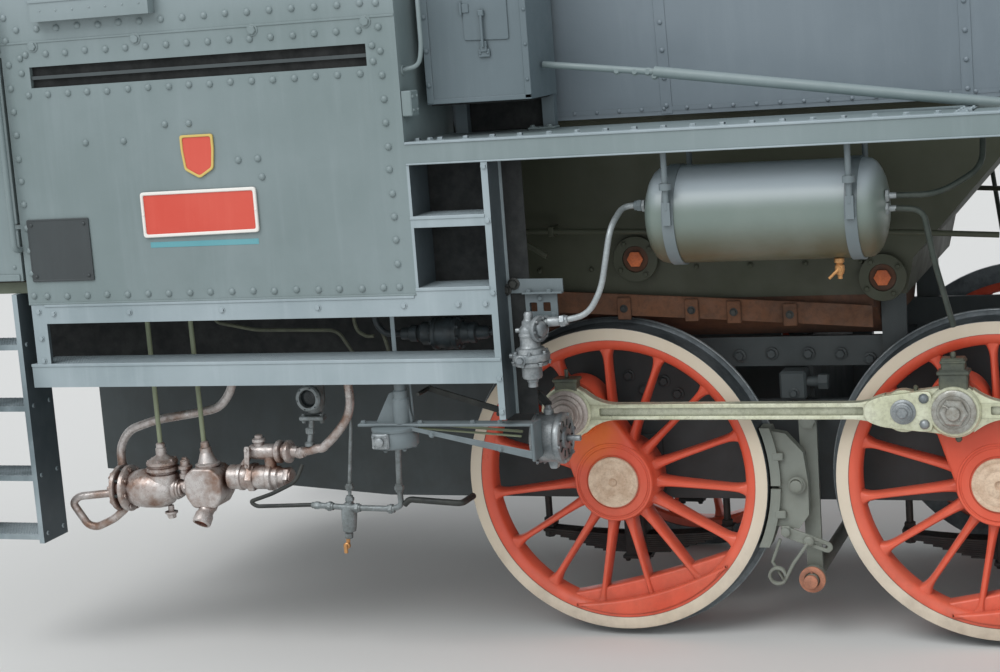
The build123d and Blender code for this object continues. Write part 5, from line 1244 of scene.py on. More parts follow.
def deliveryBarrel():
    y, z = injector["y"], 0.822
    barrel = mm2(40, 0, 48, 4, 55, 12, 55, 56, 60, 60, 60, 74, 54, 78, 54, 196, 60, 202, 60, 222, 50, 228,
        50, 250, 42, 258, 42, 282, 36, 288, 36, 312, 10, 318)
    shapes = [lathe(barrel, (-1.664, y, z), ahead, 32),
        hexLathe(mm2(62, 0, 66, 4, 66, 30, 62, 34), (-1.56, y, z), ahead),
        hexLathe(mm2(44, 0, 46, 3, 46, 22, 42, 26), (-1.384, y, z), ahead)]
    valve = mm2(20, 0, 28, 4, 34, 20, 36, 60, 34, 120, 30, 130, 49, 138, 51, 142, 51, 156, 47, 160, 34, 164,
        34, 178, 49, 182, 51, 186, 51, 200, 45, 205, 28, 210, 24, 236, 10, 238)
    shapes += [lathe(valve, (-1.55, y, 0.938), ahead, 28),
        rod((-1.452, y, 0.86), (-1.452, y, 0.93), 0.027, 20),
        rod((-1.6, y, 0.86), (-1.545, y, 0.93), 0.014, 12),
        lathe(mm2(24, 0, 24, 40, 30, 43, 30, 55, 18, 60, 18, 72, 8, 76), (-1.5, y, 0.94), above, 20),
        ringBolts((-1.402, y, 0.938), aft, 0.043, 6, 0.007, 0.008),
        prism(roundCorners(mm2(-1555, 872, -1532, 872, -1524, 972, -1548, 972), 0.01, 4), "xz", y - 0.058,
            y - 0.05, 0, 0.002),
        rod((-1.54, y - 0.062, 0.955), (-1.54, y - 0.02, 0.955), 0.008, 12),
        rod((-1.545, y - 0.064, 0.885), (-1.545, y - 0.03, 0.885), 0.006, 12)]
    return shapes


def injectorPipes():
    shapes = pipeRun(mm3(-1310, -1252, 931, -1204, -1270, 958, -1185, -1270, 957, -1112, -1270, 1020, -1051,
            -1270, 1095, -1032, -1270, 1163, -1045, -1270, 1362), 0.02, 0.05, [(0, 0.014)])
    shapes += pipeRun(mm3(-2230, -1250, 745, -2428, -1280, 731, -2464, -1280, 700, -2395, -1280, 597, -2346,
            -1280, 588, -2241, -1280, 634, -2190, -1260, 690), 0.018, 0.05, [(0, 0.03), (1, 0.03)])
    shapes += pipeRun(mm3(-2231, -1200, 826, -2245, -1180, 939, -2190, -1180, 1020, -2042, -1180, 1068,
            -1828, -1180, 1099, -1712, -1180, 1122, -1643, -1180, 1208, -1620, -1180, 1362), 0.02, 0.06,
        [(0, 0.02)])
    shapes += pipeRun(mm3(-1289, -1270, 884, -1313, -1300, 814, -1435, -1300, 758, -1545, -1300, 722, -1517,
            -1300, 700, -1232, -1280, 706), 0.009, 0.03, [], 1)
    # drain line along the group: nuts, elbow, riser and the run to the right
    y = -1.28
    shapes += pipeRun([(-1.245, y, 0.704), (-1.038, y, 0.694), (-0.872, y, 0.692), (-0.83, y, 0.706),
            (-0.833, y, 0.786), (-0.825, y, 0.941), (-0.81, y, 1.089)], 0.013, 0.03, [(0, 0.015)], 6, 6)
    for x, z in ((-1.169, 0.7), (-1.04, 0.694), (-0.88, 0.692)):
        shapes += unionNut((x, y, z), (1, 0, -0.05), 0.016, 0.034, 6)
    shapes += unionNut((-0.833, y, 0.786), above, 0.016, 0.034, 6)
    shapes += [pipe([(-0.815, y, 0.712), (-0.79, y, 0.735), (-0.55, y, 0.72), (-0.545, -1.15, 0.72)], 0.014,
            0.03, 12, 1)]
    return shapes


def checkValve():
    y, x, z = -1.262, -1.219, 1.185
    body = mm2(24, 0, 34, 6, 42, 30, 47, 60, 47, 140, 38, 158, 34, 166, 34, 205, 48, 210, 50, 215, 50, 252,
        40, 258)
    shapes = [lathe(body, (x, y + 0.03, 1.106), above, 28),
        ringLathe(mm2(38, 0, 57, 0, 58, 4, 58, 18, 52, 26, 40, 26), (x, y - 0.02, z), aside, 36),
        lathe(mm2(39, 0, 39, 8, 22, 14, 4, 16), (x, y - 0.018, z), aside, 28, 4),
        ringBolts((x, y - 0.04, z), aside, 0.05, 6, 0.005, 0.006),
        box(x - 0.062, x + 0.052, y - 0.018, y + 0.03, 1.082, 1.1, 0.003),
        bolts([(x - 0.048, y + 0.004, 1.082), (x + 0.038, y + 0.004, 1.082)], below, 0.01, 0.014),
        bolts([(x - 0.048, y + 0.004, 1.1), (x + 0.038, y + 0.004, 1.1)], above, 0.009, 0.01),
        rod((x - 0.008, y, 1.086), (-1.249, y, 0.968), 0.012, 14),
        hexLathe(mm2(16, 0, 20, 4, 20, 26, 16, 30), (-1.24, y, 1.02), above),
        lathe(mm2(14, 0, 22, 6, 22, 18, 12, 26), (-1.248, y, 0.962), above, 16)]
    # drip line, pot and tap
    shapes += [pipe([(-1.041, -1.27, 1.12), (-1.044, y, 1.053), (-1.074, y, 0.8), (-1.079, y, 0.735)],
            0.008, 0.03, 10)]
    for dx, z0 in ((-1.076, 0.783), (-1.08, 0.728)):
        shapes += unionNut((dx, y, z0), (0.03, 0, 1), 0.015, 0.03)
    shapes += [lathe(mm2(16, 0, 30, 6, 33, 30, 36, 100, 33, 120, 18, 134), (-1.095, y, 0.58), (0.08, 0, 1),
            24),
        hexLathe(mm2(17, 0, 19, 3, 19, 22, 16, 26), (-1.1, y, 0.552), (0.08, 0, 1)),
        rod((-1.103, y, 0.553), (-1.108, y, 0.515), 0.009, 12, 5),
        lathe(mm2(14, 0, 15, 3, 15, 16, 10, 20), (-1.108, y, 0.52), aside, 14, 5),
        box(-1.116, -1.1, y - 0.03, y - 0.02, 0.49, 0.53, 0.002, 5)]
    return shapes


injectorMetal = oldMetal("Injector bronze", (206, 201, 198), (140, 112, 96), (88, 54, 40), 0.55, 0.31, 7.0,
    0.0015, 0.9)
greyFitting = oldMetal("Grey fitting", (140, 148, 150), (106, 112, 112), (60, 60, 56), 0.35, 0.42, 12.0)
controlRod = paintedPlate("Control rod paint", (138, 148, 120), (158, 166, 140), (78, 78, 60), 0.5)
orangeRust = oldMetal("Orange rust", (206, 112, 66), (176, 92, 58), (120, 62, 42), 0.0, 0.75, 16.0)
gaugeGlass = oldMetal("Sight glass", (36, 42, 44), (48, 54, 56), (24, 26, 26), 0.2, 0.15, 20.0, 0.0002, 0.2)
injectorFinish = [injectorMetal, darkGrease, controlRod, orangeRust, gaugeGlass, brassTap]
makePiece("injectorGroup", waterValve() + nozzleBox() + deliveryBarrel(), injectorFinish,
    replaces=["injectors"], both=True)
makePiece("injectorPipes", injectorPipes(), [*injectorFinish, greyFitting], both=True)
makePiece("checkValves", checkValve(), [greyFitting, *injectorFinish[1:]], both=True)
print("injectors made")


# Drive beside the last crank pin: bracket, round box, struts and drum.
driveForm = dict(y=-1.4, flangeZ=1.101, end=-0.16, turn=3.0, drumX=-0.205, drumY=-1.23, drumZ=0.998)


def driveShapes():
    d = driveForm
    y, z = d["y"], d["flangeZ"]
    end = d["end"]
    shapes = [box(-0.935, end, y - 0.035, y + 0.035, z - 0.012, z, 0.003),
        prism(roundCorners([(-0.862, z - 0.002), (-0.79, z + 0.13), (-0.72, z + 0.138), (-0.69, z - 0.002)],
                0.012, 3), "xz", y - 0.006, y + 0.006, 0, 0.002),
        prism([(-0.765, z - 0.012), (-0.69, z - 0.012), (end, z - 0.116), (end, z - 0.15)], "xz", y - 0.035,
            y - 0.027, 0, 0.002),
        lathe(mm2(36, 0, 36, 100, 30, 106, 30, 136, 24, 142, 24, 261), (-0.742, y, z), above, 24),
        rod((-0.7, y + 0.02, z), (-0.704, y + 0.02, 1.362), 0.006, 10),
        bolts([(x, y - 0.015, z) for x in (-0.915, -0.655, -0.42, -0.3)], above, 0.011, 0.012),
        bolts([(-0.742, y - 0.006, z + 0.115)], aside, 0.012, 0.012),
        bolts([(-0.6, y - 0.035, z - 0.046), (-0.3, y - 0.035, z - 0.106)], aside, 0.01, 0.008)]
    # flat strut behind and two thin rods
    strut = mm2(-663, 1216, -652, 1240, -318, 1140, -322, 1112)
    shapes += [prism(roundCorners(strut, 0.008, 3), "xz", -1.304, -1.296, 1, 0.002),
        rod((-0.655, -1.42, 1.225), (-0.655, -1.27, 1.225), 0.009, 12, 1),
        rod((-0.325, -1.36, 1.126), (-0.325, -1.27, 1.126), 0.009, 12, 1),
        rod((-0.69, -1.33, 1.082), (-0.232, -1.33, 1.046), 0.006, 10, 2),
        rod((-0.69, -1.35, 1.066), (-0.232, -1.35, 1.03), 0.005, 10, 2)]
    # round box
    case = mm2(60, 0, 88, 2, 98, 8, 100, 14, 100, 60, 96, 66, 96, 72, 99, 76, 99, 86, 90, 90, 30, 92)
    shapes += [lathe(case, (-0.78, y, z - 0.104), above, 40),
        ringBolts((-0.78, y, z - 0.104), below, 0.08, 6, 0.008, 0.008),
        box(-0.842, -0.766, y - 0.114, y - 0.08, z - 0.092, z - 0.028, 0.006, 3),
        bolts([(x, y - 0.114, zz) for x in (-0.832, -0.776) for zz in (z - 0.082, z - 0.038)], aside, 0.006,
            0.006, 3),
        lathe(mm2(18, 0, 18, 12, 12, 16), (-0.804, y - 0.112, z - 0.06), aside, 18, 3)]
    return shapes


def driveDrum():
    d = driveForm
    a = math.radians(d["turn"])
    at = np.array([d["drumX"], d["drumY"], d["drumZ"]])
    axis = np.array([math.cos(a), -math.sin(a), 0])
    profile = mm2(60, 0, 104, 2, 108, 6, 108, 14, 103, 18, 103, 100, 107, 104, 109, 108, 109, 124, 105, 130,
        90, 134, 86, 128, 46, 128, 42, 136, 20, 138, 15, 130, 4, 130)
    shapes = [lathe(profile, at, axis, 56, 3), ringBolts(at + axis * 0.13, axis, 0.098, 6, 0.008, 0.008, 3),
        ringBolts(at + axis * 0.016, axis, 0.112, 8, 0.007, 0.008, 3)]
    side = np.array([math.sin(a), math.cos(a), 0])
    for k in range(10):
        # dark bars round the middle of the cover stand for its slots: painted shade
        t = k * math.tau / 10
        middle = at + axis * 0.1285 + (side * math.cos(t) + np.array([0, 0, 1]) * math.sin(t)) * 0.066
        long = side * math.cos(t) + np.array([0, 0, 1]) * math.sin(t)
        shapes.append(sweep(np.stack([middle - long * 0.013, middle, middle + long * 0.013]), 0.004, 8, 1))
    shapes += [box(d["end"] - 0.004, d["end"] + 0.01, -1.435, -1.325, 0.94, 1.101, 0.004, 0),
        bolts([(d["end"] - 0.004, -1.39, z) for z in (0.965, 1.02, 1.075)], aft, 0.012, 0.012),
        prism(roundCorners(mm2(-160, 905, -112, 905, -120, 866, -150, 866), 0.008, 3), "xz", -1.25, -1.21,
            3, 0.003),
        lathe(mm2(22, 0, 22, 22, 16, 28, 10, 40), at + axis * 0.06 + [0, 0, 0.1], above, 16, 3),
        rod(at + axis * 0.12, at + axis * 0.195, 0.013, 16, 3)]
    # arm from the drum's shaft back to the crank pin
    arm = roundCorners(mm2(-214, 1176, -190, 1200, -138, 1136, -162, 1112), 0.01, 4)
    shapes += [prism(arm, "xz", -1.206, -1.192, 1, 0.003),
        rod((-0.202, -1.25, 1.186), (-0.202, -1.19, 1.186), 0.012, 14, 1)]
    return shapes


driveFinish = [fittingPaint, darkGrease, controlRod, silverPaint]
makePiece("speedDrive", driveShapes() + driveDrum(), driveFinish, replaces=["speed_drive"])


# Stacked valve beside the front step post.
feedForm = dict(x=-0.137, y=-1.43, base=1.254, plateZ=1.63, face=-1.3533, back=-1.3453)


def feedShapes():
    f = feedForm
    x, y, z, p = f["x"], f["y"], f["base"], f["plateZ"]
    hole = [roundCorners([(a, p - 0.076), (a + 0.032, p - 0.076), (a + 0.032, p - 0.038), (a, p - 0.038)],
            0.003, 2) for a in (-0.154, -0.096)]
    upper = roundCorners([(-0.279, p + 0.002), (-0.006, p + 0.002), (-0.006, p + 0.058), (-0.22, p + 0.062),
            (-0.279, p + 0.036)], [0.018, 0.002, 0.002, 0.016, 0.018], 4)
    hanging = [(-0.172, p - 0.117), (-0.034, p - 0.117), (-0.034, p + 0.004), (-0.172, p + 0.004)]
    shapes = [prism(upper, "xz", f["face"], f["back"], 0, 0.001),
        prism(hanging, "xz", f["face"], f["back"], 0, 0.001, hole),
        box(-0.176, -0.004, f["face"] - 0.028, f["face"], p + 0.001, p + 0.008, 0.001),
        bolts([(-0.252, f["face"], p + 0.018), (-0.216, f["face"], p + 0.042)], aside, 0.019, 0.02, 1),
        bolts([(-0.15, f["face"] - 0.014, p + 0.008), (-0.062, f["face"] - 0.014, p + 0.008)], above, 0.01,
            0.01),
        bolts([(-0.105, f["face"], p - 0.02), (-0.052, f["face"], p - 0.09)], aside, 0.01, 0.009)]
    stack = mm2(12, 0, 20, 2, 20, 20, 24, 24, 24, 32, 38, 38, 42, 46, 42, 84, 46, 88, 66, 92, 68, 95, 68,
        107, 66, 110, 76, 113, 78, 117, 78, 138, 76, 142, 62, 145, 60, 150, 58, 163, 46, 168, 42, 176, 42,
        210, 45, 214, 45, 222, 42, 226, 42, 243, 36, 252, 30, 258, 29, 274, 22, 279, 19, 286, 19, 304, 14,
        312, 4, 315)
    shapes += [lathe(stack, (x, y, z), above, 44, 2),
        ringBolts((x, y, z + 0.142), above, 0.068, 6, 0.009, 0.012, 2),
        ringBolts((x, y, z + 0.11), below, 0.072, 6, 0.008, 0.016, 2),
        bolts([(x - 0.02, y - 0.076, z + 0.124)], aside, 0.016, 0.016, 2),
        rod((x - 0.04, y, z + 0.236), (x - 0.058, y, z + 0.236), 0.01, 12, 2),
        rod((x - 0.04, y, z + 0.13), (x - 0.092, y, z + 0.13), 0.012, 12, 2)]
    # side cover, turned a little outwards, and the neck of the pipe
    way = np.array([0.93, -0.37, 0])
    centre = np.array([x, y, z + 0.245])
    cover = mm2(34, 0, 36, 40, 52, 46, 54, 50, 54, 60, 50, 64, 48, 62, 34, 62, 32, 72, 24, 78, 10, 80)
    shapes += [lathe(cover, centre, way, 40, 2),
        ringBolts(centre + way * 0.062, way, 0.043, 6, 0.006, 0.008, 2),
        rod((x + 0.052, y, z + 0.25), (x + 0.052, f["back"], z + 0.262), 0.024, 20, 2)]
    route = [(x + 0.06, y, z + 0.268), (x + 0.14, y, z + 0.272), (x + 0.255, y, z + 0.295),
        (x + 0.312, y + 0.02, z + 0.397), (x + 0.352, y + 0.06, z + 0.637), (x + 0.378, -1.25, 1.964),
        (0.335, -1.25, 1.964)]
    shapes += [pipe(route, 0.0125, 0.055, 14, 3),
        lathe(mm2(15, 0, 20, 4, 20, 50, 16, 56), (x + 0.082, y, z + 0.269), (1, 0, 0.05), 16, 2)]
    shapes += unionNut((x + 0.146, y, z + 0.273), (1, 0, 0.12), 0.0185, 0.042, 2)
    shapes += unionNut((0.312, -1.25, 1.964), ahead, 0.0185, 0.042, 0)
    return shapes


palePipe = oldMetal("Pale pipe", (168, 176, 178), (144, 152, 154), (96, 98, 96), 0.35, 0.42, 10.0, 0.0006,
    0.3)
makePiece("feedValve", feedShapes(), [fittingPaint, darkGrease, silverPaint, palePipe],
    replaces=["feed_valve"])
print("drive and feed valve made")


def hiddenShapes():
    # dark valve and thin pipes in the gap above the long step
    valve = mm2(18, 0, 26, 4, 26, 40, 36, 46, 36, 78, 30, 82, 44, 100, 50, 104, 52, 146, 66, 152, 70, 156,
        70, 170, 64, 176, 66, 205, 72, 222, 66, 244, 70, 252, 70, 268, 62, 274, 46, 284, 40, 316, 44, 320,
        44, 344, 30, 350, 28, 390, 18, 404)
    x, y, z = -0.784, -1.23, 1.452
    shapes = [lathe(valve, (x, y, z), ahead, 36),
        ringBolts((x + 0.268, y, z), ahead, 0.06, 8, 0.009, 0.012),
        ringBolts((x + 0.156, y, z), aft, 0.06, 8, 0.009, 0.012),
        hexLathe(mm2(30, 0, 30, 16, 24, 20), (x + 0.118, y, z), ahead),
        rod((x + 0.212, y, z - 0.066), (x + 0.212, y, 1.384), 0.022, 18),
        pipe([(x, y, z), (-0.86, y, z), (-0.9, y, 1.5), (-0.9, y, 1.69)], 0.014, 0.05, 12),
        pipe([(x + 0.4, y, z), (-0.33, y, z), (-0.31, -1.1, 1.5)], 0.014, 0.05, 12)]
    thin = ([(-1.7, 1.66), (-1.684, 1.514), (-1.491, 1.476), (-1.118, 1.468), (-1.086, 1.452),
            (-1.007, 1.331)], [(-1.013, 1.66), (-1.013, 1.498), (-1.0, 1.46), (-0.958, 1.437),
            (-0.926, 1.44)], [(-0.912, 1.66), (-0.91, 1.496), (-0.88, 1.444), (-0.861, 1.367),
            (-0.858, 1.3)])
    shapes += [pipe([(x, -1.2, z) for x, z in path], 0.008, 0.03, 10, 1) for path in thin]
    return shapes


darkCasting = oldMetal("Dark casting", (66, 74, 78), (54, 60, 62), (30, 30, 28), 0.35, 0.42, 10.0)
thinPipe = oldMetal("Thin olive pipe", (104, 108, 90), (84, 88, 76), (48, 46, 36), 0.2, 0.5, 10.0)
makePiece("hiddenValve", hiddenShapes(), [darkCasting, thinPipe], both=True)


# Air tanks with their end rings, unions, pipes and cock.
tankForm = dict(x0=0.332, x1=1.305, y=-1.2, z=1.916, r=0.197)


def tankShapes():
    t = tankForm
    length = t["x1"] - t["x0"]
    # dished ends: radius 0.985 r cos(a), depth 0.075 (1 - sin(a))
    turn = np.radians([80, 65, 50, 36, 22, 8])
    dish = [(t["r"] * 0.985 * math.cos(a), 0.075 * (1 - math.sin(a))) for a in turn]
    profile = [(0.012, 0.0), *dish, (t["r"], 0.085), (t["r"], 0.12), (t["r"] - 0.003, 0.122),
        (t["r"] - 0.003, 0.128), (t["r"], 0.13)]
    back = [(r, length - d) for r, d in profile[::-1]]
    shapes = [lathe(profile + back, (t["x0"], t["y"], t["z"]), ahead, 72)]
    ends = (((0.322, 1.962), -1), ((1.312, 1.963), 1), ((1.31, 1.913), 1))
    for (x, z), way in ends:
        shapes += [hexLathe(mm2(26, 0, 26, 10, 20, 13), (x - way * 0.012, -1.25, z), (way, 0, 0), 1),
            rod((x, -1.25, z), (x + way * 0.03, -1.25, z), 0.012, 12, 1)]
    shapes += [pipe(mm3(1335, -1250, 1963, 1500, -1240, 1960, 1660, -1160, 2050, 1660, -1100, 2175), 0.012,
            0.08, 12, 2),
        pipe(mm3(1335, -1250, 1913, 1440, -1250, 1905, 1470, -1220, 1700, 1520, -1100, 1420), 0.012, 0.08,
            12, 2)]
    # drain cock with its lever
    y = -1.25
    shapes += [lathe(mm2(16, 0, 20, 4, 20, 20, 13, 24, 13, 30), (1.107, y, 1.728), below, 12, 3),
        lathe(mm2(12, 0, 18, 6, 20, 24, 16, 40, 10, 46, 10, 60), (1.108, y, 1.703), below, 14, 3),
        rod((1.107, y - 0.026, 1.684), (1.107, y + 0.024, 1.684), 0.01, 12, 3),
        sweep([(1.107, y - 0.024, 1.684), (1.09, y - 0.026, 1.668), (1.069, y - 0.026, 1.648)], 0.006, 8,
            3)]
    return shapes


darkPipe = oldMetal("Dark green pipe", (56, 66, 60), (72, 80, 74), (34, 34, 30), 0.2, 0.5, 8.0, 0.0008)
makePiece("airTanks", tankShapes(), [tankPaint, palePipe, darkPipe, brassTap], replaces=["air_tanks"],
    both=True)


# Firebox and frame side behind the wheels: seams, washout plugs, brown strip, rods, bolt heads.
wallForm = dict(y=-0.83, plugY=-0.775, stripY=-0.76, frameY=-0.535)


def ledgeShapes():
    w = wallForm
    shapes = [rod((-0.52, w["y"] - 0.03, 1.834), (-0.36, w["y"] - 0.03, 1.831), 0.01, 12),
        pipe([(-0.359, w["y"] - 0.03, 1.831), (0.217, w["y"] - 0.03, 1.811), (1.274, w["y"] - 0.03, 1.773),
                (1.685, w["y"] - 0.03, 1.747)], 0.012, 0.05, 12)]
    shapes += [box(x - 0.012, x + 0.012, w["y"] - 0.045, w["y"] + 0.04, z - 0.022, z + 0.022, 0.003)
        for x, z in ((-0.2, 1.825), (0.55, 1.799), (1.2, 1.775))]
    for x, z in ((0.145, 1.683), (1.2, 1.575)):
        shapes += [ringLathe(mm2(56, 0, 98, 0, 100, 3, 98, 8, 58, 10), (x, w["plugY"], z), aside, 40, 1),
            lathe(mm2(56, 0, 56, 3, 20, 4), (x, w["plugY"], z), aside, 28, 2),
            hexLathe(mm2(36, 0, 36, 16, 28, 20), (x, w["plugY"], z), aside, 3),
            ringBolts((x, w["plugY"] - 0.009, z), aside, 0.08, 4, 0.01, 0.01, 1, 0.6)]
    # small stay heads in a row on the firebox side, a rod and a seam
    shapes.append(rivets([(x, -0.757, 1.64) for x in np.arange(-0.3, 1.25, 0.235)], aside, 0.011, 0.007, 1))
    shapes.append(rod((-0.4, -1.0, 1.868), (-0.181, -1.0, 1.736), 0.013, 16, 1))
    shapes.append(box(-0.448, 1.9, -0.806, -0.796, 2.283, 2.299, 0.003, 1))
    return shapes


def stripShapes():
    y = wallForm["stripY"]
    top = [(-0.38, 1.556), (-0.213, 1.548), (0.417, 1.509), (0.959, 1.472), (1.15, 1.458)]
    low = [(x, z - 0.094) for x, z in top[::-1]]
    shapes = [prism(np.array(top + low), "xz", y - 0.01, y, 0, 0.002)]
    shapes += [box(x - 0.03, x + 0.03, y - 0.022, y - 0.008, z - 0.105, z - 0.008, 0.004)
        for x, z in ((0.079, 1.524), (0.379, 1.511), (0.563, 1.499), (0.804, 1.483))]
    shapes.append(bolts([(x, y - 0.022, z - 0.056)
                for x, z in ((0.079, 1.524), (0.379, 1.511), (0.563, 1.499), (0.804, 1.483))], aside, 0.013,
            0.01, 1))
    return shapes


def frameBolts():
    y = wallForm["frameY"]
    near = [(0.522, 1.208), (0.666, 1.216), (0.827, 1.214), (0.967, 1.212), (1.093, 1.188), (0.01, 1.125),
        (0.171, 1.098), (0.077, 1.06), (0.232, 1.04)]
    further = [(x + n * engine["pitch"], z) for n in (1, 2, 3) for x, z in near]
    shapes = [bolts([(x, y, z) for x, z in near + further], aside, 0.021, 0.018)]
    # block with a cross shaft between two wheels, and its nut
    for n in range(4):
        x = n * engine["pitch"]
        shapes += [box(x + 0.713, x + 0.83, -0.64, y, 1.03, 1.155, 0.01),
            rod((x + 0.74, -0.605, 1.105), (x + 0.925, -0.605, 1.105), 0.022, 18),
            hexLathe(mm2(36, 0, 36, 40, 28, 46), (x + 0.88, -0.605, 1.105), ahead),
            bolts([(x + 0.776, -0.64, 1.06)], aside, 0.017, 0.016)]
    return shapes


brownStrip = oldMetal("Brown strip", (106, 70, 48), (84, 58, 42), (40, 32, 26), 0.0, 0.75, 5.0)
makePiece("wallFittings", ledgeShapes(), [oliveSheet, oliveSheet, rustyPan, orangeRust],
    both=True)
makePiece("brownStrips", stripShapes(), [brownStrip, darkGrease], both=True)
makePiece("frameBoltHeads", frameBolts(), framePaint, both=True)


def reachShapes():
    # bolt heads on the flat end of the reversing rod and its joint
    y = -1.15
    shapes = [bolts([(x, y, z) for x, z in ((-0.125, 2.547), (0.224, 2.505), (0.299, 2.497), (0.353, 2.493),
                (0.381, 2.476))], aside, 0.013, 0.014)]
    return shapes


makePiece("reversingTrim", reachShapes(), greyPaint)
print("tanks and firebox side made")


# Leaf springs drawn leaf by leaf, brake details, cladding seams.
springForm = dict(y0=-0.56, y1=-0.47, top=0.395, rise=0.025, half=0.44, short=0.16, leaves=9, thick=0.0094)


def springShapes():
    f = springForm
    shapes = []
    for k in range(f["leaves"]):
        # leaf k: top edge z = top + rise (x / half)^2 - k thick, and shorter towards the bottom
        reach = f["half"] - (f["half"] - f["short"]) * max(0, k - 1) / (f["leaves"] - 2)
        x = np.linspace(-reach, reach, 13)
        z = f["top"] + f["rise"] * (x / f["half"]) ** 2 - k * f["thick"]
        loop = np.concatenate([np.stack([x, z], -1),
                np.stack([x[::-1], z[::-1] - f["thick"] + 0.0008], -1)])
        shapes.append(prism(loop, "xz", f["y0"], f["y1"], 0, 0.001))
    shapes += [box(-0.05, 0.05, -0.565, -0.465, 0.29, 0.56, 0.006),
        box(-0.064, 0.064, -0.57, -0.46, 0.282, 0.3, 0.004),
        bolts([(x, y, 0.282) for x in (-0.045, 0.045) for y in (-0.548, -0.482)], below, 0.012, 0.014),
        bolts([(0, -0.565, 0.352)], aside, 0.018, 0.016)]
    for x in (-0.42, 0.42):
        shapes += [rod((x, -0.515, 0.372), (x, -0.515, 0.56), 0.016, 16),
            box(x - 0.03, x + 0.03, -0.555, -0.475, 0.42, 0.436)]
        shapes += [hexLathe(mm2(26, 0, 26, 22, 20, 26), (x, -0.515, z), way)
            for z, way in ((0.436, above), (0.394, below))]
    return shapes


springSteel = oldMetal("Dark spring steel", (44, 48, 49), (60, 60, 56), (26, 24, 22), 0.2, 0.55, 7.0)
oneSpring = springShapes()
makePiece("leafSprings", [moved(s, x) for x in axleX.values() for s in oneSpring], springSteel,
    replaces=["leaf_springs"], both=True)


def brakeShapes():
    # pin caps, nuts, slotted link and wire spring of one brake, relative to its axle
    shapes = [lathe(mm2(36, 0, 38, 4, 30, 8, 26, 10, 26, 26, 20, 30), (0.801, -0.803, 0.692), aside, 24),
        sweep(np.insert(circleLoop(0.801, 0.7, 0.026, 20, -40, 220), 1, -0.822, 1), 0.004, 6),
        hexLathe(mm2(34, 0, 36, 4, 36, 16, 26, 20), (0.847, -0.736, 0.96), aside),
        ringLathe(mm2(34, 0, 54, 0, 57, 4, 57, 16, 50, 20, 34, 20), (0.847, -0.79, 0.275), aside, 32, 1),
        lathe(mm2(30, 0, 30, 16, 22, 20, 6, 21), (0.847, -0.829, 0.275), aside, 24, 1),
        rod((0.847, -0.812, 0.236), (0.847, -0.812, 0.314), 0.005, 8, 1)]
    # lugs of the shoe blocks, each with its wedge
    shapes += [box(0.7, 0.748, -0.812, -0.79, z, z + 0.034, 0.004) for z in (0.545, 0.8)]
    # link with a slot: belts round two circles
    slot = hullOutline((0.868, 0.438), 0.0075, (0.912, 0.422), 0.0075, 8)
    link = hullOutline((0.744, 0.484), 0.024, (0.918, 0.42), 0.024, 12)
    shapes += [prism(link, "xz", -0.806, -0.792, 0, 0.003, [slot]),
        box(0.722, 0.766, -0.814, -0.74, 0.466, 0.512, 0.008),
        lathe(mm2(20, 0, 20, 12, 12, 16), (0.744, -0.812, 0.488), aside, 16),
        lathe(mm2(22, 0, 22, 12, 14, 18), (0.842, -0.804, 0.448), aside, 16)]
    # spring wire: a leg from each end to a coil
    coil = np.insert(circleLoop(0.7, 0.29, 0.036, 28, -20, 700), 1, 0.0, 1)
    coil[:, 1] = np.linspace(-0.818, -0.796, len(coil))
    path = np.concatenate([[(0.838, -0.818, 0.44), (0.772, -0.818, 0.35)], coil,
            [(0.676, -0.796, 0.35), (0.716, -0.796, 0.452)]])
    shapes.append(sweep(path, 0.0075, 8))
    return shapes


oneBrake = brakeShapes()
nutRust = oldMetal("Rusty nut", (186, 126, 100), (150, 104, 84), (92, 62, 50), 0.0, 0.7, 14.0)
makePiece("brakeTrim", [moved(s, x) for x in axleX.values() for s in oneBrake], [brakePaint, nutRust],
    both=True)


def claddingY(z):
    # the flat side of the cladding leans in towards its foot: y = -(radius - lean (boilerZ - z))
    return -(engine["claddingR"] - 0.065 / 0.781 * (engine["boilerZ"] - np.asarray(z)))


def claddingShapes():
    out = (0, -1, 0.083)
    shapes = []
    for x in (0.353, 1.585):
        z = np.array([2.306, 3.075])
        strip = np.stack([claddingY(z), z], -1)
        strip = np.concatenate([strip - [0.003, 0], strip[::-1] + [0.004, 0]])
        shapes.append(prism(strip, "yz", x - 0.024, x + 0.024, 0, 0.0015))
        # the same strip goes on over the round top: radius r, angle a
        shapes.append(arcStrip(x - 0.024, x + 0.024, engine["claddingR"], 0.9535, 3, 177))
        z = np.linspace(2.34, 3.03, 7)
        shapes.append(rivets(np.stack([np.full(7, x), claddingY(z) - 0.003, z], -1), out, 0.011, 0.007))
    z = np.array([2.318, 2.335])
    seam = np.stack([claddingY(z), z], -1)
    shapes.append(prism(np.concatenate([seam - [0.002, 0], seam[::-1] + [0.003, 0]]), "yz", -0.59, 1.94, 0,
            0.001))
    x = np.arange(-0.54, 1.93, 0.098)
    shapes.append(rivets(np.stack([x, np.full(len(x), float(claddingY(2.327)) - 0.002),
                np.full(len(x), 2.327)], -1), out, 0.009, 0.006))
    return shapes


def arcStrip(x0, x1, low, high, start, end, mat=0, segments=60):
    # a strip that follows the boiler's round from one angle to another, measured from -y over the top
    outer = circleLoop(0, engine["boilerZ"], high, segments, start, end)
    inner = circleLoop(0, engine["boilerZ"], low - 0.004, segments, end, start)
    return prism(np.concatenate([outer, inner]), "yz", x0, x1, mat, 0.001)


makePiece("claddingTrim", claddingShapes(), boilerPaint, both=True)
print("springs, brakes and cladding made")


# Boiler, smokebox and front end. Rows of heads on rings are listed as x, count and size.
frontForm = dict(boxFront=8.96, z=engine["boilerZ"], chimneyX=8.05, cylX=8.05, cylY=1.06,
    cylZ=engine["wheelZ"], valveZ=1.33, beamX=11.005)


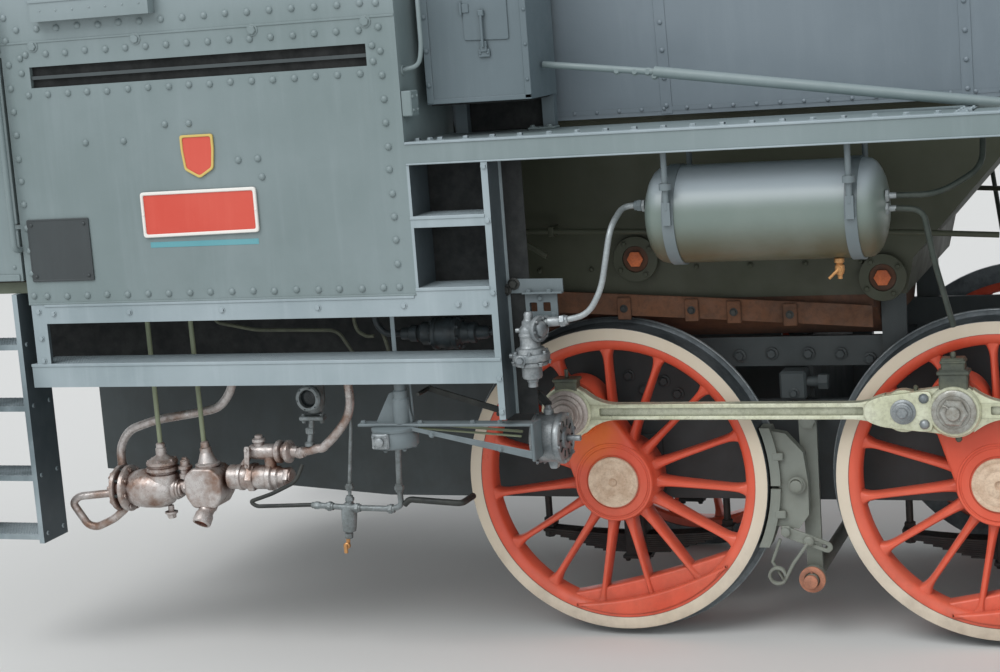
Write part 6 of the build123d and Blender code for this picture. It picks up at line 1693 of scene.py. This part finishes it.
def ringRow(x, radius, count, open_=30.0, size=0.012, mat=0):
    # rivet heads round the boiler, none within the open angle below
    a = np.radians(np.linspace(-90 + open_, 270 - open_, count))
    ring = np.stack([np.zeros(count), np.cos(a), np.sin(a)], -1)
    points = ring * radius + [x, 0, frontForm["z"]]
    return rivets(points, ring, size, size * 0.7, mat)


def boilerShapes():
    f = frontForm
    shapes = [arcStrip(x - 0.03, x + 0.03, engine["barrelR"], 0.93, -88, 268, 0, 90)
        for x in (2.02, 3.1, 4.45, 5.8, 6.9)]
    for x, count, size in ((6.99, 70, 0.014), (7.05, 70, 0.014), (8.9, 70, 0.014), (8.02, 60, 0.012)):
        shapes.append(ringRow(x, engine["smokeboxR"], count, 32, size, 1))
    shapes.append(ringLathe(mm2(780, 0, 905, 0, 908, 4, 902, 14, 780, 16), (f["boxFront"], 0, f["z"]),
            ahead, 96, 1))
    shapes.append(ringBolts((f["boxFront"] + 0.015, 0, f["z"]), ahead, 0.85, 48, 0.013, 0.012, 1))
    # handrail stanchions: a knob on each post
    for x in (-0.3, 1.3, 2.9, 4.5, 6.1, 7.7, 8.8):
        for side in (-1, 1):
            shapes += [lathe(mm2(12, -30, 22, -22, 26, 0, 22, 22, 12, 30), (x, side * 0.985, 3.4), ahead,
                    16, 2),
                lathe(mm2(30, 0, 30, 8, 18, 16), (x, side * 0.885, 3.4), (0, side, 0), 16, 2)]
    # flanges round chimney and domes, with bolts; heights follow the barrel: z = sqrt(r^2 - y^2)
    for x, radius, barrelKey, count, mat in ((f["chimneyX"], 0.335, "smokeboxR", 20, 1),
            (6.25, 0.375, "barrelR", 22, 0), (4.9, 0.365, "barrelR", 22, 0),
            (3.55, 0.375, "barrelR", 22, 0)):
        barrel = engine[barrelKey]
        a = np.arange(count) * 2 * np.pi / count
        px, py = x + radius * np.cos(a), radius * np.sin(a)
        shapes.append(bolts(np.stack([px, py, f["z"] + np.sqrt(barrel ** 2 - py ** 2)], -1),
                np.stack([0 * a, py, np.sqrt(barrel ** 2 - py ** 2)], -1), 0.014, 0.014, mat))
        b = np.linspace(0, 2 * np.pi, 65)
        qx, qy = x + (radius - 0.02) * np.cos(b), (radius - 0.02) * np.sin(b)
        rim = np.stack([qx, qy, f["z"] + np.sqrt(barrel ** 2 - qy ** 2)], -1)
        shapes.append(sweep(rim, 0.014, 8, mat))
    # rings on chimney and domes
    shapes.append(ringLathe(mm2(236, 0, 262, 0, 266, 6, 266, 26, 262, 32, 236, 32),
            (f["chimneyX"], 0, 4.32), above, 64, 1))
    for x, r, top in ((6.25, 0.34, 4.02), (4.9, 0.33, 4.08), (3.55, 0.34, 4.02)):
        shapes.append(ringLathe([(r - 0.004, 0), (r + 0.004, 0.002), (r + 0.004, 0.028), (r - 0.004, 0.03)],
                (x, 0, top), above, 64, 0))
    for x in (6.25, 3.55):
        # sand hatch with its clamp, and the sand pipes that leave the dome
        shapes += [lathe(mm2(160, 0, 165, 6, 165, 22, 150, 30, 20, 36), (x, 0, 4.156), above, 32, 0),
            box(x - 0.19, x + 0.19, -0.02, 0.02, 4.186, 4.2, 0.004),
            bolts([(x, 0, 4.2)], above, 0.024, 0.02)]
        for dx in (-0.2, 0.2):
            for side in (-1, 1):
                path = [(x + dx, side * 0.26, 3.86), (x + dx * 1.3, side * 0.5, 3.9),
                    (x + dx * 1.5, side * 0.8, 3.6)]
                path += [(x + dx * 1.5, side * 0.955, 3.3), (x + dx * 1.5, side * 0.968, 2.9),
                    (x + dx * 1.5, side * 0.968, 2.29)]
                shapes.append(pipe(path, 0.02, 0.1, 12, 0))
    # washout plugs along the firebox, and a check valve on each side of the barrel
    for side in (-1, 1):
        shapes += [lathe(mm2(50, 0, 55, 4, 50, 14, 26, 18, 26, 36, 20, 40), (x, side * 0.882, 3.47),
                (0, side, 0.42), 16, 0) for x in (-0.35, 0.2, 0.75, 1.3)]
        shapes += [lathe(mm2(75, 0, 85, 6, 85, 30, 60, 40, 55, 100, 65, 110, 65, 130, 20, 150),
                (5.25, side * 0.915, 3.2), (0, side, 0.12), 28, 2),
            pipe([(5.25, side * 0.99, 3.17), (5.25, side * 0.995, 2.6), (5.25, side * 0.98, 2.29)], 0.028,
                0.1, 14, 2)]
    return shapes


def valveShapes():
    # safety valves and whistle
    shapes = []
    for side in (-1, 1):
        y = side * 0.25
        shapes += [lathe(mm2(85, 0, 90, 6, 90, 22, 64, 32, 62, 100), (1.18, y, 3.985), above, 28),
            lathe(mm2(52, 0, 56, 4, 56, 16, 42, 22, 22, 26, 20, 60), (1.18, y, 4.11), above, 24),
            box(0.98, 1.2, y - 0.007, y + 0.007, 4.15, 4.172, 0.003)]
    shapes += [lathe(mm2(30, 0, 30, 100, 50, 110, 50, 130, 34, 140, 50, 150, 50, 270, 40, 290, 14, 310),
            (0.62, 0.0, 4.02), above, 24, 1)]
    return shapes


def doorDogs():
    f = frontForm
    face = f["boxFront"] + 0.036
    shapes = [ringLathe(mm2(700, -2, 739, -2, 741, 2, 738, 7, 705, 8), (face, 0, f["z"]), ahead, 90)]
    for n in range(14):
        # clamps round the edge, none at the hinges
        a = math.radians(n * 360 / 14 + 13)
        if math.cos(a) > 0.86:
            continue
        y, z = 0.745 * math.cos(a), f["z"] + 0.745 * math.sin(a)
        inward = np.array([0, -math.cos(a), -math.sin(a)])
        at = np.array([face, y, z])
        shapes += [sweep([at + inward * 0.07 + [0.016, 0, 0], at + [0.02, 0, 0],
                    at - inward * 0.05 + [0.004, 0, 0]], 0.018, 8),
            bolts([at + [0.03, 0, 0]], ahead, 0.018, 0.022)]
    shapes += [lathe(mm2(75, 0, 80, 6, 80, 20, 45, 26, 40, 50, 14, 60), (f["boxFront"] + 0.144, 0, f["z"]),
            ahead, 32)]
    shapes += [sweep([(f["boxFront"] + x, 0, f["z"]), (f["boxFront"] + x + 0.01, y, f["z"] + z)], 0.013, 10)
        for x, y, z in ((0.185, -0.16, -0.24), (0.16, 0.2, -0.2))]
    shapes.append(bolts([(f["boxFront"] + 0.074, y, f["z"] + dz) for dz in (-0.3, 0.3)
                for y in (0.6, 0.66, 0.72)], ahead, 0.014, 0.012))
    return shapes


def cylinderShapes():
    f = frontForm
    x0, x1, y, z = f["cylX"] - 0.54, f["cylX"] + 0.54, -f["cylY"], f["cylZ"]
    shapes = [ringBolts((x1 + 0.028, y, z), ahead, 0.293, 16, 0.019, 0.022),
        ringBolts((x0 - 0.06, y, z), aft, 0.285, 16, 0.019, 0.022),
        ringBolts((x1 + 0.06, y, z), ahead, 0.16, 8, 0.014, 0.016)]
    shapes += [ringLathe(mm2(374, 0, 377.5, 1, 377.5, 45, 374, 46), (x, y, z), ahead, 64)
        for x in (x0 + 0.05, f["cylX"] - 0.02, x1 - 0.1)]
    shapes += [ringLathe(mm2(214, 0, 217.5, 1, 217.5, 35, 214, 36), (x, y, f["valveZ"]), ahead, 48)
        for x in (x0 + 0.1, x1 - 0.14)]
    for x, way in ((f["cylX"] + 0.64, 1), (f["cylX"] - 0.64, -1)):
        shapes += [ringBolts((x, y, f["valveZ"]), (way, 0, 0), 0.19, 12, 0.016, 0.018),
            lathe(mm2(110, 0, 115, 6, 115, 24, 60, 34, 55, 90, 20, 100), (x, y, f["valveZ"]), (way, 0, 0),
                32)]
    # drain cocks, relief valves and lubricator pipes
    for x in (x0 + 0.07, x1 - 0.07):
        shapes += [rod((x, y, z - 0.36), (x, y, z - 0.42), 0.022, 14, 1),
            bolts([(x, y, z - 0.42)], below, 0.02, 0.02, 1),
            pipe([(x, y, z - 0.405), (x + 0.06, y - 0.02, z - 0.41), (x + 0.2, y - 0.04, z - 0.425)], 0.013,
                0.04, 10, 1)]
    shapes += [lathe(mm2(30, 0, 35, 4, 35, 30, 24, 36, 24, 80, 10, 90), (x1 + 0.055, y, z - 0.2), ahead, 18,
            1),
        pipe([(f["cylX"], y - 0.18, f["valveZ"] + 0.11), (f["cylX"], y - 0.1, 1.62),
                (f["cylX"], -0.99, 2.262)], 0.01, 0.06, 10, 1),
        ringBolts((f["cylX"], -0.9, f["valveZ"] + 0.235), above, 0.128, 8, 0.014, 0.018),
        ringLathe(mm2(104, 0, 146, 0, 148, 4, 148, 24, 104, 26), (f["cylX"], -0.9, f["valveZ"] + 0.212),
            above, 40)]
    return shapes


motionForm = dict(rodLength=3.0, face=1.095, linkBack=0.185, linkPin=0.12)


def motionShapes(side):
    # caps, flutes and bolts of main rod, crosshead and valve gear; side -1 is the right one
    m = motionForm
    a = math.radians(crankTurn(side))
    px, pz = axleX[3] + engine["crankR"] * math.cos(a), engine["wheelZ"] + engine["crankR"] * math.sin(a)
    hx = px + math.sqrt(m["rodLength"] ** 2 - (pz - engine["wheelZ"]) ** 2)
    slope = math.degrees(math.atan2(engine["wheelZ"] - pz, hx - px))
    face = m["face"]
    flute = roundCorners(mm2(340, -30, 2620, -22, 2620, 22, 340, 30), 0.02, 4)
    local = [prism(flute, "xz", -1.0836, -1.0826, 1, 0.0),
        box(0.16, 0.3, -1.09, -1.03, -0.085, 0.085, 0.008),
        bolts(mm3(230, -1090, -50, 230, -1090, 50), aside, 0.018, 0.016)]
    shapes = [turnedXZ(s, slope, px, pz) for s in local]
    shapes += [lathe(mm2(60, 0, 62, 4, 62, 18, 30, 24), (hx, -face - 0.034, engine["wheelZ"]), aside, 28),
        box(hx - 0.05, hx + 0.05, -face - 0.045, -face - 0.034, 0.6, 0.64, 0.004),
        rod((px, -face - 0.02, pz + 0.148), (px, -1.06, pz + 0.195), 0.024, 16),
        bolts([(hx + dx, -1.128, engine["wheelZ"] + dz) for dx in (-0.16, 0.16) for dz in (0.13, 0.27)],
            aside, 0.018, 0.016)]
    # valve gear pins: x and z of each
    link = 2 * m["rodLength"] - engine["crankR"] - m["linkBack"]
    crank = (axleX[3] + (px - axleX[3]) * 0.45 + 0.12, engine["wheelZ"] + (pz - engine["wheelZ"]) * 0.45)
    pins = [crank, (link - m["linkPin"], 0.94), (link, 1.36), (link, 1.4), (7.18, 1.34), (7.04, 0.591),
        (hx + m["linkPin"], 0.621)]
    shapes += [lathe(mm2(34, 0, 36, 3, 36, 12, 18, 16), (x, -1.196, z), aside, 22) for x, z in pins]
    shapes += [lathe(mm2(56, 0, 60, 4, 60, 18, 30, 24), (px, -1.166, pz), aside, 28)]
    return shapes if side < 0 else [mirrored(s) for s in shapes]


def frontShapes():
    # buffer beam rivets, buffer bolts, steps, hoses, lamps, guard irons
    f = frontForm
    x, out = f["beamX"], ahead
    heads = [(x, y, z) for z in (0.862, 1.3) for y in np.arange(-1.3, 1.31, 0.13)]
    heads += [(x, s * 1.315, z) for s in (-1, 1) for z in np.arange(0.95, 1.28, 0.11)]
    shapes = [rivets(heads, out, 0.014, 0.01, 0)]
    for side in (-1, 1):
        y, z = side * 0.875, 1.081
        shapes += [box(x, x + 0.018, y - 0.19, y + 0.19, z - 0.19, z + 0.19, 0.005, 1),
            bolts([(x + 0.018, y + dy, z + dz) for dy in (-0.155, 0.155) for dz in (-0.155, 0.155)], out,
                0.022, 0.022, 1),
            ringLathe(mm2(104, 0, 118, 3, 118, 28, 104, 30), (x + 0.295, y, z), out, 40, 1),
            ringLathe(mm2(84, 0, 96, 3, 96, 20, 84, 22), (x + 0.34, y, z), out, 40, 1),
            ringLathe(mm2(200, 0, 222, 0, 223, 4, 200, 6), (x + 0.612, y, z), out, 48, 2)]
        # brake hose with its cock
        hose = [(x, side * 0.42, 0.98), (x + 0.08, side * 0.42, 0.98), (x + 0.12, side * 0.42, 0.9),
            (x + 0.13, side * 0.42, 0.62), (x + 0.1, side * 0.36, 0.5)]
        shapes += [pipe(hose, 0.026, 0.08, 14, 3),
            rod((x - 0.001, side * 0.42, 0.98), (x + 0.06, side * 0.42, 0.98), 0.036, 6, 1),
            box(x + 0.03, x + 0.05, side * 0.42 - 0.01, side * 0.42 + 0.01, 1.01, 1.1, 0.003, 4)]
        # lamp: rim, glass and handle
        shapes += [ringLathe(mm2(100, 0, 126, 0, 130, 5, 126, 18, 100, 20), (x - 0.026, side * 0.93, 1.49),
                out, 40, 1),
            lathe(mm2(101, -1, 92, 10, 60, 20, 10, 24), (x - 0.026, side * 0.93, 1.49), out, 36, 5),
            pipe([(x - 0.17, side * 0.93, 1.6), (x - 0.17, side * 0.93, 1.665),
                    (x - 0.07, side * 0.93, 1.665), (x - 0.07, side * 0.93, 1.6)], 0.007, 0.03, 8, 1)]
        # foot step under the beam
        shapes += [box(x - 0.035, x - 0.022, side * 1.02, side * 1.06, 0.5, 0.84, 0.003, 1),
            box(x - 0.035, x - 0.022, side * 1.26, side * 1.3, 0.5, 0.84, 0.003, 1),
            box(x - 0.035, x + 0.2, side * 1.01, side * 1.31, 0.488, 0.502, 0.003, 1)]
        # guard iron in front of the leading wheel
        iron = [(side * 0.66, 0.93), (side * 0.66, 0.5), (side * 0.74, 0.34), (side * 0.74, 0.13),
            (side * 0.8, 0.13), (side * 0.8, 0.36), (side * 0.72, 0.52), (side * 0.72, 0.93)]
        shapes.append(prism(iron, "yz", x - 0.075, x - 0.055, 1, 0.002))
    # screw coupling: two shackles, the screw and its lever
    z, hx = 1.081, x + 0.11
    shapes += [rod((hx, -0.052, z), (hx, 0.052, z), 0.0215, 18, 1)]
    for s in (-1, 1):
        shapes += [pipe([(hx, s * 0.046, z), (hx + 0.02, s * 0.058, z - 0.06),
                    (hx + 0.02, s * 0.05, z - 0.24)], 0.014, 0.04, 10, 1),
            pipe([(hx + 0.02, s * 0.05, z - 0.42), (hx + 0.02, s * 0.062, z - 0.5),
                    (hx + 0.02, s * 0.04, z - 0.66), (hx + 0.02, 0, z - 0.69)], 0.015, 0.05, 10, 1)]
    shapes += [rod((hx + 0.02, -0.075, z - 0.24), (hx + 0.02, 0.075, z - 0.24), 0.026, 16, 1),
        rod((hx + 0.02, -0.075, z - 0.42), (hx + 0.02, 0.075, z - 0.42), 0.026, 16, 1),
        rod((hx + 0.02, 0, z - 0.22), (hx + 0.02, 0, z - 0.46), 0.018, 16, 1),
        rod((hx + 0.045, 0, z - 0.33), (hx + 0.1, 0, z - 0.33), 0.009, 10, 1),
        lathe(mm2(10, 0, 34, 12, 38, 34, 30, 56, 10, 66), (hx + 0.09, 0, z - 0.33), out, 18, 1)]
    return shapes


def pumpShapes():
    x, y = 8.23, 1.18
    shapes = []
    for z in (2.3, 2.49, 2.64, 2.84, 3.0):
        shapes += [ringLathe(mm2(148, 0, 176, 0, 180, 4, 180, 22, 148, 24), (x, y, z), above, 44)]
    for z in (2.515, 2.665, 3.024):
        shapes.append(ringBolts((x, y, z), above, 0.163, 10, 0.012, 0.014))
    shapes += [pipe([(x, y - 0.14, 2.95), (x, y - 0.3, 3.1), (x, y - 0.42, 3.4)], 0.02, 0.1, 12, 1),
        pipe([(x - 0.14, y, 2.4), (x - 0.3, y, 2.36), (x - 0.32, y, 2.285)], 0.02, 0.06, 12, 1)]
    return shapes


def deflectorShapes():
    y = -1.4
    rear, front = 7.72, 9.0
    edge = [(rear + 0.03, 2.95), (front - 0.05, 2.95), (front, 3.08), (front, 3.78), (front - 0.1, 3.86),
        (rear + 0.08, 3.86), (rear, 3.78), (rear, 3.04)]
    shapes = [prism(np.array(edge), "xz", y - 0.006, y + 0.014, 0, 0.002,
            [insetLoop(np.array(edge), 0.032)])]
    shapes.append(rivets([(x, y - 0.006, z) for x in np.arange(rear + 0.12, front - 0.1, 0.115)
                for z in (2.966, 3.844)], aside, 0.011, 0.007))
    shapes.append(bolts([(x, y, z) for x in (rear + 0.13, front - 0.2) for z in (3.15, 3.6)], aside, 0.016,
            0.012))
    shapes.append(pipe([(rear + 0.1, y - 0.001, 3.3), (rear + 0.1, y - 0.05, 3.3),
                (front - 0.12, y - 0.05, 3.3), (front - 0.12, y - 0.001, 3.3)], 0.012, 0.04, 12))
    return shapes


def rearShapes():
    # cab rear: window strips, rivets, hand rails; drag box rivets and the pin's collar
    x, out = -2.95, aft
    shapes = []
    for side in (-1, 1):
        shapes += [box(x - 0.004, x + 0.002, side * y, side * (y + 0.028), 2.95, 3.585, 0.002)
            for y in (0.624, 1.198)]
        shapes += [box(x - 0.004, x + 0.002, side * 0.624, side * 1.226, z, z + 0.028, 0.002)
            for z in (2.945, 3.56)]
        shapes.append(rivets([(x, side * y, z) for z in (1.72, 2.5, 3.66)
                    for y in np.arange(0.5, 1.42, 0.1)], out, 0.012))
        shapes.append(rivets([(x, side * y, z) for y in (0.47, 1.43) for z in np.arange(1.8, 3.62, 0.1)],
                out, 0.012))
        rail = [(x, side * 0.5, 3.0), (x - 0.06, side * 0.5, 3.0), (x - 0.06, side * 0.5, 1.95),
            (x, side * 0.5, 1.95)]
        shapes.append(pipe(rail, 0.013, 0.04, 12))
    shapes.append(rivets([(-2.72, y, z) for z in (0.74, 1.19) for y in np.arange(-0.45, 0.46, 0.1)], out,
            0.014, mat=1))
    shapes.append(ringLathe(mm2(50.5, 0, 85, 0, 88, 4, 88, 14, 50.5, 16), (-2.49, 0, 1.2285), above, 36, 1))
    return shapes


hoseRubber = oldMetal("Hose rubber", (40, 40, 40), (54, 54, 52), (26, 26, 24), 0.0, 0.7, 12.0)
makePiece("boilerTrim", boilerShapes(), [boilerPaint, smokePaint, greyPaint])
makePiece("safetyTrim", valveShapes(), [castBronze, brassTap])
makePiece("frontDoorTrim", doorDogs(), smokePaint, "front_door")
makePiece("cylinderTrim", cylinderShapes(), [smokePaint, castBronze], both=True)
makePiece("motionTrim", motionShapes(-1) + motionShapes(1), [brightSteel, darkGrease])
makePiece("frontEndTrim", frontShapes(),
    [wheelRed, framePaint, brightSteel, hoseRubber, brassTap, lampGlass])
makePiece("pumpTrim", pumpShapes(), [smokePaint, palePipe])
makePiece("deflectorTrim", deflectorShapes(), greyPaint, both=True)
makePiece("rearTrim", rearShapes(), [greyPaint, framePaint])
print("boiler and front end made")


# Floor, light and camera.
studio = dict(floorZ=-0.001, floorHalf=60.0, worldStrength=0.72, sunStrength=1.5, sunAngle=40.0,
    sunFrom=(-0.35, -0.75, 0.95), fillStrength=0.35, fillFrom=(0.5, -1.0, 0.15))


def makeFloor():
    mesh = bpy.data.meshes.new("Floor")
    h, z = studio["floorHalf"], studio["floorZ"]
    mesh.from_pydata([(-h, -h, z), (h, -h, z), (h, h, z), (-h, h, z)], [], [(0, 1, 2, 3)])
    floor = bpy.data.objects.new("Floor", mesh)
    scene.collection.objects.link(floor)
    n = Nodes("Pale floor")
    n.finish((214, 214, 212), 0.9)
    mesh.materials.append(n.mat)
    return floor


def makeSun(name, direction, strength, angle):
    light = bpy.data.lights.new(name, "SUN")
    light.energy = strength
    light.angle = math.radians(angle)
    lamp = bpy.data.objects.new(name, light)
    lamp.rotation_mode = "QUATERNION"
    lamp.rotation_quaternion = Vector(direction).normalized().to_track_quat("Z", "Y")
    scene.collection.objects.link(lamp)
    return lamp


def makeWorld():
    # even sky light, and white where the camera or a mirror-like surface sees the background
    world = bpy.data.worlds.new("Studio")
    scene.world = world
    world.use_nodes = True
    tree = world.node_tree
    tree.nodes.clear()
    path = tree.nodes.new("ShaderNodeLightPath")
    seen = tree.nodes.new("ShaderNodeMath")
    seen.operation = "MAXIMUM"
    tree.links.new(path.outputs["Is Camera Ray"], seen.inputs[0])
    tree.links.new(path.outputs["Is Transmission Ray"], seen.inputs[1])
    sky = tree.nodes.new("ShaderNodeBackground")
    sky.inputs["Color"].default_value = (0.94, 0.97, 1.0, 1.0)
    sky.inputs["Strength"].default_value = studio["worldStrength"]
    white = tree.nodes.new("ShaderNodeBackground")
    white.inputs["Color"].default_value = (1.0, 1.0, 1.0, 1.0)
    both = tree.nodes.new("ShaderNodeMixShader")
    out = tree.nodes.new("ShaderNodeOutputWorld")
    tree.links.new(seen.outputs[0], both.inputs[0])
    tree.links.new(sky.outputs[0], both.inputs[1])
    tree.links.new(white.outputs[0], both.inputs[2])
    tree.links.new(both.outputs[0], out.inputs["Surface"])


makeFloor()
makeSun("Key sun", studio["sunFrom"], studio["sunStrength"], studio["sunAngle"])
makeSun("Fill sun", studio["fillFrom"], studio["fillStrength"], 60.0)
makeWorld()
scene.view_settings.view_transform = "Standard"

# The photograph's viewpoint: place, turn to the left, downward tilt and roll in degrees, lens in mm.
viewpoint = dict(place=(-1.7905, -9.035, 2.773), yaw=19.93, pitch=9.16, roll=4.31, lens=72.0)


def makeCamera():
    yaw, pitch, roll = (math.radians(viewpoint[k]) for k in ("yaw", "pitch", "roll"))
    ahead = Vector((-math.sin(yaw) * math.cos(pitch), math.cos(yaw) * math.cos(pitch), -math.sin(pitch)))
    right = Vector((math.cos(yaw), math.sin(yaw), 0))
    down = ahead.cross(right)
    r = right * math.cos(roll) + down * math.sin(roll)
    d = down * math.cos(roll) - right * math.sin(roll)
    data = bpy.data.cameras.new("Camera")
    data.lens = viewpoint["lens"]
    data.sensor_width = 36.0
    data.clip_end = 300.0
    camera = bpy.data.objects.new("Camera", data)
    turn = Matrix((r, -d, -ahead)).transposed().to_4x4()
    camera.matrix_world = Matrix.Translation(viewpoint["place"]) @ turn
    scene.collection.objects.link(camera)
    scene.camera = camera


makeCamera()
print("floor, light and camera placed")
